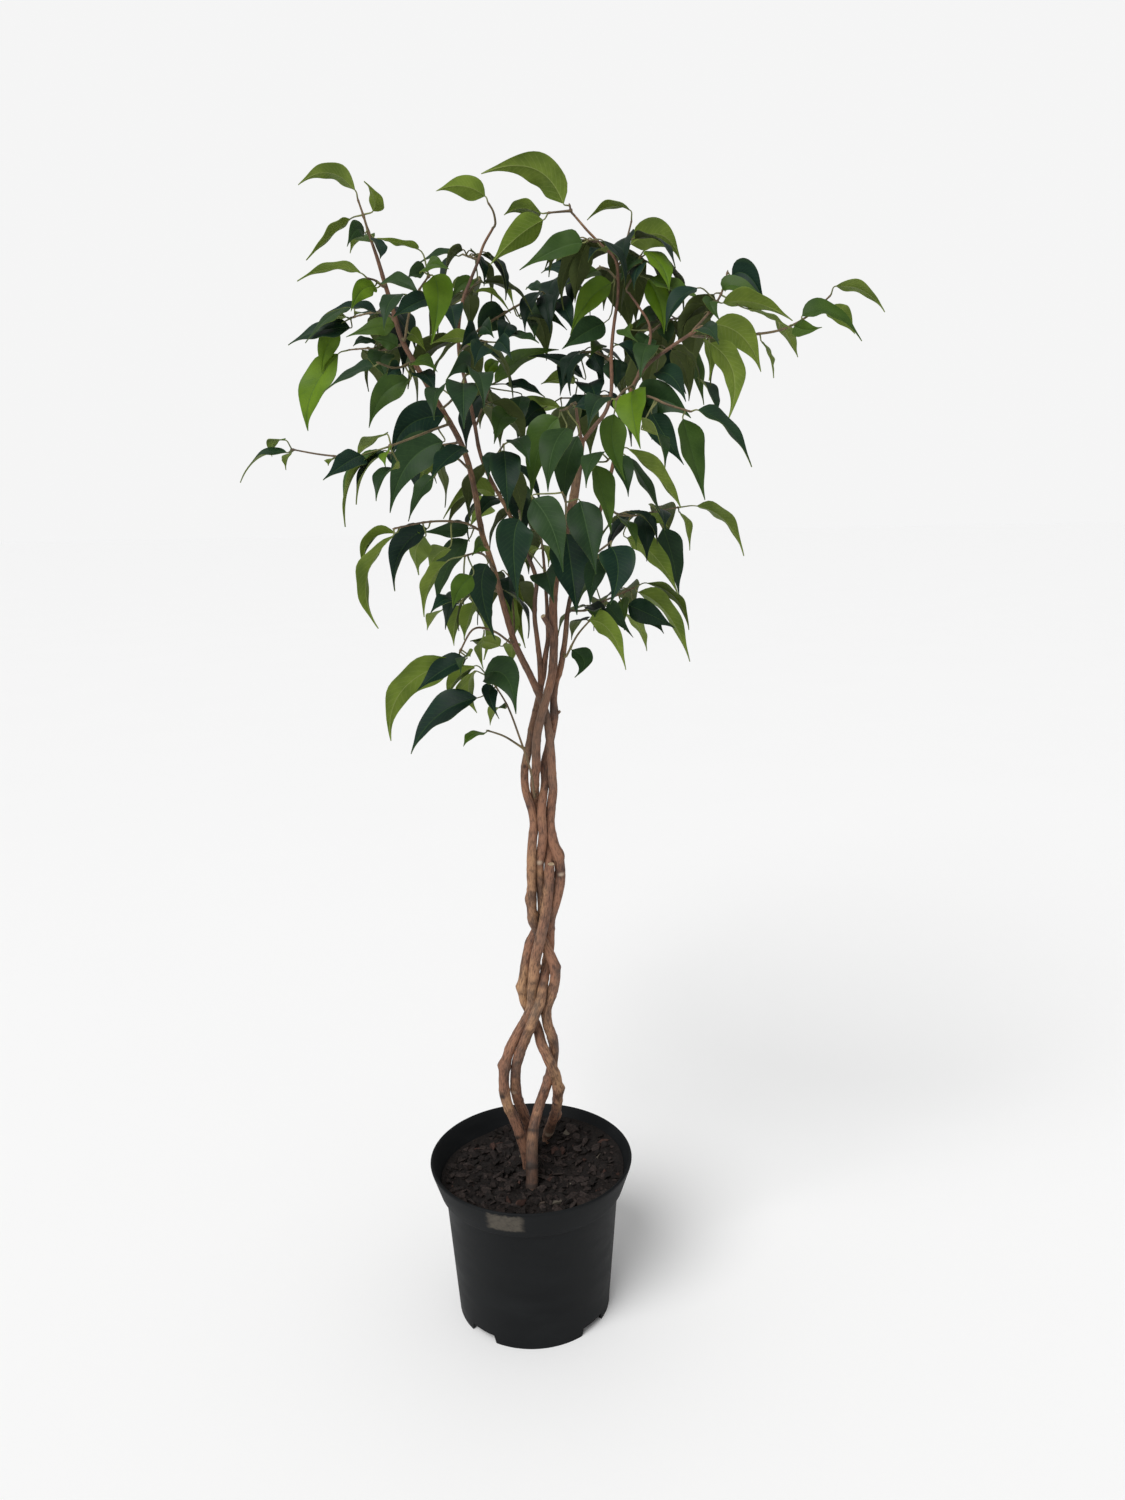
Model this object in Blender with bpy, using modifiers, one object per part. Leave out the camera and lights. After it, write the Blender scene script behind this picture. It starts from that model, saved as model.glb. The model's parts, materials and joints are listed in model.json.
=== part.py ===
"""Weeping fig with a braided trunk of four stems, in its nursery pot.

Metres, +Z up. The origin is on the pot's axis, on the surface that the pot stands on, and the
photograph looks along +Y, with +X to the right. The routes of stems and twigs and the leaves
that show plainly are traced by hand on the photograph, as points (across, down, depth): two
pixel coordinates in its frame of 1125 by 1500 pixels, and a depth in millimetres behind the
pot's axis. from_photo() turns them into real places.
"""

import math

import bmesh
import bpy
import numpy as np
from mathutils import Matrix, Vector
from mathutils.bvhtree import BVHTree
from mathutils.kdtree import KDTree

# The pot
POT_HEIGHT = 0.1686
RIM_RADIUS = 0.105
RIM_ROUNDING = 0.0016
BAND_BOTTOM = 0.138
BAND_BOTTOM_RADIUS = 0.0958
BAND_STEP = 0.004
BODY_TOP_RADIUS = 0.090
BASE_RADIUS = 0.0798
WALL = 0.0022
FOOT_HEIGHT = 0.009
FOOT_WIDTH = 0.0034
CENTRE_FOOT_RADIUS = 0.014
FLOOR = 0.0026
POT_STEPS = 32
NOTCH_WIDTH = 0.036
NOTCH_TOP_SHARE = 0.8
NOTCH_HEIGHT = 0.0084
NOTCH_ANGLES = (50, 140, 230, 320)
DRAIN_RADIUS = 0.006
DRAIN_SIDES = 10
DRAIN_RING = 0.052
DRAIN_ANGLES = (5, 95, 185, 275)

# The potting mix
SOIL_TOP = 0.146
SOIL_BUMP = 0.0022
SOIL_RINGS = 4
SOIL_RISE = 0.012
SOIL_RISE_FROM = 0.020
SOIL_RISE_TO = 0.095
SOIL_RISE_WAY = math.radians(50)
HOLE_REACH = 0.014
HOLE_SIDES = 8
HOLE_CLEARANCE = 0.00035
STEM_DEPTH_IN_SOIL = 0.040

# Pieces that touch keep this gap, and points nearer than the weld distance are one
GAP = 0.0003
WELD_DISTANCE = 0.000002
SHARP_ANGLE = math.radians(35)

# Where the photograph was taken from
VIEW_X = 0.0405
VIEW_Y = -1.069
VIEW_Z = 0.8212
VIEW_PITCH = math.radians(11.7)
VIEW_ROLL = math.radians(1.06)
PHOTO_FOCAL = 1126.0
PHOTO_CENTRE = (562.5, 750.0)

# Stems and twigs
STEM_SPACING = 0.017
FINE_STEP = 0.002
SMOOTHING_PASSES = 7
TWIG_SPACING = 0.032
TWIG_STRAIGHT = 0.004
SIDE_TWIG_MARGIN = 3
WOOD_CLEARANCE = 0.0006
PUSH_SHARE = 0.12
STEM_ROUNDS = 80
TWIG_ROUNDS = 60
TWIG_ROOT_RADIUS = 0.0013
TWIG_TIP_RADIUS = 0.0008

# Leaves
LEAF_WIDTH_SHARE = 0.43
LEAF_WIDTHS = (0.014, 0.038)
LEAF_ARCH = 0.07
LEAF_BOW = 0.11
FULL_BOW_LEVEL = 0.35
MOST_BOW = 0.30
LEAF_FOLD = 0.30
RIB_HALF_THICKNESS = 0.0006
PETIOLE_RADIUS = 0.0008
LEAF_CLEARANCE = 0.0007
LEAF_STATIONS = ((0.24, 0.95), (0.60, 0.74))
SHORTEST_LEAF = 0.046
LONGEST_LEAF = 0.085
SHORTEST_PETIOLE = 0.006
SHARPEST_BEND = -0.4
MOST_FORESHORTENED = 0.62
BASE_SHIFT_SHARE = 0.35
SHRINKS = (1.0, 0.85)
SHIFTS = (0.0, -0.012, 0.012, -0.024, 0.024, -0.038, 0.038, 0.055)
TURNS = (0.0, 0.35, -0.35)

# Each stem: where it runs, its radius in millimetres at some heights in the photograph, and
# its forks, each with its radius at the root and at the end.
# In the braid a lower depth is nearer to the front.
STEMS = {
    "stem_left": {
        "route": [
            (528, 1164, 12), (525, 1150, 10), (521, 1138, 8), (516, 1122, 6), (508, 1107, 4),
            (504, 1090, 2), (504, 1068, 1), (511, 1046, 1), (521, 1030, 1), (529, 1015, 1),
            (534, 1000, 0), (534, 985, -3), (534, 970, -5), (536, 957, -7), (539, 945, -9),
            (542, 931, -9), (545, 917, -8), (547, 903, -6), (548, 885, -5), (548, 868, -1),
            (547, 850, 4), (544, 830, 8), (539, 812, 8), (537, 795, 4), (537, 780, -2),
            (536, 765, -5), (536, 750, -6), (537, 735, -7), (541, 716, -8), (545, 702, -8),
            (549, 690, -7), (552, 675, -6), (554, 655, -5), (554, 635, -4), (553, 615, -4),
            (553, 598, -4), (557, 565, -5), (565, 530, -5), (573, 503, -3), (578, 470, 0),
            (582, 442, 3),
        ],
        "radii": [(1164, 5.1), (1080, 5.1), (950, 5.1), (860, 4.7), (700, 4.1), (598, 4.0),
                  (480, 4.3), (442, 2.6)],
        "forks": [
            ([(582, 442, 3), (597, 423, 8), (608, 409, 14), (612, 390, 20), (611, 360, 26),
              (613, 330, 30), (618, 298, 32), (618, 262, 32), (607, 250, 30), (597, 241, 28),
              (585, 228, 26), (574, 215, 25)], (2.0, 1.0)),
            ([(582, 442, 3), (578, 424, -3), (576, 407, -10)], (1.8, 1.2)),
            ([(548, 885, -5), (551, 874, -8), (551, 864, -10)], (3.4, 3.0)),
            ([(553, 640, -4), (547, 622, -12), (543, 616, -18)], (2.6, 2.4)),
        ],
    },
    "stem_back": {
        "route": [
            (533, 1150, 40), (530, 1130, 34), (524, 1114, 26), (518, 1100, 18), (515, 1085, 10),
            (516, 1066, 3), (521, 1048, -3), (527, 1034, -7), (532, 1020, -9), (538, 1004, -8),
            (542, 991, -5), (545, 978, 1), (548, 962, 7), (549, 946, 8), (549, 930, 6),
            (550, 917, 3), (554, 906, 1), (558, 893, 0), (560, 879, 0), (559, 864, 0),
            (555, 850, -1), (550, 835, -2), (547, 820, -1), (549, 806, -1), (552, 790, -2),
            (552, 770, -2), (551, 750, -2), (549, 731, -1), (546, 716, 1), (543, 704, 3),
            (538, 692, 2), (531, 677, 0), (521, 657, -2), (514, 642, -4), (508, 621, -6),
            (502, 600, -8), (497, 580, -10), (490, 557, -12), (481, 532, -14), (477, 502, -16),
            (470, 468, -18), (460, 440, -20), (449, 421, -23), (441, 408, -25), (430, 390, -27),
            (420, 372, -28), (411, 357, -29), (402, 341, -30), (395, 318, -32), (388, 293, -34),
            (381, 272, -36), (377, 256, -37), (371, 240, -38),
        ],
        "radii": [(1150, 5.0), (1060, 5.0), (960, 4.8), (870, 5.0), (800, 4.4), (716, 3.9),
                  (657, 3.2), (620, 2.8), (385, 2.5), (270, 1.8), (240, 1.2)],
        "forks": [],
    },
    "stem_front": {
        "route": [
            (532, 1186, -24), (532, 1165, -15), (532, 1141, -4), (535, 1120, 6), (541, 1100, 13),
            (549, 1080, 13), (553, 1064, 11), (552, 1048, 7), (548, 1028, 0), (546, 1010, -2),
            (549, 998, -2), (553, 985, -2), (555, 970, -1), (551, 957, 0), (546, 946, 1),
            (540, 935, 1), (535, 924, 0), (532, 911, -1), (531, 899, -2), (532, 884, -3),
            (534, 862, -4), (536, 841, -4), (536, 824, -3), (533, 811, -2), (528, 798, -1),
            (524, 782, 0), (525, 766, 1), (528, 751, 3), (531, 736, 6), (534, 720, 9),
            (538, 702, 11), (541, 686, 8), (540, 662, 5), (538, 645, 5), (536, 630, 6),
            (534, 611, 8), (536, 591, 9), (537, 577, 10), (531, 563, 12), (520, 540, 14),
            (509, 513, 17), (498, 493, 19), (486, 471, 21), (479, 450, 23), (474, 420, 25),
            (466, 385, 28), (458, 350, 31), (459, 321, 34), (463, 298, 35), (471, 279, 36),
            (479, 259, 36), (484, 243, 36), (493, 228, 36),
        ],
        "radii": [(1186, 6.0), (1140, 5.5), (1090, 4.9), (960, 5.0), (900, 4.5), (720, 3.8),
                  (686, 3.0), (645, 2.4), (611, 2.1), (285, 1.5), (228, 1.1)],
        "forks": [
            ([(541, 690, 8), (545, 672, 7), (546, 655, 6), (549, 640, 5), (548, 622, 5),
              (547, 600, 6), (545, 575, 8), (543, 552, 12)], (3.0, 1.3)),
        ],
    },
    "stem_right": {
        "route": [
            (547, 1136, 59), (551, 1125, 44), (556, 1112, 28), (558, 1097, 14), (557, 1082, 6),
            (553, 1067, 2), (547, 1049, 1), (540, 1033, 5), (533, 1019, 9),
            (527, 1007, 8), (523, 994, 4), (523, 982, 2), (525, 968, 3), (527, 954, 5),
            (531, 942, 8), (537, 930, 10), (542, 917, 6), (543, 903, 2), (541, 890, 1),
            (540, 875, 0), (539, 860, -1), (541, 841, -3), (543, 820, -6), (543, 805, -4),
            (543, 790, 1), (543, 775, 5), (545, 760, 8), (549, 745, 9), (553, 728, 8),
            (555, 712, 5), (553, 697, 4), (555, 684, 3), (560, 671, 3), (563, 655, 3),
            (566, 631, 4), (568, 606, 5), (577, 575, 0), (590, 540, -6), (602, 505, -12),
            (612, 470, -17), (620, 430, -21), (628, 398, -25), (636, 379, -27), (650, 362, -31),
            (672, 346, -38), (698, 329, -46),
        ],
        "radii": [(1136, 5.0), (1090, 5.1), (1000, 4.8), (900, 4.4), (716, 3.8), (660, 2.9),
                  (631, 2.5), (606, 2.1), (398, 1.6), (329, 1.4)],
        "forks": [
            ([(636, 379, -27), (642, 362, -14), (650, 343, -4), (651, 327, 3), (643, 313, 7),
              (636, 303, 9), (629, 293, 11)], (1.3, 1.0)),
            ([(554, 716, 6), (560, 711, 4)], (1.8, 1.4)),
        ],
    },
}

# Each leafy spray: the stem that it grows from, its twigs, and the leaves that show plainly.
# A leaf is (across, down) of its blade's base, the same of its tip, its seen width in pixels,
# what is seen, and, where it plainly bows, (across, down) of its middle line half way along.
# Seen are a dark top (T), a greener top (G), a young bright top (Y) or an underside (U).
SPRAYS = {
    "spray_left_tip": {
        "stem": "stem_back",
        "twigs": [[(371, 240, -38), (366, 224, -40), (361, 208, -43), (357, 197, -45)]],
        "leaves": [
            (355, 190, 298, 185, 16, "U", (328, 172)), (373, 211, 364, 181, 13, "U", (375, 197)),
            (373, 227, 351, 245, 19, "T", (358, 229)), (350, 219, 306, 260, 9, "U", (331, 235)),
            (371, 242, 350, 253, 4, "U"), (374, 238, 380, 259, 14, "T", (380, 248)),
        ],
    },
    "spray_left_upper": {
        "stem": "stem_back",
        "twigs": [[(386, 285, -35), (376, 280, -50), (366, 278, -62)]],
        "leaves": [
            (361, 273, 297, 281, 9, "U", (331, 268)), (380, 279, 352, 310, 20, "Y", (361, 291)),
            (384, 290, 362, 301, 10, "Y"), (380, 277, 424, 292, 14, "T", (402, 279)),
        ],
    },
    "spray_left_inner": {
        "stem": "stem_back",
        "twigs": [[(402, 341, -30), (407, 322, -50), (412, 303, -68), (420, 288, -84),
                   (430, 274, -98)]],
        "leaves": [
            (430, 297, 393, 317, 18, "T", (410, 306)), (438, 268, 431, 345, 32, "Y", (438, 300)),
            (414, 265, 449, 269, 14, "G", (432, 264)), (418, 249, 377, 238, 6, "U", (398, 242)),
            (408, 330, 427, 351, 17, "U", (417, 337)),
            (428, 262, 408, 278, 15, "T"), (402, 294, 384, 330, 19, "T"),
        ],
    },
    "spray_left_behind": {
        "stem": "stem_back",
        "twigs": [[(396, 320, -32), (383, 311, 4), (368, 313, 40), (350, 318, 75)]],
        "leaves": [
            (383, 306, 326, 307, 7, "T", (352, 303)), (352, 306, 305, 343, 9, "T", (328, 318)),
            (352, 312, 316, 327, 12, "U", (335, 314)), (403, 331, 346, 337, 17, "G", (375, 327)),
            (350, 328, 288, 345, 8, "T", (318, 331)), (338, 327, 322, 373, 21, "Y", (326, 349)),
            (352, 310, 382, 322, 9, "T", (368, 313)),
        ],
    },
    "spray_left_middle": {
        "stem": "stem_back",
        "twigs": [[(402, 343, -29), (386, 350, 5), (368, 348, 45), (348, 350, 88)]],
        "leaves": [
            (338, 354, 308, 431, 18, "Y", (312, 393)), (375, 341, 353, 346, 9, "T", (363, 340)),
            (409, 355, 374, 340, 17, "G"), (386, 346, 388, 377, 28, "T", (381, 360)),
        ],
    },
    "spray_left_low": {
        "stem": "stem_back",
        "twigs": [[(414, 362, -28), (402, 369, -46), (388, 367, -62), (376, 362, -74)]],
        "leaves": [
            (380, 362, 322, 392, 10, "T", (352, 372)), (409, 380, 369, 428, 26, "G", (383, 395)),
            (404, 362, 384, 374, 16, "T"), (412, 362, 440, 370, 14, "G"),
            (416, 374, 436, 396, 18, "T"),
        ],
    },
    "spray_left_dark": {
        "stem": "stem_back",
        "twigs": [[(450, 424, -23), (438, 428, -66), (422, 434, -104), (404, 441, -126),
                   (388, 447, -138)]],
        "leaves": [
            (444, 416, 391, 459, 33, "T", (408, 426)), (443, 442, 390, 513, 36, "T", (408, 464)),
            (386, 434, 356, 458, 9, "U", (369, 443)), (388, 447, 355, 504, 7, "T", (364, 471)),
            (377, 451, 345, 527, 8, "U", (350, 482)), (362, 455, 323, 480, 22, "T", (346, 463)),
            (388, 452, 384, 470, 10, "Y"), (398, 468, 376, 501, 12, "T"),
        ],
    },
    "spray_far_left": {
        "stem": "stem_back",
        "twigs": [[(460, 441, -20), (436, 446, 12), (400, 452, 40), (362, 457, 55), (333, 457, 62),
                   (305, 451, 66), (290, 449, 68)]],
        "leaves": [
            (289, 449, 239, 481, 4, "T", (258, 457)), (285, 440, 272, 457, 10, "U", (273, 443)),
            (290, 450, 284, 470, 9, "U"), (334, 459, 328, 468, 8, "U"),
            (372, 456, 350, 480, 12, "U"), (434, 462, 420, 490, 18, "U"),
        ],
    },
    "spray_left_hanging": {
        "stem": "stem_back",
        "twigs": [[(470, 468, -18), (458, 455, -46), (446, 462, -66), (436, 472, -80)]],
        "leaves": [
            (464, 447, 430, 480, 21, "T", (446, 460)), (438, 476, 411, 523, 15, "T", (421, 494)),
            (446, 441, 428, 463, 18, "T"),
        ],
    },
    "spray_low_left_behind": {
        "stem": "stem_front",
        "twigs": [[(498, 494, 19), (506, 490, 44), (503, 496, 70), (492, 503, 92)]],
        "leaves": [
            (500, 490, 442, 516, 14, "U", (469, 489)), (491, 506, 469, 530, 22, "U"),
            (504, 500, 481, 524, 16, "T"), (512, 486, 530, 520, 20, "T"),
        ],
    },
    "spray_low_left": {
        "stem": "stem_back",
        "twigs": [[(480, 528, -14), (466, 523, -52), (448, 521, -82), (428, 522, -106),
                   (408, 524, -122), (392, 529, -132)]],
        "leaves": [
            (430, 526, 396, 592, 21, "T", (401, 552)), (400, 524, 361, 570, 9, "U", (369, 540)),
            (390, 532, 375, 628, 11, "U", (364, 580)), (473, 533, 422, 537, 17, "T", (448, 533)),
            (425, 537, 419, 575, 19, "U", (416, 552)), (448, 548, 429, 569, 17, "U", (436, 555)),
            (468, 540, 437, 607, 22, "T", (446, 570)),
        ],
    },
    "spray_low_left_inner": {
        "stem": "stem_back",
        "twigs": [[(494, 568, -11), (486, 556, -50), (476, 552, -84), (464, 556, -108)]],
        "leaves": [
            (490, 553, 499, 640, 29, "T", (484, 592)), (472, 576, 453, 608, 22, "G", (459, 590)),
            (446, 562, 424, 617, 12, "U", (429, 585)), (458, 602, 430, 614, 13, "T"),
            (490, 536, 472, 556, 18, "G"),
        ],
    },
    "spray_low_left_hanging": {
        "stem": "stem_back",
        "twigs": [[(500, 592, -9), (488, 588, 18), (474, 592, 44), (462, 600, 62)]],
        "leaves": [
            (463, 606, 454, 646, 18, "U", (455, 622)), (473, 602, 464, 640, 16, "U", (468, 620)),
            (442, 610, 427, 630, 9, "U", (433, 617)), (482, 612, 484, 660, 9, "U"),
        ],
    },
    "spray_low_left_bright": {
        "stem": "stem_back",
        "twigs": [[(512, 636, -4), (514, 618, 24), (512, 596, 46), (508, 572, 62)]],
        "leaves": [
            (508, 570, 526, 648, 17, "U", (513, 605)), (502, 590, 508, 655, 14, "U"),
            (500, 646, 470, 641, 14, "U", (484, 641)), (512, 645, 512, 665, 18, "U"),
        ],
    },
    "spray_lowest_left": {
        "stem": "stem_back",
        "twigs": [[(513, 640, -4), (500, 636, -24), (488, 627, -40), (473, 628, -54),
                   (465, 640, -64), (459, 653, -70)]],
        "leaves": [
            (456, 661, 391, 741, 30, "U", (402, 690)), (466, 659, 417, 691, 14, "T", (440, 672)),
            (470, 656, 461, 675, 9, "T"), (485, 628, 484, 668, 8, "U"),
        ],
    },
    "spray_low_twig": {
        "stem": "stem_left",
        "twigs": [
            [(536, 793, 2), (533, 780, -20), (528, 762, -26), (521, 743, -28), (516, 723, -28),
             (510, 709, -29), (502, 698, -32), (495, 684, -36), (488, 675, -40)],
            [(522, 749, -27), (510, 740, -36), (496, 731, -44), (486, 730, -50)],
        ],
        "leaves": [
            (477, 698, 411, 754, 24, "T", (436, 717)), (474, 666, 447, 698, 15, "U", (456, 679)),
            (473, 672, 477, 713, 13, "U", (468, 690)), (477, 667, 516, 714, 36, "T", (506, 677)),
            (490, 680, 498, 719, 15, "T", (489, 698)), (511, 704, 493, 725, 8, "U", (496, 710)),
            (483, 731, 460, 746, 9, "G", (470, 735)),
        ],
    },
    "spray_low_right": {
        "stem": "stem_right",
        "twigs": [[(563, 655, 3), (570, 645, -6), (582, 629, -14), (592, 618, -20)]],
        "leaves": [
            (577, 649, 580, 679, 20, "T", (587, 663)), (584, 615, 626, 670, 19, "U", (611, 632)),
            (597, 600, 595, 618, 15, "G"),
        ],
    },
    "spray_low_right_behind": {
        "stem": "stem_right",
        "twigs": [[(568, 610, 5), (585, 611, 34), (602, 602, 62), (620, 594, 86),
                   (636, 587, 106)]],
        "leaves": [
            (603, 603, 633, 638, 20, "T", (614, 614)), (628, 605, 675, 628, 24, "T", (651, 615)),
            (624, 590, 624, 630, 13, "G"), (627, 614, 647, 651, 11, "U", (640, 628)),
            (640, 590, 692, 660, 15, "U", (669, 613)), (640, 612, 664, 634, 16, "T"),
            (647, 583, 689, 630, 9, "U", (676, 598)),
            (592, 582, 577, 610, 12, "G"),
        ],
    },
    "spray_centre_right_front": {
        "stem": "stem_right",
        "twigs": [[(582, 560, -2), (592, 556, -44), (603, 548, -84), (612, 541, -112)]],
        "leaves": [
            (617, 541, 616, 604, 36, "T", (621, 570)), (600, 560, 590, 606, 22, "T"),
        ],
    },
    "spray_centre_front": {
        "stem": "stem_left",
        "twigs": [[(566, 527, -5), (566, 512, -52), (566, 500, -98), (562, 492, -134)]],
        "leaves": [
            (580, 501, 596, 574, 36, "T", (588, 534)), (533, 499, 563, 572, 36, "T", (552, 528)),
            (566, 534, 577, 615, 40, "T", (572, 572)),
        ],
    },
    "spray_centre_left_front": {
        "stem": "stem_front",
        "twigs": [[(522, 544, 14), (521, 530, -34), (520, 518, -80), (519, 510, -112)]],
        "leaves": [
            (518, 512, 517, 601, 38, "T", (513, 548)), (546, 572, 554, 603, 32, "T"),
        ],
    },
    "spray_centre_middle": {
        "stem": "stem_front",
        "twigs": [[(543, 552, 12), (542, 536, 26), (536, 520, 44), (530, 505, 60)]],
        "leaves": [
            (542, 552, 525, 568, 12, "U"), (545, 540, 552, 566, 12, "U"),
            (527, 500, 515, 540, 20, "G"),
        ],
    },
    "spray_right_low_behind": {
        "stem": "stem_right",
        "twigs": [[(603, 502, -12), (616, 514, 24), (636, 516, 56), (656, 511, 80),
                   (680, 507, 96)]],
        "leaves": [
            (663, 528, 679, 595, 26, "T", (673, 560)), (627, 538, 678, 594, 20, "U", (655, 556)),
            (645, 521, 668, 527, 12, "U"), (655, 511, 665, 530, 14, "T"),
            (683, 507, 694, 549, 7, "U", (689, 524)), (697, 506, 744, 556, 12, "U", (726, 521)),
            (617, 514, 636, 549, 10, "G"),
        ],
    },
    "spray_right_inner_front": {
        "stem": "stem_right",
        "twigs": [[(616, 450, -19), (616, 450, -58), (612, 456, -92), (606, 462, -112)]],
        "leaves": [
            (629, 449, 681, 508, 12, "U", (661, 480)), (627, 457, 660, 512, 10, "T", (646, 485)),
            (594, 465, 611, 534, 22, "G", (604, 497)), (622, 452, 634, 496, 20, "T"),
            (600, 452, 586, 488, 20, "T"),
        ],
    },
    "spray_right_hanging": {
        "stem": "stem_right",
        "twigs": [[(630, 394, -25), (648, 396, -60), (664, 403, -88), (680, 410, -108),
                   (692, 412, -118)]],
        "leaves": [
            (636, 402, 691, 418, 36, "T", (664, 400)), (698, 410, 752, 467, 12, "T", (729, 429)),
            (683, 419, 705, 500, 25, "G", (693, 455)), (652, 414, 684, 465, 26, "T", (665, 436)),
            (643, 430, 665, 468, 8, "T"),
        ],
    },
    "spray_bright": {
        "stem": "stem_right",
        "twigs": [[(633, 386, -26), (628, 388, -66), (622, 392, -100), (616, 400, -126)]],
        "leaves": [
            (632, 382, 640, 447, 37, "Y", (632, 409)), (614, 414, 625, 480, 28, "G", (613, 445)),
            (604, 398, 588, 430, 24, "T"), (640, 400, 652, 440, 24, "T"),
        ],
    },
    "spray_right_arm_inner": {
        "stem": "stem_right",
        "twigs": [[(656, 357, -33), (664, 352, 4), (668, 348, 40), (672, 346, 72)]],
        "leaves": [
            (667, 337, 686, 394, 32, "T", (674, 364)), (688, 348, 704, 405, 18, "G", (697, 372)),
            (700, 380, 718, 417, 11, "T", (711, 394)), (650, 345, 640, 380, 26, "T"),
            (658, 372, 686, 402, 24, "T"),
        ],
    },
    "spray_right_arm_front": {
        "stem": "stem_right",
        "twigs": [[(698, 329, -46), (706, 334, -66), (712, 338, -84)]],
        "leaves": [
            (701, 334, 705, 382, 13, "U"), (709, 336, 728, 420, 24, "U", (734, 374)),
            (714, 324, 761, 372, 32, "U", (743, 337)), (697, 331, 719, 345, 18, "T"),
        ],
    },
    "spray_right_arm_top": {
        "stem": "stem_right",
        "twigs": [[(694, 331, -45), (704, 318, -30), (716, 305, -16), (723, 290, -4),
                   (728, 270, 6)]],
        "leaves": [
            (727, 265, 768, 301, 26, "T", (750, 274)), (705, 284, 770, 303, 16, "G", (738, 286)),
            (718, 303, 792, 322, 17, "U", (756, 303)), (697, 288, 666, 331, 17, "T"),
            (692, 286, 722, 324, 14, "G", (706, 300)), (748, 309, 790, 328, 12, "U", (768, 316)),
        ],
    },
    "spray_right_end": {
        "stem": "stem_right",
        "twigs": [[(690, 335, -43), (712, 337, -12), (738, 334, 14), (763, 334, 30), (779, 330, 38),
                   (791, 327, 43), (803, 320, 48), (813, 312, 52), (826, 302, 56), (832, 294, 58)]],
        "leaves": [
            (836, 286, 885, 312, 12, "U", (863, 290)), (797, 310, 862, 341, 12, "G", (832, 312)),
            (830, 306, 855, 334, 20, "U", (843, 318)), (791, 328, 822, 330, 16, "G", (806, 331)),
            (779, 320, 798, 357, 13, "U", (788, 335)), (762, 342, 774, 378, 6, "U", (770, 356)),
        ],
    },
    "spray_top_right": {
        "stem": "stem_right",
        "twigs": [[(629, 293, 11), (632, 280, 18), (638, 266, 26), (641, 254, 32)]],
        "leaves": [
            (648, 280, 664, 334, 24, "Y", (660, 304)), (650, 279, 703, 300, 13, "G", (677, 289)),
            (645, 251, 669, 291, 18, "Y", (662, 266)), (640, 252, 620, 278, 19, "T", (628, 263)),
            (645, 264, 634, 290, 14, "T"),
        ],
    },
    "spray_top_right_crest": {
        "stem": "stem_left",
        "twigs": [[(618, 262, 32), (625, 246, 44), (630, 229, 54), (632, 219, 60)]],
        "leaves": [
            (630, 210, 587, 220, 9, "U", (609, 206)), (627, 243, 681, 262, 31, "U", (661, 235)),
        ],
    },
    "spray_top": {
        "stem": "stem_left",
        "twigs": [[(574, 215, 25), (571, 208, 24), (569, 203, 23)], [(573, 213, 25), (556, 212, 22),
                  (546, 213, 20)]],
        "leaves": [
            (569, 199, 483, 168, 30, "U", (534, 165)), (541, 213, 504, 215, 16, "U", (521, 208)),
            (543, 220, 490, 265, 28, "U", (517, 237)),
        ],
    },
    "spray_top_middle": {
        "stem": "stem_left",
        "twigs": [[(597, 241, 28), (592, 241, 10), (588, 240, -4)]],
        "leaves": [(586, 240, 519, 269, 25, "G", (556, 249)), (606, 252, 588, 262, 6, "T")],
    },
    "spray_top_behind": {
        "stem": "stem_left",
        "twigs": [[(618, 276, 32), (606, 268, 66), (597, 268, 96), (590, 276, 120)]],
        "leaves": [
            (583, 259, 554, 270, 6, "U", (566, 257)), (601, 272, 568, 287, 15, "G", (585, 277)),
            (616, 279, 571, 336, 26, "Y", (589, 301)), (604, 323, 562, 349, 26, "T", (583, 334)),
            (577, 273, 541, 273, 9, "T"),
        ],
    },
    "spray_centre_top": {
        "stem": "stem_front",
        "twigs": [
            [(458, 345, 31), (478, 330, 60), (496, 318, 84), (510, 311, 98), (524, 301, 108),
             (540, 291, 116), (560, 284, 122), (572, 277, 126)],
            [(526, 300, 108), (545, 298, 100), (556, 296, 94)],
        ],
        "leaves": [
            (555, 297, 574, 333, 20, "T"), (519, 316, 567, 330, 13, "T", (543, 314)),
            (522, 319, 535, 340, 9, "T"), (504, 306, 478, 340, 30, "T"),
            (510, 324, 500, 352, 22, "T"), (507, 334, 539, 343, 9, "T", (524, 336)),
            (541, 288, 525, 287, 8, "T"),
        ],
    },
    "spray_centre_left_crest": {
        "stem": "stem_front",
        "twigs": [[(493, 228, 36), (495, 216, 34), (492, 207, 32), (487, 201, 30)]],
        "leaves": [(485, 196, 436, 191, 23, "U", (462, 186))],
    },
    "spray_centre_left_side": {
        "stem": "stem_front",
        "twigs": [[(479, 260, 36), (470, 257, 58), (462, 254, 78)]],
        "leaves": [(458, 252, 414, 262, 8, "T", (440, 252)), (474, 280, 452, 298, 14, "G")],
    },
    "spray_centre_left_upper": {
        "stem": "stem_front",
        "twigs": [[(464, 296, 35), (470, 290, 62), (476, 284, 88), (481, 279, 108)]],
        "leaves": [
            (482, 275, 516, 304, 8, "U", (505, 280)), (476, 292, 511, 313, 5, "U", (493, 294)),
            (470, 281, 447, 287, 8, "U"), (450, 306, 456, 338, 22, "T"),
        ],
    },
    "spray_centre_left_middle": {
        "stem": "stem_front",
        "twigs": [[(458, 352, 31), (468, 344, -4), (478, 340, -36), (488, 342, -64)]],
        "leaves": [
            (481, 342, 430, 345, 15, "U", (456, 338)), (486, 340, 474, 366, 24, "T"),
            (496, 342, 512, 360, 20, "T"), (482, 312, 494, 338, 22, "T"),
            (476, 318, 460, 350, 22, "T"),
        ],
    },
    "spray_centre_left_dark": {
        "stem": "stem_back",
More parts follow.
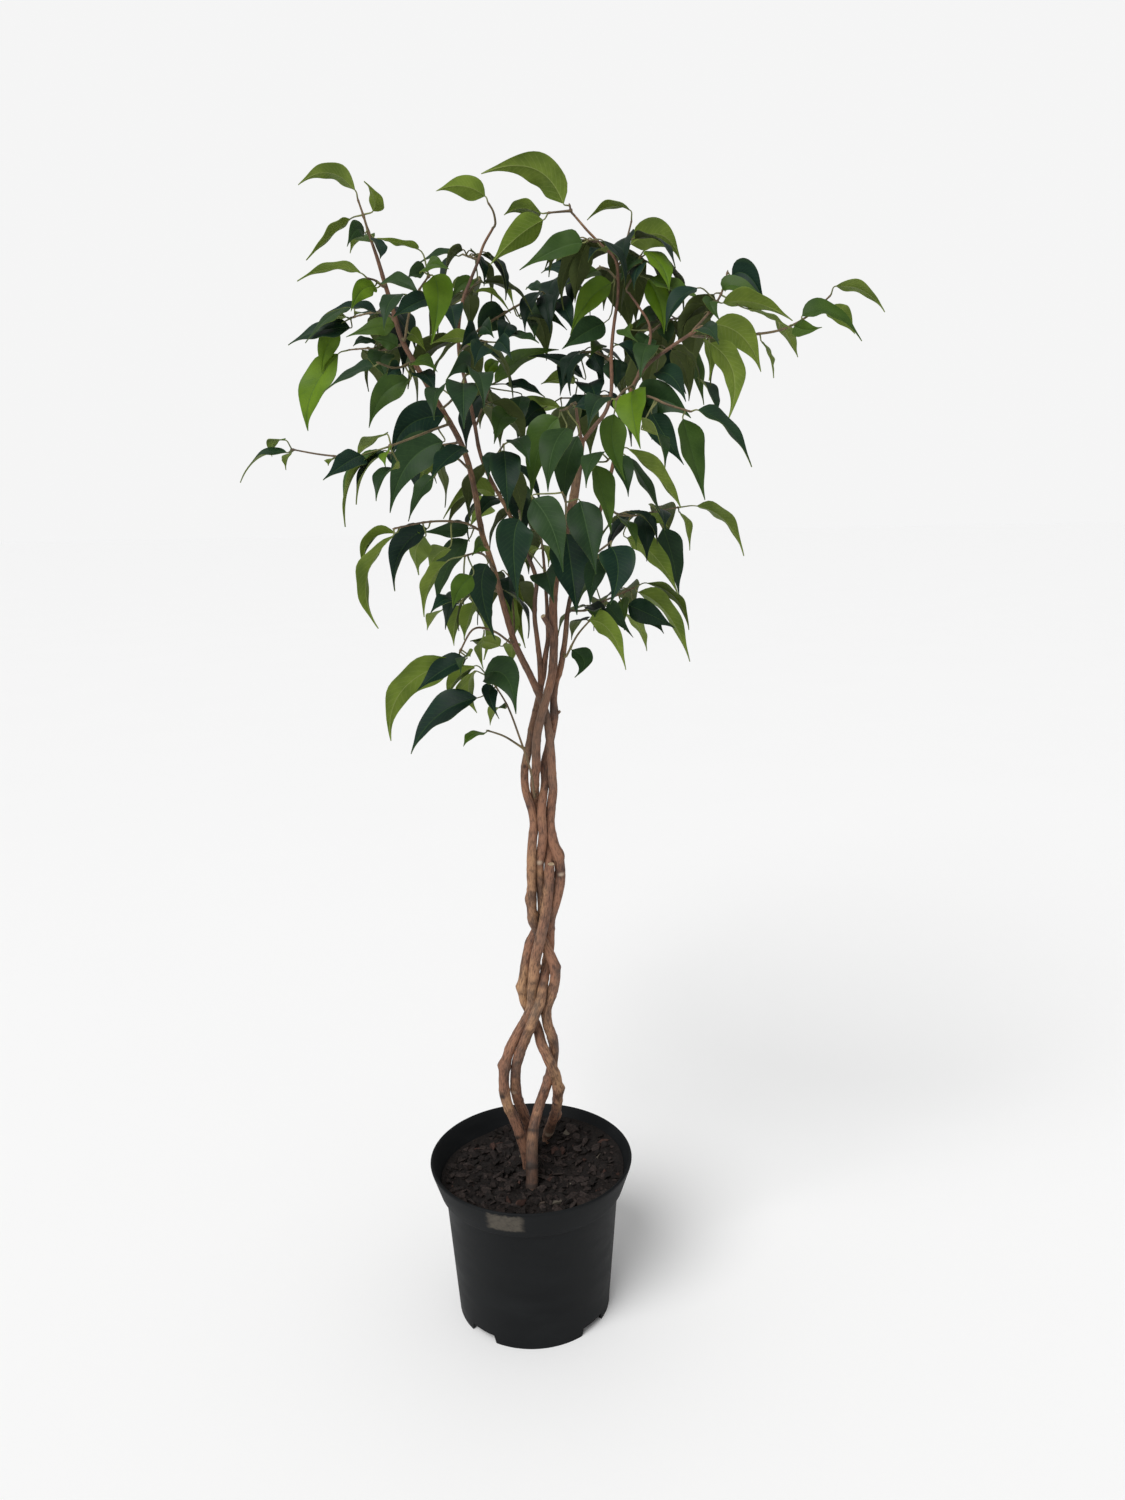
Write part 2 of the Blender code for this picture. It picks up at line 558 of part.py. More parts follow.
        "twigs": [[(441, 410, -25), (452, 400, -62), (460, 388, -92), (466, 374, -116)]],
        "leaves": [
            (478, 362, 446, 380, 24, "T", (462, 364)), (460, 378, 460, 428, 36, "T"),
            (440, 388, 434, 420, 20, "T"), (476, 372, 484, 408, 24, "T"),
        ],
    },
    "spray_centre_left_back": {
        "stem": "stem_front",
        "twigs": [[(474, 424, 25), (482, 408, 60), (487, 396, 92), (490, 384, 122)]],
        "leaves": [
            (491, 382, 558, 348, 16, "G", (522, 357)), (486, 374, 500, 362, 14, "Y"),
            (505, 384, 545, 397, 10, "T", (526, 388)), (522, 396, 518, 440, 22, "T"),
            (508, 414, 494, 444, 26, "G"),
            (548, 374, 506, 372, 5, "G", (527, 369)),
        ],
    },
    "spray_centre_back": {
        "stem": "stem_left",
        "twigs": [[(612, 395, 19), (598, 396, 56), (586, 398, 92), (572, 398, 124),
                   (560, 398, 150)]],
        "leaves": [
            (560, 407, 503, 406, 13, "U", (530, 404)), (575, 378, 541, 384, 17, "U", (558, 379)),
            (585, 386, 598, 412, 22, "T"), (590, 402, 570, 436, 24, "T"),
            (543, 408, 518, 438, 22, "T"),
        ],
    },
    "spray_centre_high_back": {
        "stem": "stem_left",
        "twigs": [[(611, 358, 26), (598, 352, 66), (584, 352, 102), (570, 354, 132)]],
        "leaves": [
            (583, 378, 528, 357, 12, "T", (557, 360)), (590, 345, 604, 380, 22, "T"),
            (608, 336, 590, 358, 16, "G"), (616, 345, 638, 372, 20, "T"),
            (622, 352, 616, 388, 26, "T"),
            (572, 362, 560, 396, 22, "T"),
        ],
    },
    "spray_centre_heart": {
        "stem": "stem_left",
        "twigs": [[(576, 407, -10), (566, 409, -42), (560, 411, -72)]],
        "leaves": [
            (560, 412, 531, 500, 34, "G", (539, 448)), (566, 428, 548, 492, 30, "T"),
            (572, 404, 600, 418, 16, "T"),
            (578, 436, 566, 506, 28, "T"),
        ],
    },
    "spray_heart_left": {
        "stem": "stem_front",
        "twigs": [[(486, 470, 21), (494, 460, -20), (500, 450, -56), (504, 444, -84)]],
        "leaves": [
            (504, 444, 508, 512, 32, "T"), (500, 450, 488, 482, 16, "T"),
            (512, 440, 530, 466, 20, "T"),
        ],
    },
    "spray_right_top_back": {
        "stem": "stem_right",
        "twigs": [[(651, 328, 3), (664, 322, 40), (678, 318, 74), (690, 322, 102)]],
        "leaves": [
            (672, 325, 706, 328, 9, "T"), (606, 327, 638, 342, 17, "G", (624, 330)),
            (660, 314, 668, 344, 18, "T"), (648, 336, 640, 372, 24, "T"),
            (652, 300, 636, 328, 16, "T"),
        ],
    },
}

COLOURS = {
    "pot": ((0.022, 0.024, 0.026), 0.55),
    "soil": ((0.030, 0.021, 0.015), 0.95),
    "stem": ((0.235, 0.150, 0.095), 0.80),
    "spray": ((0.055, 0.125, 0.035), 0.42),
}


class Path:
    """A stem, branch or twig: its node, and rows of x, y, z and radius from its root on."""

    def __init__(self, node, rows, held):
        self.node = node
        self.rows = rows
        self.held = held


class Leaf:
    """A leaf: its petiole's root, its blade's base, spine, top, bow, length and width."""

    def __init__(self, root, base, spine, top, bow, length, width):
        self.root = root
        self.base = base
        self.spine = spine
        self.top = top
        self.bow = bow
        self.length = length
        self.width = width


def clear_scene():
    """Remove every object that the file holds."""
    for item in list(bpy.data.objects):
        bpy.data.objects.remove(item, do_unlink=True)


def make_collection(name):
    """Return a new collection in the scene."""
    collection = bpy.data.collections.new(name)
    bpy.context.scene.collection.children.link(collection)
    return collection


def paint(item, kind):
    """Give a node its own material of a kind in COLOURS."""
    colour, roughness = COLOURS[kind]
    material = bpy.data.materials.new(item.name)
    material.use_nodes = True
    shader = material.node_tree.nodes["Principled BSDF"]
    shader.inputs["Base Color"].default_value = (*colour, 1.0)
    shader.inputs["Roughness"].default_value = roughness
    shader.inputs["Metallic"].default_value = 0.0
    item.data.materials.clear()
    item.data.materials.append(material)


def from_photo(across, down, depth):
    """Return the real point seen at a pixel, so many millimetres behind the pot's axis."""
    sideways = across - PHOTO_CENTRE[0]
    lower = down - PHOTO_CENTRE[1]
    level_x = (sideways * math.cos(VIEW_ROLL) - lower * math.sin(VIEW_ROLL)) / PHOTO_FOCAL
    level_y = (sideways * math.sin(VIEW_ROLL) + lower * math.cos(VIEW_ROLL)) / PHOTO_FOCAL
    y = depth / 1000
    reach = (y - VIEW_Y) / (math.cos(VIEW_PITCH) - level_y * math.sin(VIEW_PITCH))
    drop = math.sin(VIEW_PITCH) + level_y * math.cos(VIEW_PITCH)
    return Vector((VIEW_X + reach * level_x, y, VIEW_Z - reach * drop))


def to_photo(point):
    """Return the pixel, across and down, where a real point is seen."""
    ahead = point[1] - VIEW_Y
    rise = point[2] - VIEW_Z
    distance = ahead * math.cos(VIEW_PITCH) - rise * math.sin(VIEW_PITCH)
    level_x = PHOTO_FOCAL * (point[0] - VIEW_X) / distance
    level_y = -PHOTO_FOCAL * (ahead * math.sin(VIEW_PITCH) + rise * math.cos(VIEW_PITCH)) / distance
    across = PHOTO_CENTRE[0] + level_x * math.cos(VIEW_ROLL) + level_y * math.sin(VIEW_ROLL)
    down = PHOTO_CENTRE[1] - level_x * math.sin(VIEW_ROLL) + level_y * math.cos(VIEW_ROLL)
    return across, down


def even_steps(rows, spacing):
    """Return rows at even steps, near the given spacing, along a chain of rows."""
    steps = np.linalg.norm(np.diff(rows[:, :3], axis=0), axis=1)
    along = np.concatenate(([0.0], np.cumsum(steps)))
    count = max(2, round(along[-1] / spacing)) + 1
    wanted = np.linspace(0.0, along[-1], count)
    return np.stack([np.interp(wanted, along, column) for column in rows.T], axis=1)


def smooth_rows(rows, spacing):
    """Round the corners of a chain of rows and read it at even steps."""
    fine = even_steps(np.array(rows, dtype=float), FINE_STEP)
    for _ in range(SMOOTHING_PASSES):
        fine[1:-1] = (fine[:-2] + 2 * fine[1:-1] + fine[2:]) / 4
    return even_steps(fine, spacing)


def nearest_row(paths, point):
    """Return the fine rows of the path that comes nearest to a point, and the row there."""
    best = None
    for path in paths:
        fine = even_steps(path.rows, FINE_STEP)
        gaps = np.linalg.norm(fine[:, :3] - np.array(point), axis=1)
        row = int(np.argmin(gaps))
        if best is None or gaps[row] < best[0]:
            best = (gaps[row], fine, row)
    return best[1], best[2]


def direction(rows, row):
    """Return the unit direction of a path at one of its rows."""
    before = rows[max(row - 1, 0), :3]
    after = rows[min(row + 1, len(rows) - 1), :3]
    return Vector(after - before).normalized()


def stem_paths(node, stem):
    """Return a stem's own path and its forks', each fork rooted on the stem's middle line."""
    downs = [-down for down, _ in stem["radii"]]
    sizes = [radius / 1000 for _, radius in stem["radii"]]
    rows = []
    for across, down, depth in stem["route"]:
        rows.append([*from_photo(across, down, depth), np.interp(-down, downs, sizes)])
    foot = [rows[0][0], rows[0][1], SOIL_TOP - STEM_DEPTH_IN_SOIL, rows[0][3]]
    paths = [Path(node, smooth_rows([foot] + rows, STEM_SPACING), 0)]
    for route, (root_radius, end_radius) in stem["forks"]:
        points = [from_photo(*place) for place in route]
        sizes = np.linspace(root_radius, end_radius, len(points)) / 1000
        rows = [[*point, size] for point, size in zip(points, sizes)]
        paths.append(Path(node, smooth_rows(rows, STEM_SPACING), 0))
    return paths


def seat_forks(paths):
    """Bring each fork's root back onto its own stem, after the stems were pushed apart."""
    stem = paths[0]
    for fork in paths[1:]:
        fine, row = nearest_row([stem], fork.rows[0, :3])
        shift = fine[row, :3] - fork.rows[0, :3]
        fade = np.linspace(1.0, 0.0, len(fork.rows))[:, None]
        fork.rows[:, :3] += shift * fade


def push_apart(paths, rounds):
    """Move paths of different nodes apart until their surfaces clear each other."""
    for _ in range(rounds):
        samples = []
        for path in paths:
            for row in range(len(path.rows) - 1):
                for share in (0.0, 0.25, 0.5, 0.75):
                    place = path.rows[row] * (1 - share) + path.rows[row + 1] * share
                    samples.append((path, row, share, place))
        tree = KDTree(len(samples))
        for number, sample in enumerate(samples):
            tree.insert(sample[3][:3], number)
        tree.balance()
        moves = {id(path): np.zeros((len(path.rows), 3)) for path in paths}
        widest = max(sample[3][3] for sample in samples)
        for path, row, share, place in samples:
            if row < path.held:
                continue
            for _, other, gap in tree.find_range(place[:3], place[3] + widest + WOOD_CLEARANCE):
                other_path, other_row, _, other_place = samples[other]
                if other_path.node == path.node or other_row < other_path.held:
                    continue
                overlap = place[3] + other_place[3] + WOOD_CLEARANCE - gap
                if overlap <= 0 or gap < 1e-7:
                    continue
                push = (place[:3] - other_place[:3]) / gap * overlap * PUSH_SHARE
                if other_path.held >= len(other_path.rows):
                    push = push * 2
                moves[id(path)][row] += push * (1 - share)
                moves[id(path)][row + 1] += push * share
        for path in paths:
            path.rows[path.held:, :3] += moves[id(path)][path.held:]


def spray_paths(node, spray, stems):
    """Return a spray's twigs: the first stands on its stem, the others grow from the first."""
    paths = []
    for route in spray["twigs"]:
        points = [from_photo(*place) for place in route]
        if not paths:
            parent, row = nearest_row(stems, points[0])
            end = row == len(parent) - 1
            along = direction(parent, row)
            place = Vector(parent[row, :3])
            aim = points[1] - place
            out = along if end else (aim - along * aim.dot(along)).normalized()
            lift = GAP if end else parent[row, 3] + GAP
            start = place + out * lift
            straight = place + out * (lift + TWIG_STRAIGHT)
        else:
            parent, row = nearest_row(paths[:1], points[0])
            row = min(max(row, SIDE_TWIG_MARGIN), len(parent) - 1 - SIDE_TWIG_MARGIN)
            start = Vector(parent[row, :3])
            straight = start + (points[1] - start).normalized() * TWIG_STRAIGHT
        chain = [start, straight] + points[1:]
        sizes = np.linspace(TWIG_ROOT_RADIUS, TWIG_TIP_RADIUS, len(chain))
        rows = [[*point, size] for point, size in zip(chain, sizes)]
        inner = smooth_rows(rows[1:], TWIG_SPACING)
        paths.append(Path(node, np.concatenate(([rows[0]], inner)), 2))
    return paths


def tube(name, rows, resolution):
    """Return a closed mesh tube along rows of x, y, z and radius."""
    curve = bpy.data.curves.new(name, "CURVE")
    curve.dimensions = "3D"
    curve.bevel_depth = 1.0
    curve.bevel_resolution = resolution
    curve.use_fill_caps = True
    spline = curve.splines.new("POLY")
    spline.points.add(len(rows) - 1)
    for point, (x, y, z, radius) in zip(spline.points, rows):
        point.co = (x, y, z, 1.0)
        point.radius = radius
    item = bpy.data.objects.new(name, curve)
    bpy.context.scene.collection.objects.link(item)
    return weld(as_mesh(item))


def as_mesh(item):
    """Replace an object by the mesh that it shows."""
    name = item.name
    evaluated = item.evaluated_get(bpy.context.evaluated_depsgraph_get())
    mesh = bpy.data.meshes.new_from_object(evaluated)
    place = item.matrix_world.copy()
    bpy.data.objects.remove(item, do_unlink=True)
    mesh.name = name
    made = bpy.data.objects.new(name, mesh)
    made.matrix_world = place
    bpy.context.scene.collection.objects.link(made)
    return made


def weld(item):
    """Join the points of a mesh that lie on each other, such as those of a curve's caps."""
    shape = bmesh.new()
    shape.from_mesh(item.data)
    bmesh.ops.remove_doubles(shape, verts=shape.verts, dist=WELD_DISTANCE)
    shape.to_mesh(item.data)
    shape.free()
    return item


def blade_middle(leaf, share):
    """Return the point at a share of a blade's middle line, which bows from base to tip."""
    return leaf.base + (leaf.spine * share + leaf.bow * 4 * share * (1 - share)) * leaf.length


def blade_frame(leaf, share):
    """Return the directions along, across and above a blade at a share of its middle line."""
    before = max(share - 0.01, 0.0)
    after = min(share + 0.01, 1.0)
    along = (blade_middle(leaf, after) - blade_middle(leaf, before)).normalized()
    above = (leaf.top - along * leaf.top.dot(along)).normalized()
    return along, along.cross(above), above


def leaf_points(leaf, margin):
    """Return the points of a leaf, ring by ring from its petiole's root, and then its tip."""
    along, side, above = blade_frame(leaf, 0.0)
    stalk = (leaf.base - leaf.root).normalized()
    bend = (stalk + along).normalized()
    at_base = along.rotation_difference(bend)
    at_root = bend.rotation_difference(stalk) @ at_base
    thin = PETIOLE_RADIUS + margin
    points = []
    for middle, turn in ((leaf.root, at_root), (leaf.base, at_base)):
        across = turn @ side * thin
        up = turn @ above * thin
        points += [middle - across - up * 0.6, middle + up, middle + across - up * 0.6]
    for share, breadth in LEAF_STATIONS:
        middle = blade_middle(leaf, share)
        _, side, top = blade_frame(leaf, share)
        half = leaf.width / 2 * breadth
        across = side * (half * math.cos(LEAF_FOLD) + margin)
        lift = top * half * math.sin(LEAF_FOLD)
        rib = top * (RIB_HALF_THICKNESS + margin)
        points += [middle - across + lift, middle + rib, middle + across + lift, middle - rib]
    points.append(leaf.base + leaf.spine * (leaf.length + margin))
    return points


def leaf_faces():
    """Return a leaf's triangles: three-sided petiole, then blade, split alike on both faces."""
    faces = [(0, 2, 1)]
    for here in range(3):
        beside = (here + 1) % 3
        faces += [(here, beside, beside + 3), (here, beside + 3, here + 3)]
    faces += [(3, 4, 7), (3, 7, 6), (4, 5, 7), (5, 8, 7), (5, 3, 9), (5, 9, 8), (3, 6, 9)]
    tip = 6 + 4 * len(LEAF_STATIONS)
    for ring in range(6, tip, 4):
        for number in range(4):
            here = ring + number
            beside = ring + (number + 1) % 4
            if ring + 4 == tip:
                faces.append((here, beside, tip))
            elif number % 2 == 0:
                faces += [(here, beside, beside + 4), (here, beside + 4, here + 4)]
            else:
                faces += [(here, beside, here + 4), (beside, beside + 4, here + 4)]
    return faces


def blade_shape(leaf, margin):
    """Return a leaf's points and faces without its petiole."""
    faces = [[corner - 3 for corner in face] for face in leaf_faces() if min(face) > 2]
    return leaf_points(leaf, margin)[3:], faces


def traced_leaf(twigs, traced, shrink, shift, turn):
    """Return the leaf that a traced one stands for, drawn smaller, moved in depth or turned."""
    across, down, tip_across, tip_down, seen_pixels, seen_side, *seen_middle = traced
    root, run = None, None
    for path in twigs:
        for row in even_steps(path.rows[1:], FINE_STEP)[1:-1]:
            gap = math.dist(to_photo(row), (across, down))
            if run is None or gap < run:
                root, run = Vector(row[:3]), gap
    depth = (root.y + shift * BASE_SHIFT_SHARE) * 1000
    base = from_photo(across, down, depth)
    tip = from_photo(tip_across, tip_down, depth)
    scale = (tip - base).length / max(math.dist((across, down), (tip_across, tip_down)), 1.0)
    seen_length = (tip - base).length
    seen_width = seen_pixels * scale
    length = max(seen_length, seen_width / LEAF_WIDTH_SHARE, SHORTEST_LEAF)
    length = min(length, seen_length / MOST_FORESHORTENED, LONGEST_LEAF)
    length = max(length, seen_length)
    towards = -1 if (seen_side != "U") == (tip_down > down) else 1
    tip.y += towards * math.sqrt(length ** 2 - seen_length ** 2)
    tip = from_photo(tip_across, tip_down, (tip.y + shift) * 1000)
    spine = (tip - base).normalized()
    if (base - root).length < SHORTEST_PETIOLE:
        base = root + spine * SHORTEST_PETIOLE
    while (base - root).normalized().dot(spine) < SHARPEST_BEND:
        base = base.lerp(root + spine * SHORTEST_PETIOLE, 0.5)
        spine = (tip - base).normalized()
    length = (tip - base).length * shrink
    sight = (base - Vector((VIEW_X, VIEW_Y, VIEW_Z))).normalized()
    facing = -(sight - spine * sight.dot(spine)).normalized()
    width = min(max(seen_width, length * LEAF_WIDTH_SHARE, LEAF_WIDTHS[0]), LEAF_WIDTHS[1])
    roll = math.acos(min(seen_width / width, 1.0))
    sign = 1 if seen_side != "U" else -1
    tops = []
    for angle in (roll, -roll):
        tops.append(sign * (Matrix.Rotation(angle + turn, 3, spine) @ facing))
    top = max(tops, key=lambda way: way.z)
    if seen_middle:
        middle = (base + tip) / 2
        bow = (from_photo(*seen_middle[0], middle.y * 1000) - middle) / (tip - base).length
    else:
        level = Vector((0.0, 0.0, 1.0)) - spine * spine.z
        bow = level / max(level.length, FULL_BOW_LEVEL) * LEAF_BOW + top * LEAF_ARCH
    if bow.length > MOST_BOW:
        bow *= MOST_BOW / bow.length
    return Leaf(root, base, spine, top, bow, length, width * shrink)


def box_of(points):
    """Return the lowest and highest corner of a box round some points."""
    places = np.array([tuple(point) for point in points])
    return places.min(axis=0), places.max(axis=0)


class Obstacles:
    """What has been placed so far, for finding whether a new leaf would touch it."""

    def __init__(self):
        self.things = []

    def add(self, node, kind, points, faces):
        """Add a shape of a node; its kind is wood or blade."""
        low, high = box_of(points)
        self.things.append((node, kind, BVHTree.FromPolygons(points, faces), low, high))

    def touched(self, points, faces, wanted):
        """Say whether a shape meets any placed thing whose node and kind are wanted."""
        low, high = box_of(points)
        tree = None
        for node, kind, other, other_low, other_high in self.things:
            if not wanted(node, kind):
                continue
            if (low > other_high).any() or (high < other_low).any():
                continue
            tree = tree or BVHTree.FromPolygons(points, faces)
            if tree.overlap(other):
                return True
        return False


def fits(leaf, node, obstacles, strict):
    """Say whether a leaf clears other nodes, its own twigs and, if strict, its own blades."""
    points = leaf_points(leaf, LEAF_CLEARANCE)
    if obstacles.touched(points, leaf_faces(), lambda other, kind: other != node):
        return False
    return not obstacles.touched(
        *blade_shape(leaf, LEAF_CLEARANCE),
        lambda other, kind: other == node and (strict or kind == "wood"))


def place_leaf(node, twigs, traced, obstacles):
    """Return the first form of a traced leaf that is clear of what has been placed."""
    for strict in (True, False):
        for shrink in SHRINKS:
            for shift in SHIFTS:
                for turn in TURNS:
                    leaf = traced_leaf(twigs, traced, shrink, shift, turn)
                    if fits(leaf, node, obstacles, strict):
                        return leaf
    return None


def place_leaves(twigs, obstacles):
    """Return the leaves of each spray, the sprays nearest to the viewer first."""
    placed = {}
    order = sorted(SPRAYS, key=lambda node: (twigs[node][0].rows[-1, 1], node))
    for node in order:
        placed[node] = []
        for traced in SPRAYS[node]["leaves"]:
            leaf = place_leaf(node, twigs[node], traced, obstacles)
            if leaf is None:
                continue
            placed[node].append(leaf)
            obstacles.add(node, "blade", leaf_points(leaf, 0.0), leaf_faces())
    return placed


def leaf_object(leaf):
    """Return a leaf as a mesh object."""
    mesh = bpy.data.meshes.new("leaf")
    mesh.from_pydata(leaf_points(leaf, 0.0), [], leaf_faces())
    item = bpy.data.objects.new("leaf", mesh)
    bpy.context.scene.collection.objects.link(item)
    return item


def fuse(name, pieces, model, kind):
    """Join pieces that overlap into one body and put it in the model as a node."""
    main = pieces[0]
    rest = bpy.data.collections.new("pieces")
    for piece in pieces[1:]:
        bpy.context.scene.collection.objects.unlink(piece)
        rest.objects.link(piece)
    if pieces[1:]:
        union = main.modifiers.new("union", "BOOLEAN")
        union.operation = "UNION"
        union.operand_type = "COLLECTION"
        union.collection = rest
    made = as_mesh(main)
    for piece in list(rest.objects):
        bpy.data.objects.remove(piece, do_unlink=True)
    bpy.data.collections.remove(rest)
    bpy.context.scene.collection.objects.unlink(made)
    model.objects.link(made)
    made.name = name
    made.data.name = name
    finish(made, kind)
    return made


def finish(item, kind):
    """Shade a node smooth except at its sharp edges, and paint it."""
    item.data.shade_smooth()
    item.data.set_sharp_from_angle(angle=SHARP_ANGLE)
    paint(item, kind)


def turned(name, profile, steps):
    """Return an object turned from a profile of (radius, height) points."""
    mesh = bpy.data.meshes.new(name)
    points = [(radius, 0.0, height) for radius, height in profile]
    mesh.from_pydata(points, [(n, n + 1) for n in range(len(points) - 1)], [])
    item = bpy.data.objects.new(name, mesh)
    bpy.context.scene.collection.objects.link(item)
    screw = item.modifiers.new("turn", "SCREW")
    screw.steps = steps
    screw.render_steps = steps
    screw.use_merge_vertices = True
    screw.merge_threshold = WELD_DISTANCE
    return item


def pot_inside():
    """Return the pot's inner profile, from the middle of its floor to the top of its rim."""
    floor_top = FOOT_HEIGHT + FLOOR
    return [
        (0.0, floor_top),
        (BASE_RADIUS - WALL - FLOOR, floor_top),
        (BASE_RADIUS - WALL + 0.0006, floor_top + FLOOR),
        (BODY_TOP_RADIUS - WALL, BAND_BOTTOM - BAND_STEP),
        (BAND_BOTTOM_RADIUS - WALL, BAND_BOTTOM + BAND_STEP / 2),
        (RIM_RADIUS - WALL - RIM_ROUNDING, POT_HEIGHT - RIM_ROUNDING),
    ]


def pot_outside():
    """Return the pot's outer profile, from the top of its rim to the middle of its foot."""
    return [
        (RIM_RADIUS - RIM_ROUNDING, POT_HEIGHT),
        (RIM_RADIUS, POT_HEIGHT - RIM_ROUNDING),
        (RIM_RADIUS - RIM_ROUNDING / 3, POT_HEIGHT - RIM_ROUNDING * 2.5),
        (BAND_BOTTOM_RADIUS, BAND_BOTTOM),
        (BODY_TOP_RADIUS, BAND_BOTTOM - BAND_STEP),
        (BASE_RADIUS, 0.0),
        (BASE_RADIUS - FOOT_WIDTH, 0.0),
        (BASE_RADIUS - FOOT_WIDTH, FOOT_HEIGHT),
        (CENTRE_FOOT_RADIUS + 0.002, FOOT_HEIGHT),
        (CENTRE_FOOT_RADIUS, 0.0),
        (0.0, 0.0),
    ]


def notch_cutter(cutters, angle):
    """Add the block that opens a drainage notch in the foot, at an angle from the front."""
    shape = bmesh.new()
    bmesh.ops.create_cube(shape, size=1.0)
    for corner in shape.verts:
        splay = 1.0 if corner.co.z < 0 else NOTCH_TOP_SHARE
        corner.co.x *= NOTCH_WIDTH * splay
        corner.co.y *= FOOT_WIDTH * 4
        corner.co.z *= NOTCH_HEIGHT * 2
    return add_cutter(cutters, shape, angle, BASE_RADIUS - FOOT_WIDTH / 2, 0.0)


def drain_cutter(cutters, angle):
    """Add the rod that opens a drain hole in the floor."""
    shape = bmesh.new()
    bmesh.ops.create_cone(
        shape, cap_ends=True, segments=DRAIN_SIDES, radius1=DRAIN_RADIUS, radius2=DRAIN_RADIUS,
        depth=FLOOR * 4)
    return add_cutter(cutters, shape, angle, DRAIN_RING, FOOT_HEIGHT + FLOOR / 2)


def add_cutter(cutters, shape, angle, radius, height):
    """Place a cutting shape at an angle round the pot, measured from the front."""
    mesh = bpy.data.meshes.new("cutter")
    shape.to_mesh(mesh)
    shape.free()
    item = bpy.data.objects.new("cutter", mesh)
    turn = math.radians(angle)
    item.location = (radius * math.sin(turn), -radius * math.cos(turn), height)
    item.rotation_euler.z = turn
    hide_cutter(item, cutters)
    return item


def hide_cutter(item, cutters):
    """Keep a cutter out of the picture."""
    item.hide_render = True
    item.display_type = "WIRE"
    cutters.objects.link(item)


def cut(item, cutters):
    """Cut every object of a collection out of an item."""
    cutting = item.modifiers.new("cut", "BOOLEAN")
    cutting.operation = "DIFFERENCE"
    cutting.operand_type = "COLLECTION"
    cutting.collection = cutters
    cutting.solver = "EXACT"


def make_pot(model):
    """Make the pot: turned wall, floor and feet, with drain holes and foot notches."""
    cutters = make_collection("pot cutters")
    for angle in NOTCH_ANGLES:
        notch_cutter(cutters, angle)
    for angle in DRAIN_ANGLES:
        drain_cutter(cutters, angle)
    item = turned("pot", pot_inside() + pot_outside(), POT_STEPS)
    bpy.context.view_layer.update()
    shell = as_mesh(item)
    bpy.context.scene.collection.objects.unlink(shell)
    model.objects.link(shell)
    cut(shell, cutters)
    finish(shell, "pot")


def soil_height(x, y, reach):
    """Return how far the mix stands above its level: bumpy, and heaped up to the back right."""
    waves = (
        math.sin(x * 95 + 0.6) * math.cos(y * 80 - 0.9),
        math.sin(x * 210 - y * 160 + 1.7) * 0.6,
        math.cos(x * 150 + y * 240) * 0.5,
    )
    bumps = SOIL_BUMP * sum(waves) * (1 - (x ** 2 + y ** 2) / reach ** 2)
    back = x * math.cos(SOIL_RISE_WAY) + y * math.sin(SOIL_RISE_WAY)
    share = min(max((back - SOIL_RISE_FROM) / (SOIL_RISE_TO - SOIL_RISE_FROM), 0.0), 1.0)
    return bumps + SOIL_RISE * share ** 2 * (3 - 2 * share)


def make_soil(model, stems):
    """Make the potting mix: it fills the pot, bumpy on top, with a hole for each stem."""
    wall = pot_inside()
    slope = (SOIL_TOP - wall[-2][1]) / (wall[-1][1] - wall[-2][1])
    edge = wall[-2][0] + (wall[-1][0] - wall[-2][0]) * slope
    side = [(radius - GAP, height + GAP) for radius, height in wall[1:-1]]
    reach = edge - GAP * 2
    profile = [(reach * ring / SOIL_RINGS, SOIL_TOP) for ring in range(SOIL_RINGS + 1)]
    profile += reversed(side)
    profile.append((0.0, wall[0][1] + GAP))
    soil = as_mesh(turned("soil", profile, POT_STEPS))
    for point in soil.data.vertices:
        if abs(point.co.z - SOIL_TOP) < WELD_DISTANCE:
            point.co.z += soil_height(point.co.x, point.co.y, reach)
    cutters = make_collection("soil cutters")
    for path in stems:
        rows = path.rows[path.rows[:, 2] < SOIL_TOP + HOLE_REACH].copy()
        rows[0, 2] -= HOLE_CLEARANCE
        rows[:, 3] = (rows[:, 3] + HOLE_CLEARANCE) / math.cos(math.pi / HOLE_SIDES)
        hole = tube("hole", rows, 2)
        bpy.context.scene.collection.objects.unlink(hole)
        hide_cutter(hole, cutters)
    bpy.context.scene.collection.objects.unlink(soil)
    model.objects.link(soil)
    cut(soil, cutters)
    finish(soil, "soil")


def main():
    """Make the whole plant."""
    clear_scene()
    model = make_collection("weeping fig")
    stems = {node: stem_paths(node, stem) for node, stem in STEMS.items()}
    wood = [path for paths in stems.values() for path in paths]
    push_apart(wood, STEM_ROUNDS)
    for paths in stems.values():
        seat_forks(paths)
    for path in wood:
        path.held = len(path.rows)
    twigs = {}
    for node, spray in SPRAYS.items():
        twigs[node] = spray_paths(node, spray, stems[spray["stem"]])
    sprigs = [path for paths in twigs.values() for path in paths]
    push_apart(wood + sprigs, TWIG_ROUNDS)
    make_pot(model)
    make_soil(model, [paths[0] for paths in stems.values()])
    tubes = {}
    obstacles = Obstacles()
    for path in wood + sprigs:
        made = tube(path.node, path.rows, 1 if path.node in STEMS else 0)
        tubes.setdefault(path.node, []).append(made)
        points = [point.co.copy() for point in made.data.vertices]
        faces = [tuple(face.vertices) for face in made.data.polygons]
        obstacles.add(path.node, "wood", points, faces)
    for node in STEMS:
        fuse(node, tubes[node], model, "stem")
    for node, leaves in place_leaves(twigs, obstacles).items():
        fuse(node, tubes[node] + [leaf_object(leaf) for leaf in leaves], model, "spray")


main()
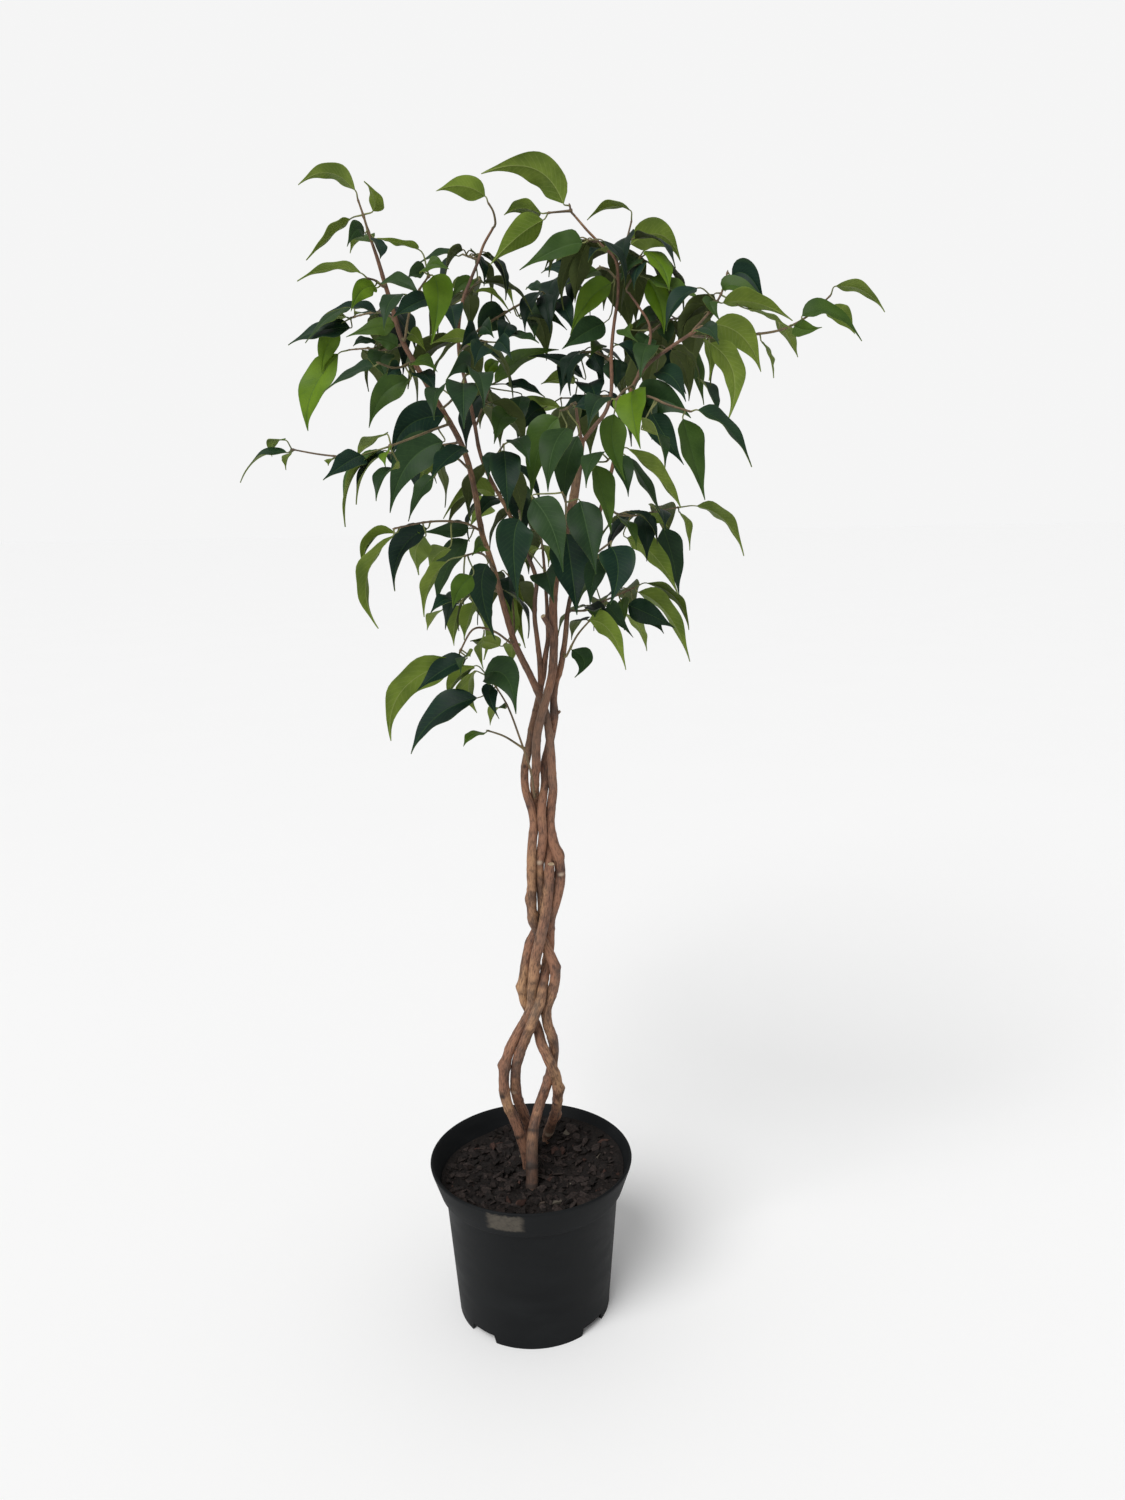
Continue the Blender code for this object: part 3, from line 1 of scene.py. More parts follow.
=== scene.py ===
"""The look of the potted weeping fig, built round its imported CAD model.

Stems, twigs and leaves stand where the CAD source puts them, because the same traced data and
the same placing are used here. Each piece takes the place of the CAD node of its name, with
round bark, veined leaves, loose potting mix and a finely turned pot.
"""

import json
import math

import bmesh
import bpy
import numpy as np
from mathutils import Matrix, Vector, noise
from mathutils.bvhtree import BVHTree
from mathutils.kdtree import KDTree

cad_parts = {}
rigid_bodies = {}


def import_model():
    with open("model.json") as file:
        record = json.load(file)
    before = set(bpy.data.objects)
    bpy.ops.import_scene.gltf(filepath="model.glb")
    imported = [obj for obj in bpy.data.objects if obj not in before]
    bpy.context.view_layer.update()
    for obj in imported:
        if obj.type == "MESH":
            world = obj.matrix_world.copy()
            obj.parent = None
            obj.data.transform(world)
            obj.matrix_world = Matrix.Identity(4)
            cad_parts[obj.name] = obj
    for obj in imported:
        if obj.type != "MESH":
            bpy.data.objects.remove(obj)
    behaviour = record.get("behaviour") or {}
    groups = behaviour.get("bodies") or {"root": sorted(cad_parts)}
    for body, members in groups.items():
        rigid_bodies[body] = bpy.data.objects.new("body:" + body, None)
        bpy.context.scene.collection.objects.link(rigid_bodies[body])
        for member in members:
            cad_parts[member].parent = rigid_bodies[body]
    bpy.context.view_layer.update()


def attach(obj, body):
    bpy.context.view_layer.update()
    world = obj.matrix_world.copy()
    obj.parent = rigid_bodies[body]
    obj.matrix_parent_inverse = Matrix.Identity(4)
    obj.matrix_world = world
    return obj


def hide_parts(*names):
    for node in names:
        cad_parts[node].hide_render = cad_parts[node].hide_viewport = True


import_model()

# The pot
POT_HEIGHT = 0.1686
RIM_RADIUS = 0.105
RIM_ROUNDING = 0.0016
BAND_BOTTOM = 0.138
BAND_BOTTOM_RADIUS = 0.0958
BAND_STEP = 0.004
BODY_TOP_RADIUS = 0.090
BASE_RADIUS = 0.0798
WALL = 0.0022
FOOT_HEIGHT = 0.009
FOOT_WIDTH = 0.0034
CENTRE_FOOT_RADIUS = 0.014
CENTRE_FOOT_TAPER = 0.002
FLOOR = 0.0026
FLOOR_SPLAY = 0.0006
NOTCH_WIDTH = 0.036
NOTCH_TOP_SHARE = 0.8
NOTCH_HEIGHT = 0.0084
NOTCH_ANGLES = (50, 140, 230, 320)
DRAIN_RADIUS = 0.006
DRAIN_SIDES = 10
DRAIN_RING = 0.052
DRAIN_ANGLES = (5, 95, 185, 275)

# The potting mix
SOIL_TOP = 0.146
SOIL_BUMP = 0.0022
SOIL_RISE = 0.012
SOIL_RISE_FROM = 0.020
SOIL_RISE_TO = 0.095
SOIL_RISE_WAY = math.radians(50)
STEM_DEPTH_IN_SOIL = 0.040

# Pieces that touch keep this gap, and points nearer than the weld distance are one
GAP = 0.0003
WELD_DISTANCE = 0.000002

# Where the photograph was taken from
VIEW_X = 0.0405
VIEW_Y = -1.069
VIEW_Z = 0.8212
VIEW_PITCH = math.radians(11.7)
VIEW_ROLL = math.radians(1.06)
PHOTO_FOCAL = 1126.0
PHOTO_CENTRE = (562.5, 750.0)

# Stems and twigs
STEM_SPACING = 0.017
FINE_STEP = 0.002
SMOOTHING_PASSES = 7
TWIG_SPACING = 0.032
TWIG_STRAIGHT = 0.004
SIDE_TWIG_MARGIN = 3
WOOD_CLEARANCE = 0.0006
PUSH_SHARE = 0.12
PUSH_SAMPLES = (0.0, 0.25, 0.5, 0.75)
SAME_PLACE = 1e-7
STEM_ROUNDS = 80
TWIG_ROUNDS = 60
TWIG_ROOT_RADIUS = 0.0013
TWIG_TIP_RADIUS = 0.0008

# Leaves
LEAF_WIDTH_SHARE = 0.43
LEAF_WIDTHS = (0.014, 0.038)
LEAF_ARCH = 0.07
LEAF_BOW = 0.11
FULL_BOW_LEVEL = 0.35
MOST_BOW = 0.30
LEAF_FOLD = 0.30
FRAME_STEP = 0.01
RIB_HALF_THICKNESS = 0.0006
PETIOLE_RADIUS = 0.0008
PETIOLE_BELOW_SHARE = 0.6
LEAF_CLEARANCE = 0.0007
LEAF_STATIONS = ((0.24, 0.95), (0.60, 0.74))
SHORTEST_LEAF = 0.046
LONGEST_LEAF = 0.085
SHORTEST_PETIOLE = 0.006
SHARPEST_BEND = -0.4
MOST_FORESHORTENED = 0.62
BASE_SHIFT_SHARE = 0.35
SHRINKS = (1.0, 0.85)
SHIFTS = (0.0, -0.012, 0.012, -0.024, 0.024, -0.038, 0.038, 0.055)
TURNS = (0.0, 0.35, -0.35)

# Bark: its rings, the knobs on some of them, and the scars read from the photograph
BARK_STEP = 0.0016
BARK_SIDES = 22
RING_STARTS = (0.01, 0.03)
RING_GAPS = (0.016, 0.040)
RING_END_MARGIN = 0.006
RING_LENGTH = 0.0019
RING_SWELLS = (0.03, 0.085)
RING_MARKS = (0.0, 0.20)
KNOB_CHANCE = 0.45
KNOB_SHIFT = 0.001
KNOB_LENGTH = 0.003
KNOB_SPREAD = 0.5
KNOB_SWELLS = (0.08, 0.26)
KNOB_MARKS = (-0.35, 0.20)
SCAR_LENGTH = 0.0055
SCAR_SPREAD = 0.8
SCAR_ROUND_SHARE = 0.30
SCAR_MARK_LENGTH = 0.0032
SCAR_MARK_ROUND_SHARE = 0.10
SCAR_MARK_STRENGTH = 0.40
LUMPS_ACROSS = 160
LUMPS_ALONG = 70
LUMPS_ROUND = 0.9
LUMPS_APART = 9
LUMPS_START = 0.05
LUMP_SWELL = 0.085
FINE_LUMPS = 2.7
FINE_LUMP_SWELL = 0.035
NEUTRAL_MARK = 0.5
BRAID_TOP = 0.560
BRAID_FULLNESS = 0.07
FOOT_TOP = 0.225
HEIGHT_FADE = 0.050
CUT_STUB_LENGTH = 0.04
BARK_SHARP_ANGLE = math.radians(60)
STEM_SEED = 71

# Twigs and leaf stalks: swollen at the foot, where they join a branch, and at each leaf
TWIG_STEP = 0.003
TWIG_SIDES = 8
TWIG_SUNK = 0.0014
TWIG_FOOT_SWELL = 0.5
TWIG_FOOT_LENGTH = 0.0022
TWIG_JOIN_REACH = 0.003
TWIG_JOIN_LENGTH = 0.011
JOINT_SWELL = 0.25
JOINT_LENGTH = 0.0014
JOINT_REACH = 0.004
TWIG_UNEVENNESS = 0.05
TWIG_END_SHARE = 0.35
TWIG_TONES = (0.0, 0.22)
PETIOLE_STEPS = 7
PETIOLE_SIDES = 6
PETIOLE_THIN = 0.00062
PETIOLE_SWELL = 1.25
PETIOLE_TAPER = 0.35
PETIOLE_LEADS = (0.45, 0.42)
PETIOLE_TONES = (0.6, 0.4)

# Leaf blades: points of the outline are (share of the length, share of the half width), and a
# pair is the range of what is drawn at random
BLADE_STEPS = 20
BLADE_STEP_POWER = 0.92
BLADE_SPREAD = (-1.0, -0.86, -0.6, -0.32, -0.07, 0.0, 0.07, 0.32, 0.6, 0.86, 1.0)
BLADE_THICKNESS = 0.00034
OUTLINE = (
    (0.0, 0.03), (0.03, 0.24), (0.07, 0.50), (0.12, 0.74), (0.18, 0.91), (0.26, 1.0), (0.36, 0.99),
    (0.46, 0.91), (0.56, 0.77), (0.65, 0.59), (0.73, 0.41), (0.80, 0.26), (0.86, 0.155),
    (0.91, 0.095), (0.96, 0.055), (1.0, 0.02),
)
WAVE_DEPTH = 0.10
WAVE_COUNTS = (1.6, 2.8)
WAVE_POWER = 1.6
BLADE_TWISTS = (-0.35, 0.35)
TWIST_MIDDLE = 0.25
BLADE_FOLDS = (0.55, 1.35)
FOLD_ROUNDING = 0.006
BLADE_CUPS = (-0.05, 0.22)
RIB_SPREAD = 0.05
RIB_SAG = 0.00032
RIB_THICKNESS = 0.00022
# The tone of each kind of leaf: 0 is dark, 1 is young and bright, and an inner one is in shade
TONES = {"T": 0.0, "G": 0.38, "U": 0.45, "Y": 1.0, "inner": -0.7}
TONE_DRIFT = (-0.10, 0.18)
SPRAY_SEED = 500

# The leaves that are added to the inner and rear crown
FILL_TRIES = 110
FILL_PER_SPRAY = 5
FILL_FRONT = -0.015
FILL_PLACES = (0.2, 0.95)
FILL_RISES = (-0.1, 0.5)
FILL_STALKS = (0.007, 0.014)
FILL_DROPS = (0.5, 2.2)
FILL_LENGTHS = (0.040, 0.066)
FILL_WIDTH_SHARES = (0.40, 0.48)
FILL_TILT = 0.35
FILL_SEED = 900

# The fine pot: its steps round, and how its band's lower edge is softened
FINE_POT_STEPS = 160
RIM_STEPS = 6
BAND_SOFTENING = ((0.0003, 0.0012), (-0.0001, 0.0002), (-0.0008, -0.0006))
STEP_SOFTENING = ((0.0009, 0.0004), (0.0001, -0.0007))
POT_SHARP_ANGLE = math.radians(40)

# The pale painted reflection on the pot's band: its middle in the photograph and in depth, and
# where it fades out, sideways, upwards and in depth
PAINTED_REFLECTION_MIDDLE = (505, 1223, -97.5)
PAINTED_REFLECTION_WIDE = (0.0245, 0.0165)
PAINTED_REFLECTION_TALL = (0.0140, 0.0110)
PAINTED_REFLECTION_DEEP = (0.03, 0.02)
PAINTED_REFLECTION_RAGGED_WIDE = 0.008
PAINTED_REFLECTION_RAGGED_TALL = 0.005
PAINTED_REFLECTION_STRENGTH = (0.45, 0.80)

# The fine potting mix; a layer of lumps is (fineness, height in the noise, size)
SOIL_RING_COUNT = 46
SOIL_AROUND = 180
SOIL_GAP = GAP * 2
SOIL_FOOT_RADIUS = 0.001
SOIL_LUMPS = ((150, 3.0, 0.0022), (420, 8.0, 0.0011))
SOIL_EDGE_FADE = 0.004
SOIL_SHARP_ANGLE = math.radians(32)
CHIP_COUNT = 1300
CHIP_CORNERS = 11
CHIP_SMALLEST = 0.0013
CHIP_GROWTH = 0.0072
CHIP_POWER = 2.1
CHIP_EDGE_MARGIN = 0.0004
CHIP_STEM_SHARE = 0.8
CHIP_LIFTS = (-0.1, 0.42)
CHIP_STRETCHES = ((0.8, 1.45), (0.55, 1.0), (0.30, 0.65))
CHIP_REACHES = (0.75, 1.0)
CHIP_TILT = 0.6
CHIP_FULL_TURN = 6.3
CHIP_SEED = 19

# Light, floor and camera
KEY_FROM = (-0.65, -1.00, 1.25)
KEY_STRENGTH = 2.35
KEY_SPREAD = math.radians(38.0)
SKY_STRENGTH = 0.45
BACKDROP_STRENGTH = 0.915
FLOOR_REACH = 60.0
FLOOR_GREYS = (0.96, 0.975)
LENS = 27.02
SENSOR = 36.0

# The noises in each material: how fine they are, how detailed, how rough, and on which map
LEAF_WOBBLE = (260.0, 3.0)
LEAF_MOTTLE = (38.0, 5.0)
LEAF_SPECKLE = (900.0, 3.0)
WOOD_STREAKS = ((900.0, 140.0, 1.0), 6.0, 0.62, "grain")
WOOD_FLECKS = ((420.0, 1500.0, 1.0), 2.0, 0.55, "grain")
WOOD_PATCHES = ((55.0, 55.0, 32.0), 5.0, 0.6)
WOOD_PORES = ((1400.0, 1400.0, 1100.0), 2.0)
BARK_GOLDEN = ((17.0, 17.0, 10.0), 3.0)
BARK_WEATHER = ((26.0, 26.0, 14.0), 4.0)
CUT_PATCHES = (700.0, 3.0)
SOIL_GRIT = (420.0, 6.0, 0.7)
SOIL_CLODS = (60.0, 4.0)
POT_GRAIN = (900.0, 3.0)
POT_SMEARS = ((14.0, 14.0, 40.0), 5.0, 0.6)
POT_DUSTING = (240.0, 6.0, 0.7)
POT_SCRATCHES = ((120.0, 120.0, 2600.0), 4.0, 0.6)
PAINTED_REFLECTION_EDGE = (260.0, 4.0)
FLOOR_CLOUDS = (2.2, 3.0)
FLOOR_GRAIN = (300.0, 3.0)

# How strongly each material's fine relief is felt, and how deep it is
LEAF_RELIEF = (0.45, 0.00035)
BARK_RELIEF = (0.8, 0.0006)
TWIG_RELIEF = (0.8, 0.0002)
CUT_RELIEF = (0.5, 0.0003)
SOIL_RELIEF = (0.9, 0.0007)
POT_RELIEF = (0.35, 0.00025)
FLOOR_RELIEF = (0.06, 0.0004)

# How rough and how shiny the materials are
BARK_ROUGHNESS = (0.62, 0.9)
SOIL_ROUGHNESS = (0.78, 0.97)
POT_ROUGHNESS = (0.54, 0.68)
PLAIN_ROUGHNESS = 0.75
USUAL_SHINE = 0.5
SOIL_SHINE = 0.25
POT_SHINE = 0.10

# What each face of a leaf looks like: its colours, as linear red, green and blue, its roughness,
# and how strongly its veins and its rib are coloured and raised. A pair of colours is for a tone
# of 0 and of 1.
LEAF_TOP = {
    "dark": ((0.0044, 0.0185, 0.0120), (0.070, 0.138, 0.0060)),
    "light": ((0.0080, 0.0290, 0.0165), (0.118, 0.205, 0.0110)),
    "rib": (0.056, 0.110, 0.030),
    "shaded": (0.006, 0.017, 0.009),
    "roughness": (0.40, 0.56),
    "specular": 0.15,
    "vein": (0.12, -0.25),
    "midrib": (0.42, -0.8),
}
# An underside is paler green than a top, and its colours are brightened further with painted light
# that shines through the leaf
LEAF_UNDERSIDE = {
    "dark": ((0.088, 0.122, 0.026), (0.106, 0.178, 0.012)),
    "light": ((0.172, 0.218, 0.046), (0.172, 0.260, 0.022)),
    "rib": (0.260, 0.315, 0.090),
    "shaded": (0.034, 0.046, 0.015),
    "roughness": (0.55, 0.70),
    "specular": 0.14,
    "vein": (0.25, 0.35),
    "midrib": (0.70, 1.0),
}
VEIN_SLANT = 0.95
VEIN_FINENESS = 88.0
VEIN_WOBBLE = 0.9
VEIN_FADE = (0.19, 0.10)
MIDRIB_FADE = (0.008, 0.0035)
LEAF_MARGIN = (0.16, 0.23)
SHADED_TONES = (-0.1, -0.6)

# Wood: bark's pairs of colours are for its brown and its golden stretches, and a twig's for a
# tone of 0 and of 1
BARK_DARK = ((0.062, 0.029, 0.019), (0.092, 0.046, 0.024))
BARK_LIGHT = ((0.290, 0.140, 0.082), (0.440, 0.250, 0.128))
BARK_WEATHERED = (0.150, 0.122, 0.092)
BARK_DARK_MARK = (0.034, 0.020, 0.014)
BARK_PALE_MARK_AND_HIGHLIGHT = (0.480, 0.370, 0.270)
BARK_CROWN = (0.085, 0.050, 0.030)
BARK_CROWN_HEIGHTS = (0.56, 0.74)
TWIG_DARK = ((0.070, 0.045, 0.026), (0.090, 0.120, 0.030))
TWIG_LIGHT = ((0.190, 0.125, 0.070), (0.230, 0.270, 0.080))
WOOD_FLECK = (0.410, 0.280, 0.175)
CUT_WOOD = ((0.330, 0.235, 0.140), (0.560, 0.450, 0.300))
CUT_RING = (0.200, 0.120, 0.070)
CUT_RING_FINENESS = 9000.0

# The mix, its chips and the pot
SOIL_COLOURS = ((0.0030, 0.0022, 0.0020), (0.0155, 0.0112, 0.0095))
SOIL_CLOD = (0.025, 0.019, 0.016)
CHIP_COLOURS = ((0.0105, 0.0072, 0.0062), (0.0460, 0.0330, 0.0290))
CHIP_REDS = ((0.0260, 0.0125, 0.0095), (0.0640, 0.0330, 0.0250))
CHIP_PALE = (0.110, 0.094, 0.074)
POT_COLOURS = ((0.0052, 0.0060, 0.0067), (0.0108, 0.0120, 0.0128))
POT_DUST = (0.026, 0.025, 0.023)
# The colour of the painted reflection on the pot's band
POT_PAINTED_REFLECTION = (0.105, 0.092, 0.074)

# Each stem: where it runs, its radius in millimetres at some heights in the photograph, and
# its forks, each with its radius at the root and at the end.
# In the braid a lower depth is nearer to the front.
STEMS = {
    "stem_left": {
        "route": [
            (528, 1164, 12), (525, 1150, 10), (521, 1138, 8), (516, 1122, 6), (508, 1107, 4),
            (504, 1090, 2), (504, 1068, 1), (511, 1046, 1), (521, 1030, 1), (529, 1015, 1),
            (534, 1000, 0), (534, 985, -3), (534, 970, -5), (536, 957, -7), (539, 945, -9),
            (542, 931, -9), (545, 917, -8), (547, 903, -6), (548, 885, -5), (548, 868, -1),
            (547, 850, 4), (544, 830, 8), (539, 812, 8), (537, 795, 4), (537, 780, -2),
            (536, 765, -5), (536, 750, -6), (537, 735, -7), (541, 716, -8), (545, 702, -8),
            (549, 690, -7), (552, 675, -6), (554, 655, -5), (554, 635, -4), (553, 615, -4),
            (553, 598, -4), (557, 565, -5), (565, 530, -5), (573, 503, -3), (578, 470, 0),
            (582, 442, 3),
        ],
        "radii": [(1164, 5.1), (1080, 5.1), (950, 5.1), (860, 4.7), (700, 4.1), (598, 4.0),
                  (480, 4.3), (442, 2.6)],
        "forks": [
            ([(582, 442, 3), (597, 423, 8), (608, 409, 14), (612, 390, 20), (611, 360, 26),
              (613, 330, 30), (618, 298, 32), (618, 262, 32), (607, 250, 30), (597, 241, 28),
              (585, 228, 26), (574, 215, 25)], (2.0, 1.0)),
            ([(582, 442, 3), (578, 424, -3), (576, 407, -10)], (1.8, 1.2)),
            ([(548, 885, -5), (551, 874, -8), (551, 864, -10)], (3.4, 3.0)),
            ([(553, 640, -4), (547, 622, -12), (543, 616, -18)], (2.6, 2.4)),
        ],
    },
    "stem_back": {
        "route": [
            (533, 1150, 40), (530, 1130, 34), (524, 1114, 26), (518, 1100, 18), (515, 1085, 10),
            (516, 1066, 3), (521, 1048, -3), (527, 1034, -7), (532, 1020, -9), (538, 1004, -8),
            (542, 991, -5), (545, 978, 1), (548, 962, 7), (549, 946, 8), (549, 930, 6),
            (550, 917, 3), (554, 906, 1), (558, 893, 0), (560, 879, 0), (559, 864, 0),
            (555, 850, -1), (550, 835, -2), (547, 820, -1), (549, 806, -1), (552, 790, -2),
            (552, 770, -2), (551, 750, -2), (549, 731, -1), (546, 716, 1), (543, 704, 3),
            (538, 692, 2), (531, 677, 0), (521, 657, -2), (514, 642, -4), (508, 621, -6),
            (502, 600, -8), (497, 580, -10), (490, 557, -12), (481, 532, -14), (477, 502, -16),
            (470, 468, -18), (460, 440, -20), (449, 421, -23), (441, 408, -25), (430, 390, -27),
            (420, 372, -28), (411, 357, -29), (402, 341, -30), (395, 318, -32), (388, 293, -34),
            (381, 272, -36), (377, 256, -37), (371, 240, -38),
        ],
        "radii": [(1150, 5.0), (1060, 5.0), (960, 4.8), (870, 5.0), (800, 4.4), (716, 3.9),
                  (657, 3.2), (620, 2.8), (385, 2.5), (270, 1.8), (240, 1.2)],
        "forks": [],
    },
    "stem_front": {
        "route": [
            (532, 1186, -24), (532, 1165, -15), (532, 1141, -4), (535, 1120, 6), (541, 1100, 13),
            (549, 1080, 13), (553, 1064, 11), (552, 1048, 7), (548, 1028, 0), (546, 1010, -2),
            (549, 998, -2), (553, 985, -2), (555, 970, -1), (551, 957, 0), (546, 946, 1),
            (540, 935, 1), (535, 924, 0), (532, 911, -1), (531, 899, -2), (532, 884, -3),
            (534, 862, -4), (536, 841, -4), (536, 824, -3), (533, 811, -2), (528, 798, -1),
            (524, 782, 0), (525, 766, 1), (528, 751, 3), (531, 736, 6), (534, 720, 9),
            (538, 702, 11), (541, 686, 8), (540, 662, 5), (538, 645, 5), (536, 630, 6),
            (534, 611, 8), (536, 591, 9), (537, 577, 10), (531, 563, 12), (520, 540, 14),
            (509, 513, 17), (498, 493, 19), (486, 471, 21), (479, 450, 23), (474, 420, 25),
            (466, 385, 28), (458, 350, 31), (459, 321, 34), (463, 298, 35), (471, 279, 36),
            (479, 259, 36), (484, 243, 36), (493, 228, 36),
        ],
        "radii": [(1186, 6.0), (1140, 5.5), (1090, 4.9), (960, 5.0), (900, 4.5), (720, 3.8),
                  (686, 3.0), (645, 2.4), (611, 2.1), (285, 1.5), (228, 1.1)],
        "forks": [
            ([(541, 690, 8), (545, 672, 7), (546, 655, 6), (549, 640, 5), (548, 622, 5),
              (547, 600, 6), (545, 575, 8), (543, 552, 12)], (3.0, 1.3)),
        ],
    },
    "stem_right": {
        "route": [
            (547, 1136, 59), (551, 1125, 44), (556, 1112, 28), (558, 1097, 14), (557, 1082, 6),
            (553, 1067, 2), (547, 1049, 1), (540, 1033, 5), (533, 1019, 9),
            (527, 1007, 8), (523, 994, 4), (523, 982, 2), (525, 968, 3), (527, 954, 5),
            (531, 942, 8), (537, 930, 10), (542, 917, 6), (543, 903, 2), (541, 890, 1),
            (540, 875, 0), (539, 860, -1), (541, 841, -3), (543, 820, -6), (543, 805, -4),
            (543, 790, 1), (543, 775, 5), (545, 760, 8), (549, 745, 9), (553, 728, 8),
            (555, 712, 5), (553, 697, 4), (555, 684, 3), (560, 671, 3), (563, 655, 3),
            (566, 631, 4), (568, 606, 5), (577, 575, 0), (590, 540, -6), (602, 505, -12),
            (612, 470, -17), (620, 430, -21), (628, 398, -25), (636, 379, -27), (650, 362, -31),
            (672, 346, -38), (698, 329, -46),
        ],
        "radii": [(1136, 5.0), (1090, 5.1), (1000, 4.8), (900, 4.4), (716, 3.8), (660, 2.9),
                  (631, 2.5), (606, 2.1), (398, 1.6), (329, 1.4)],
        "forks": [
            ([(636, 379, -27), (642, 362, -14), (650, 343, -4), (651, 327, 3), (643, 313, 7),
              (636, 303, 9), (629, 293, 11)], (1.3, 1.0)),
            ([(554, 716, 6), (560, 711, 4)], (1.8, 1.4)),
        ],
    },
}

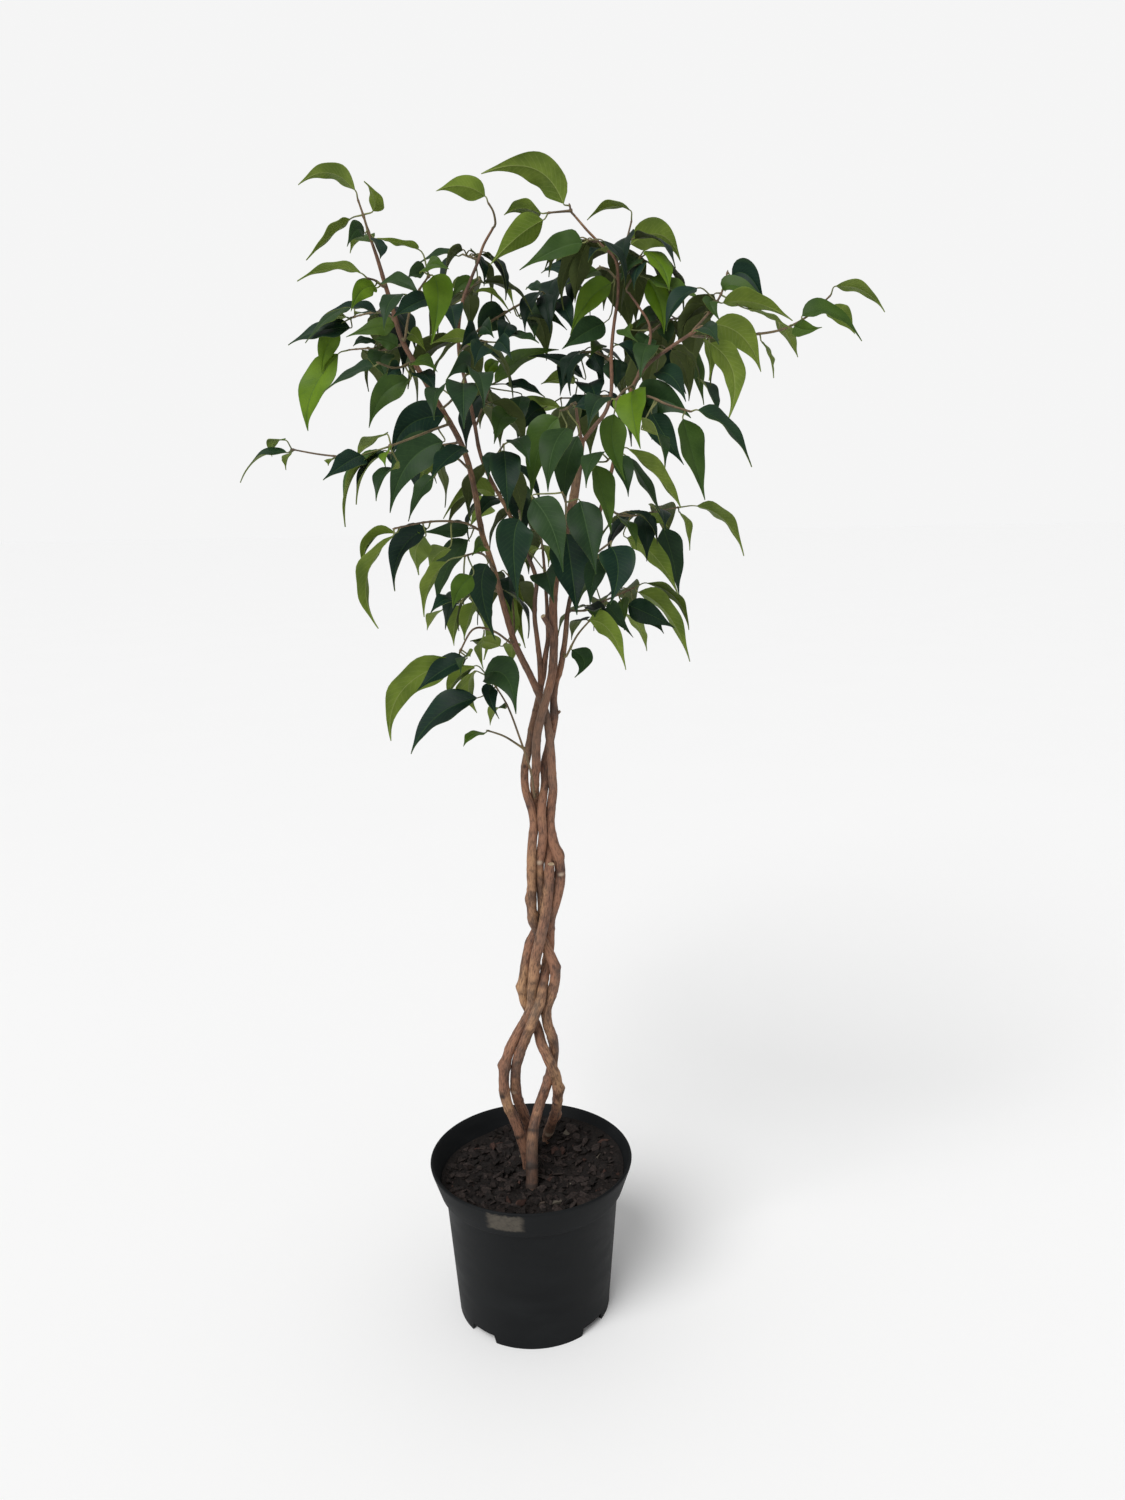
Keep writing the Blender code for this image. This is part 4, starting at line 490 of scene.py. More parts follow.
# Each leafy spray: the stem that it grows from, its twigs, and the leaves that show plainly.
# A leaf is (across, down) of its blade's base, the same of its tip, its seen width in pixels,
# what is seen, and, where it plainly bows, (across, down) of its middle line half way along.
# Seen are a dark top (T), a greener top (G), a young bright top (Y) or an underside (U).
SPRAYS = {
    "spray_left_tip": {
        "stem": "stem_back",
        "twigs": [[(371, 240, -38), (366, 224, -40), (361, 208, -43), (357, 197, -45)]],
        "leaves": [
            (355, 190, 298, 185, 16, "U", (328, 172)), (373, 211, 364, 181, 13, "U", (375, 197)),
            (373, 227, 351, 245, 19, "T", (358, 229)), (350, 219, 306, 260, 9, "U", (331, 235)),
            (371, 242, 350, 253, 4, "U"), (374, 238, 380, 259, 14, "T", (380, 248)),
        ],
    },
    "spray_left_upper": {
        "stem": "stem_back",
        "twigs": [[(386, 285, -35), (376, 280, -50), (366, 278, -62)]],
        "leaves": [
            (361, 273, 297, 281, 9, "U", (331, 268)), (380, 279, 352, 310, 20, "Y", (361, 291)),
            (384, 290, 362, 301, 10, "Y"), (380, 277, 424, 292, 14, "T", (402, 279)),
        ],
    },
    "spray_left_inner": {
        "stem": "stem_back",
        "twigs": [[(402, 341, -30), (407, 322, -50), (412, 303, -68), (420, 288, -84),
                   (430, 274, -98)]],
        "leaves": [
            (430, 297, 393, 317, 18, "T", (410, 306)), (438, 268, 431, 345, 32, "Y", (438, 300)),
            (414, 265, 449, 269, 14, "G", (432, 264)), (418, 249, 377, 238, 6, "U", (398, 242)),
            (408, 330, 427, 351, 17, "U", (417, 337)),
            (428, 262, 408, 278, 15, "T"), (402, 294, 384, 330, 19, "T"),
        ],
    },
    "spray_left_behind": {
        "stem": "stem_back",
        "twigs": [[(396, 320, -32), (383, 311, 4), (368, 313, 40), (350, 318, 75)]],
        "leaves": [
            (383, 306, 326, 307, 7, "T", (352, 303)), (352, 306, 305, 343, 9, "T", (328, 318)),
            (352, 312, 316, 327, 12, "U", (335, 314)), (403, 331, 346, 337, 17, "G", (375, 327)),
            (350, 328, 288, 345, 8, "T", (318, 331)), (338, 327, 322, 373, 21, "Y", (326, 349)),
            (352, 310, 382, 322, 9, "T", (368, 313)),
        ],
    },
    "spray_left_middle": {
        "stem": "stem_back",
        "twigs": [[(402, 343, -29), (386, 350, 5), (368, 348, 45), (348, 350, 88)]],
        "leaves": [
            (338, 354, 308, 431, 18, "Y", (312, 393)), (375, 341, 353, 346, 9, "T", (363, 340)),
            (409, 355, 374, 340, 17, "G"), (386, 346, 388, 377, 28, "T", (381, 360)),
        ],
    },
    "spray_left_low": {
        "stem": "stem_back",
        "twigs": [[(414, 362, -28), (402, 369, -46), (388, 367, -62), (376, 362, -74)]],
        "leaves": [
            (380, 362, 322, 392, 10, "T", (352, 372)), (409, 380, 369, 428, 26, "G", (383, 395)),
            (404, 362, 384, 374, 16, "T"), (412, 362, 440, 370, 14, "G"),
            (416, 374, 436, 396, 18, "T"),
        ],
    },
    "spray_left_dark": {
        "stem": "stem_back",
        "twigs": [[(450, 424, -23), (438, 428, -66), (422, 434, -104), (404, 441, -126),
                   (388, 447, -138)]],
        "leaves": [
            (444, 416, 391, 459, 33, "T", (408, 426)), (443, 442, 390, 513, 36, "T", (408, 464)),
            (386, 434, 356, 458, 9, "U", (369, 443)), (388, 447, 355, 504, 7, "T", (364, 471)),
            (377, 451, 345, 527, 8, "U", (350, 482)), (362, 455, 323, 480, 22, "T", (346, 463)),
            (388, 452, 384, 470, 10, "Y"), (398, 468, 376, 501, 12, "T"),
        ],
    },
    "spray_far_left": {
        "stem": "stem_back",
        "twigs": [[(460, 441, -20), (436, 446, 12), (400, 452, 40), (362, 457, 55), (333, 457, 62),
                   (305, 451, 66), (290, 449, 68)]],
        "leaves": [
            (289, 449, 239, 481, 4, "T", (258, 457)), (285, 440, 272, 457, 10, "U", (273, 443)),
            (290, 450, 284, 470, 9, "U"), (334, 459, 328, 468, 8, "U"),
            (372, 456, 350, 480, 12, "U"), (434, 462, 420, 490, 18, "U"),
        ],
    },
    "spray_left_hanging": {
        "stem": "stem_back",
        "twigs": [[(470, 468, -18), (458, 455, -46), (446, 462, -66), (436, 472, -80)]],
        "leaves": [
            (464, 447, 430, 480, 21, "T", (446, 460)), (438, 476, 411, 523, 15, "T", (421, 494)),
            (446, 441, 428, 463, 18, "T"),
        ],
    },
    "spray_low_left_behind": {
        "stem": "stem_front",
        "twigs": [[(498, 494, 19), (506, 490, 44), (503, 496, 70), (492, 503, 92)]],
        "leaves": [
            (500, 490, 442, 516, 14, "U", (469, 489)), (491, 506, 469, 530, 22, "U"),
            (504, 500, 481, 524, 16, "T"), (512, 486, 530, 520, 20, "T"),
        ],
    },
    "spray_low_left": {
        "stem": "stem_back",
        "twigs": [[(480, 528, -14), (466, 523, -52), (448, 521, -82), (428, 522, -106),
                   (408, 524, -122), (392, 529, -132)]],
        "leaves": [
            (430, 526, 396, 592, 21, "T", (401, 552)), (400, 524, 361, 570, 9, "U", (369, 540)),
            (390, 532, 375, 628, 11, "U", (364, 580)), (473, 533, 422, 537, 17, "T", (448, 533)),
            (425, 537, 419, 575, 19, "U", (416, 552)), (448, 548, 429, 569, 17, "U", (436, 555)),
            (468, 540, 437, 607, 22, "T", (446, 570)),
        ],
    },
    "spray_low_left_inner": {
        "stem": "stem_back",
        "twigs": [[(494, 568, -11), (486, 556, -50), (476, 552, -84), (464, 556, -108)]],
        "leaves": [
            (490, 553, 499, 640, 29, "T", (484, 592)), (472, 576, 453, 608, 22, "G", (459, 590)),
            (446, 562, 424, 617, 12, "U", (429, 585)), (458, 602, 430, 614, 13, "T"),
            (490, 536, 472, 556, 18, "G"),
        ],
    },
    "spray_low_left_hanging": {
        "stem": "stem_back",
        "twigs": [[(500, 592, -9), (488, 588, 18), (474, 592, 44), (462, 600, 62)]],
        "leaves": [
            (463, 606, 454, 646, 18, "U", (455, 622)), (473, 602, 464, 640, 16, "U", (468, 620)),
            (442, 610, 427, 630, 9, "U", (433, 617)), (482, 612, 484, 660, 9, "U"),
        ],
    },
    "spray_low_left_bright": {
        "stem": "stem_back",
        "twigs": [[(512, 636, -4), (514, 618, 24), (512, 596, 46), (508, 572, 62)]],
        "leaves": [
            (508, 570, 526, 648, 17, "U", (513, 605)), (502, 590, 508, 655, 14, "U"),
            (500, 646, 470, 641, 14, "U", (484, 641)), (512, 645, 512, 665, 18, "U"),
        ],
    },
    "spray_lowest_left": {
        "stem": "stem_back",
        "twigs": [[(513, 640, -4), (500, 636, -24), (488, 627, -40), (473, 628, -54),
                   (465, 640, -64), (459, 653, -70)]],
        "leaves": [
            (456, 661, 391, 741, 30, "U", (402, 690)), (466, 659, 417, 691, 14, "T", (440, 672)),
            (470, 656, 461, 675, 9, "T"), (485, 628, 484, 668, 8, "U"),
        ],
    },
    "spray_low_twig": {
        "stem": "stem_left",
        "twigs": [
            [(536, 793, 2), (533, 780, -20), (528, 762, -26), (521, 743, -28), (516, 723, -28),
             (510, 709, -29), (502, 698, -32), (495, 684, -36), (488, 675, -40)],
            [(522, 749, -27), (510, 740, -36), (496, 731, -44), (486, 730, -50)],
        ],
        "leaves": [
            (477, 698, 411, 754, 24, "T", (436, 717)), (474, 666, 447, 698, 15, "U", (456, 679)),
            (473, 672, 477, 713, 13, "U", (468, 690)), (477, 667, 516, 714, 36, "T", (506, 677)),
            (490, 680, 498, 719, 15, "T", (489, 698)), (511, 704, 493, 725, 8, "U", (496, 710)),
            (483, 731, 460, 746, 9, "G", (470, 735)),
        ],
    },
    "spray_low_right": {
        "stem": "stem_right",
        "twigs": [[(563, 655, 3), (570, 645, -6), (582, 629, -14), (592, 618, -20)]],
        "leaves": [
            (577, 649, 580, 679, 20, "T", (587, 663)), (584, 615, 626, 670, 19, "U", (611, 632)),
            (597, 600, 595, 618, 15, "G"),
        ],
    },
    "spray_low_right_behind": {
        "stem": "stem_right",
        "twigs": [[(568, 610, 5), (585, 611, 34), (602, 602, 62), (620, 594, 86),
                   (636, 587, 106)]],
        "leaves": [
            (603, 603, 633, 638, 20, "T", (614, 614)), (628, 605, 675, 628, 24, "T", (651, 615)),
            (624, 590, 624, 630, 13, "G"), (627, 614, 647, 651, 11, "U", (640, 628)),
            (640, 590, 692, 660, 15, "U", (669, 613)), (640, 612, 664, 634, 16, "T"),
            (647, 583, 689, 630, 9, "U", (676, 598)),
            (592, 582, 577, 610, 12, "G"),
        ],
    },
    "spray_centre_right_front": {
        "stem": "stem_right",
        "twigs": [[(582, 560, -2), (592, 556, -44), (603, 548, -84), (612, 541, -112)]],
        "leaves": [
            (617, 541, 616, 604, 36, "T", (621, 570)), (600, 560, 590, 606, 22, "T"),
        ],
    },
    "spray_centre_front": {
        "stem": "stem_left",
        "twigs": [[(566, 527, -5), (566, 512, -52), (566, 500, -98), (562, 492, -134)]],
        "leaves": [
            (580, 501, 596, 574, 36, "T", (588, 534)), (533, 499, 563, 572, 36, "T", (552, 528)),
            (566, 534, 577, 615, 40, "T", (572, 572)),
        ],
    },
    "spray_centre_left_front": {
        "stem": "stem_front",
        "twigs": [[(522, 544, 14), (521, 530, -34), (520, 518, -80), (519, 510, -112)]],
        "leaves": [
            (518, 512, 517, 601, 38, "T", (513, 548)), (546, 572, 554, 603, 32, "T"),
        ],
    },
    "spray_centre_middle": {
        "stem": "stem_front",
        "twigs": [[(543, 552, 12), (542, 536, 26), (536, 520, 44), (530, 505, 60)]],
        "leaves": [
            (542, 552, 525, 568, 12, "U"), (545, 540, 552, 566, 12, "U"),
            (527, 500, 515, 540, 20, "G"),
        ],
    },
    "spray_right_low_behind": {
        "stem": "stem_right",
        "twigs": [[(603, 502, -12), (616, 514, 24), (636, 516, 56), (656, 511, 80),
                   (680, 507, 96)]],
        "leaves": [
            (663, 528, 679, 595, 26, "T", (673, 560)), (627, 538, 678, 594, 20, "U", (655, 556)),
            (645, 521, 668, 527, 12, "U"), (655, 511, 665, 530, 14, "T"),
            (683, 507, 694, 549, 7, "U", (689, 524)), (697, 506, 744, 556, 12, "U", (726, 521)),
            (617, 514, 636, 549, 10, "G"),
        ],
    },
    "spray_right_inner_front": {
        "stem": "stem_right",
        "twigs": [[(616, 450, -19), (616, 450, -58), (612, 456, -92), (606, 462, -112)]],
        "leaves": [
            (629, 449, 681, 508, 12, "U", (661, 480)), (627, 457, 660, 512, 10, "T", (646, 485)),
            (594, 465, 611, 534, 22, "G", (604, 497)), (622, 452, 634, 496, 20, "T"),
            (600, 452, 586, 488, 20, "T"),
        ],
    },
    "spray_right_hanging": {
        "stem": "stem_right",
        "twigs": [[(630, 394, -25), (648, 396, -60), (664, 403, -88), (680, 410, -108),
                   (692, 412, -118)]],
        "leaves": [
            (636, 402, 691, 418, 36, "T", (664, 400)), (698, 410, 752, 467, 12, "T", (729, 429)),
            (683, 419, 705, 500, 25, "G", (693, 455)), (652, 414, 684, 465, 26, "T", (665, 436)),
            (643, 430, 665, 468, 8, "T"),
        ],
    },
    "spray_bright": {
        "stem": "stem_right",
        "twigs": [[(633, 386, -26), (628, 388, -66), (622, 392, -100), (616, 400, -126)]],
        "leaves": [
            (632, 382, 640, 447, 37, "Y", (632, 409)), (614, 414, 625, 480, 28, "G", (613, 445)),
            (604, 398, 588, 430, 24, "T"), (640, 400, 652, 440, 24, "T"),
        ],
    },
    "spray_right_arm_inner": {
        "stem": "stem_right",
        "twigs": [[(656, 357, -33), (664, 352, 4), (668, 348, 40), (672, 346, 72)]],
        "leaves": [
            (667, 337, 686, 394, 32, "T", (674, 364)), (688, 348, 704, 405, 18, "G", (697, 372)),
            (700, 380, 718, 417, 11, "T", (711, 394)), (650, 345, 640, 380, 26, "T"),
            (658, 372, 686, 402, 24, "T"),
        ],
    },
    "spray_right_arm_front": {
        "stem": "stem_right",
        "twigs": [[(698, 329, -46), (706, 334, -66), (712, 338, -84)]],
        "leaves": [
            (701, 334, 705, 382, 13, "U"), (709, 336, 728, 420, 24, "U", (734, 374)),
            (714, 324, 761, 372, 32, "U", (743, 337)), (697, 331, 719, 345, 18, "T"),
        ],
    },
    "spray_right_arm_top": {
        "stem": "stem_right",
        "twigs": [[(694, 331, -45), (704, 318, -30), (716, 305, -16), (723, 290, -4),
                   (728, 270, 6)]],
        "leaves": [
            (727, 265, 768, 301, 26, "T", (750, 274)), (705, 284, 770, 303, 16, "G", (738, 286)),
            (718, 303, 792, 322, 17, "U", (756, 303)), (697, 288, 666, 331, 17, "T"),
            (692, 286, 722, 324, 14, "G", (706, 300)), (748, 309, 790, 328, 12, "U", (768, 316)),
        ],
    },
    "spray_right_end": {
        "stem": "stem_right",
        "twigs": [[(690, 335, -43), (712, 337, -12), (738, 334, 14), (763, 334, 30), (779, 330, 38),
                   (791, 327, 43), (803, 320, 48), (813, 312, 52), (826, 302, 56), (832, 294, 58)]],
        "leaves": [
            (836, 286, 885, 312, 12, "U", (863, 290)), (797, 310, 862, 341, 12, "G", (832, 312)),
            (830, 306, 855, 334, 20, "U", (843, 318)), (791, 328, 822, 330, 16, "G", (806, 331)),
            (779, 320, 798, 357, 13, "U", (788, 335)), (762, 342, 774, 378, 6, "U", (770, 356)),
        ],
    },
    "spray_top_right": {
        "stem": "stem_right",
        "twigs": [[(629, 293, 11), (632, 280, 18), (638, 266, 26), (641, 254, 32)]],
        "leaves": [
            (648, 280, 664, 334, 24, "Y", (660, 304)), (650, 279, 703, 300, 13, "G", (677, 289)),
            (645, 251, 669, 291, 18, "Y", (662, 266)), (640, 252, 620, 278, 19, "T", (628, 263)),
            (645, 264, 634, 290, 14, "T"),
        ],
    },
    "spray_top_right_crest": {
        "stem": "stem_left",
        "twigs": [[(618, 262, 32), (625, 246, 44), (630, 229, 54), (632, 219, 60)]],
        "leaves": [
            (630, 210, 587, 220, 9, "U", (609, 206)), (627, 243, 681, 262, 31, "U", (661, 235)),
        ],
    },
    "spray_top": {
        "stem": "stem_left",
        "twigs": [[(574, 215, 25), (571, 208, 24), (569, 203, 23)], [(573, 213, 25), (556, 212, 22),
                  (546, 213, 20)]],
        "leaves": [
            (569, 199, 483, 168, 30, "U", (534, 165)), (541, 213, 504, 215, 16, "U", (521, 208)),
            (543, 220, 490, 265, 28, "U", (517, 237)),
        ],
    },
    "spray_top_middle": {
        "stem": "stem_left",
        "twigs": [[(597, 241, 28), (592, 241, 10), (588, 240, -4)]],
        "leaves": [(586, 240, 519, 269, 25, "G", (556, 249)), (606, 252, 588, 262, 6, "T")],
    },
    "spray_top_behind": {
        "stem": "stem_left",
        "twigs": [[(618, 276, 32), (606, 268, 66), (597, 268, 96), (590, 276, 120)]],
        "leaves": [
            (583, 259, 554, 270, 6, "U", (566, 257)), (601, 272, 568, 287, 15, "G", (585, 277)),
            (616, 279, 571, 336, 26, "Y", (589, 301)), (604, 323, 562, 349, 26, "T", (583, 334)),
            (577, 273, 541, 273, 9, "T"),
        ],
    },
    "spray_centre_top": {
        "stem": "stem_front",
        "twigs": [
            [(458, 345, 31), (478, 330, 60), (496, 318, 84), (510, 311, 98), (524, 301, 108),
             (540, 291, 116), (560, 284, 122), (572, 277, 126)],
            [(526, 300, 108), (545, 298, 100), (556, 296, 94)],
        ],
        "leaves": [
            (555, 297, 574, 333, 20, "T"), (519, 316, 567, 330, 13, "T", (543, 314)),
            (522, 319, 535, 340, 9, "T"), (504, 306, 478, 340, 30, "T"),
            (510, 324, 500, 352, 22, "T"), (507, 334, 539, 343, 9, "T", (524, 336)),
            (541, 288, 525, 287, 8, "T"),
        ],
    },
    "spray_centre_left_crest": {
        "stem": "stem_front",
        "twigs": [[(493, 228, 36), (495, 216, 34), (492, 207, 32), (487, 201, 30)]],
        "leaves": [(485, 196, 436, 191, 23, "U", (462, 186))],
    },
    "spray_centre_left_side": {
        "stem": "stem_front",
        "twigs": [[(479, 260, 36), (470, 257, 58), (462, 254, 78)]],
        "leaves": [(458, 252, 414, 262, 8, "T", (440, 252)), (474, 280, 452, 298, 14, "G")],
    },
    "spray_centre_left_upper": {
        "stem": "stem_front",
        "twigs": [[(464, 296, 35), (470, 290, 62), (476, 284, 88), (481, 279, 108)]],
        "leaves": [
            (482, 275, 516, 304, 8, "U", (505, 280)), (476, 292, 511, 313, 5, "U", (493, 294)),
            (470, 281, 447, 287, 8, "U"), (450, 306, 456, 338, 22, "T"),
        ],
    },
    "spray_centre_left_middle": {
        "stem": "stem_front",
        "twigs": [[(458, 352, 31), (468, 344, -4), (478, 340, -36), (488, 342, -64)]],
        "leaves": [
            (481, 342, 430, 345, 15, "U", (456, 338)), (486, 340, 474, 366, 24, "T"),
            (496, 342, 512, 360, 20, "T"), (482, 312, 494, 338, 22, "T"),
            (476, 318, 460, 350, 22, "T"),
        ],
    },
    "spray_centre_left_dark": {
        "stem": "stem_back",
        "twigs": [[(441, 410, -25), (452, 400, -62), (460, 388, -92), (466, 374, -116)]],
        "leaves": [
            (478, 362, 446, 380, 24, "T", (462, 364)), (460, 378, 460, 428, 36, "T"),
            (440, 388, 434, 420, 20, "T"), (476, 372, 484, 408, 24, "T"),
        ],
    },
    "spray_centre_left_back": {
        "stem": "stem_front",
        "twigs": [[(474, 424, 25), (482, 408, 60), (487, 396, 92), (490, 384, 122)]],
        "leaves": [
            (491, 382, 558, 348, 16, "G", (522, 357)), (486, 374, 500, 362, 14, "Y"),
            (505, 384, 545, 397, 10, "T", (526, 388)), (522, 396, 518, 440, 22, "T"),
            (508, 414, 494, 444, 26, "G"),
            (548, 374, 506, 372, 5, "G", (527, 369)),
        ],
    },
    "spray_centre_back": {
        "stem": "stem_left",
        "twigs": [[(612, 395, 19), (598, 396, 56), (586, 398, 92), (572, 398, 124),
                   (560, 398, 150)]],
        "leaves": [
            (560, 407, 503, 406, 13, "U", (530, 404)), (575, 378, 541, 384, 17, "U", (558, 379)),
            (585, 386, 598, 412, 22, "T"), (590, 402, 570, 436, 24, "T"),
            (543, 408, 518, 438, 22, "T"),
        ],
    },
    "spray_centre_high_back": {
        "stem": "stem_left",
        "twigs": [[(611, 358, 26), (598, 352, 66), (584, 352, 102), (570, 354, 132)]],
        "leaves": [
            (583, 378, 528, 357, 12, "T", (557, 360)), (590, 345, 604, 380, 22, "T"),
            (608, 336, 590, 358, 16, "G"), (616, 345, 638, 372, 20, "T"),
            (622, 352, 616, 388, 26, "T"),
            (572, 362, 560, 396, 22, "T"),
        ],
    },
    "spray_centre_heart": {
        "stem": "stem_left",
        "twigs": [[(576, 407, -10), (566, 409, -42), (560, 411, -72)]],
        "leaves": [
            (560, 412, 531, 500, 34, "G", (539, 448)), (566, 428, 548, 492, 30, "T"),
            (572, 404, 600, 418, 16, "T"),
            (578, 436, 566, 506, 28, "T"),
        ],
    },
    "spray_heart_left": {
        "stem": "stem_front",
        "twigs": [[(486, 470, 21), (494, 460, -20), (500, 450, -56), (504, 444, -84)]],
        "leaves": [
            (504, 444, 508, 512, 32, "T"), (500, 450, 488, 482, 16, "T"),
            (512, 440, 530, 466, 20, "T"),
        ],
    },
    "spray_right_top_back": {
        "stem": "stem_right",
        "twigs": [[(651, 328, 3), (664, 322, 40), (678, 318, 74), (690, 322, 102)]],
        "leaves": [
            (672, 325, 706, 328, 9, "T"), (606, 327, 638, 342, 17, "G", (624, 330)),
            (660, 314, 668, 344, 18, "T"), (648, 336, 640, 372, 24, "T"),
            (652, 300, 636, 328, 16, "T"),
        ],
    },
}

# Knobs and scars on each stem: how far down in the photograph, how much each stands out, on which
# side it is seen, from -1 at the left to 1 at the right, and how pale it is, below 0 for dark
SCARS = {
    "stem_left": [(976, 0.18, 0.3, 0.2), (1066, 0.34, -1.0, -0.3), (1094, 0.05, -0.3, -1.0)],
    "stem_back": [(855, 0.24, 0.9, -0.5), (874, 0.04, 0.0, 0.9), (904, 0.20, -0.8, -0.9),
                  (1059, 0.12, 0.0, -0.7), (1088, 0.20, -0.4, 0.8)],
    "stem_front": [(900, 0.30, -1.0, -0.3), (921, 0.22, -0.9, -0.2), (991, 0.20, 0.3, 0.3),
                   (1066, 0.20, 0.4, -0.8)],
    "stem_right": [(712, 0.20, -0.6, -0.4), (861, 0.14, 0.1, 0.9), (943, 0.20, -1.0, -0.9),
                   (987, 0.30, -1.0, -0.3), (1089, 0.28, 1.0, -0.3), (1114, 0.22, 0.9, -0.2),
                   (1130, 0.16, 0.2, 0.9)],
}
# How much paler the foot of each stem is, below 0 for darker; the right stem's paler foot is painted
# light
FEET = {"stem_left": -0.10, "stem_back": -0.06, "stem_front": -0.30, "stem_right": 0.14}
# Where the crown is in the photograph: a height and how far the inner leaves reach left and right
CROWN = (
    (235, 400, 660), (270, 385, 690), (300, 375, 735), (340, 350, 745), (380, 365, 715),
    (420, 375, 700), (460, 385, 690), (500, 415, 685), (550, 420, 680), (600, 430, 660),
    (640, 450, 600),
)


class Path:
    """A stem, branch or twig: its node, and rows of x, y, z and radius from its root on."""

    def __init__(self, node, rows, held):
        self.node = node
        self.rows = rows
        self.held = held


class Leaf:
    """A leaf: its petiole's root, its blade's base, spine, top, bow, length and width."""

    def __init__(self, root, base, spine, top, bow, length, width):
        self.root = root
        self.base = base
        self.spine = spine
        self.top = top
        self.bow = bow
        self.length = length
        self.width = width


def from_photo(across, down, depth):
    """Return the real point seen at a pixel, so many millimetres behind the pot's axis."""
    sideways = across - PHOTO_CENTRE[0]
    lower = down - PHOTO_CENTRE[1]
    level_x = (sideways * math.cos(VIEW_ROLL) - lower * math.sin(VIEW_ROLL)) / PHOTO_FOCAL
    level_y = (sideways * math.sin(VIEW_ROLL) + lower * math.cos(VIEW_ROLL)) / PHOTO_FOCAL
    y = depth / 1000
    reach = (y - VIEW_Y) / (math.cos(VIEW_PITCH) - level_y * math.sin(VIEW_PITCH))
    drop = math.sin(VIEW_PITCH) + level_y * math.cos(VIEW_PITCH)
    return Vector((VIEW_X + reach * level_x, y, VIEW_Z - reach * drop))


def to_photo(point):
    """Return the pixel, across and down, where a real point is seen."""
    ahead = point[1] - VIEW_Y
    rise = point[2] - VIEW_Z
    distance = ahead * math.cos(VIEW_PITCH) - rise * math.sin(VIEW_PITCH)
    level_x = PHOTO_FOCAL * (point[0] - VIEW_X) / distance
    level_y = -PHOTO_FOCAL * (ahead * math.sin(VIEW_PITCH) + rise * math.cos(VIEW_PITCH)) / distance
    across = PHOTO_CENTRE[0] + level_x * math.cos(VIEW_ROLL) + level_y * math.sin(VIEW_ROLL)
    down = PHOTO_CENTRE[1] - level_x * math.sin(VIEW_ROLL) + level_y * math.cos(VIEW_ROLL)
    return across, down


def even_steps(rows, spacing):
    """Return rows at even steps, near the given spacing, along a chain of rows."""
    steps = np.linalg.norm(np.diff(rows[:, :3], axis=0), axis=1)
    along = np.concatenate(([0.0], np.cumsum(steps)))
    count = max(2, round(along[-1] / spacing)) + 1
    wanted = np.linspace(0.0, along[-1], count)
    return np.stack([np.interp(wanted, along, column) for column in rows.T], axis=1)


def smooth_rows(rows, spacing):
    """Round the corners of a chain of rows and read it at even steps."""
    fine = even_steps(np.array(rows, dtype=float), FINE_STEP)
    for _ in range(SMOOTHING_PASSES):
        fine[1:-1] = (fine[:-2] + 2 * fine[1:-1] + fine[2:]) / 4
    return even_steps(fine, spacing)


def nearest_row(paths, point):
    """Return the fine rows of the path that comes nearest to a point, and the row there."""
    best = None
    for path in paths:
        fine = even_steps(path.rows, FINE_STEP)
        gaps = np.linalg.norm(fine[:, :3] - np.array(point), axis=1)
        row = int(np.argmin(gaps))
        if best is None or gaps[row] < best[0]:
            best = (gaps[row], fine, row)
    return best[1], best[2]


def direction(rows, row):
    """Return the unit direction of a path at one of its rows."""
    before = rows[max(row - 1, 0), :3]
    after = rows[min(row + 1, len(rows) - 1), :3]
    return Vector(after - before).normalized()


def stem_paths(node, stem):
    """Return a stem's own path and its forks', each fork rooted on the stem's middle line."""
    downs = [-down for down, _ in stem["radii"]]
    sizes = [radius / 1000 for _, radius in stem["radii"]]
    rows = []
    for across, down, depth in stem["route"]:
        rows.append([*from_photo(across, down, depth), np.interp(-down, downs, sizes)])
    foot = [rows[0][0], rows[0][1], SOIL_TOP - STEM_DEPTH_IN_SOIL, rows[0][3]]
    paths = [Path(node, smooth_rows([foot] + rows, STEM_SPACING), 0)]
    for route, (root_radius, end_radius) in stem["forks"]:
        points = [from_photo(*place) for place in route]
        sizes = np.linspace(root_radius, end_radius, len(points)) / 1000
        rows = [[*point, size] for point, size in zip(points, sizes)]
        paths.append(Path(node, smooth_rows(rows, STEM_SPACING), 0))
    return paths


def seat_forks(paths):
    """Bring each fork's root back onto its own stem, after the stems were pushed apart."""
    stem = paths[0]
    for fork in paths[1:]:
        fine, row = nearest_row([stem], fork.rows[0, :3])
        shift = fine[row, :3] - fork.rows[0, :3]
        fade = np.linspace(1.0, 0.0, len(fork.rows))[:, None]
        fork.rows[:, :3] += shift * fade


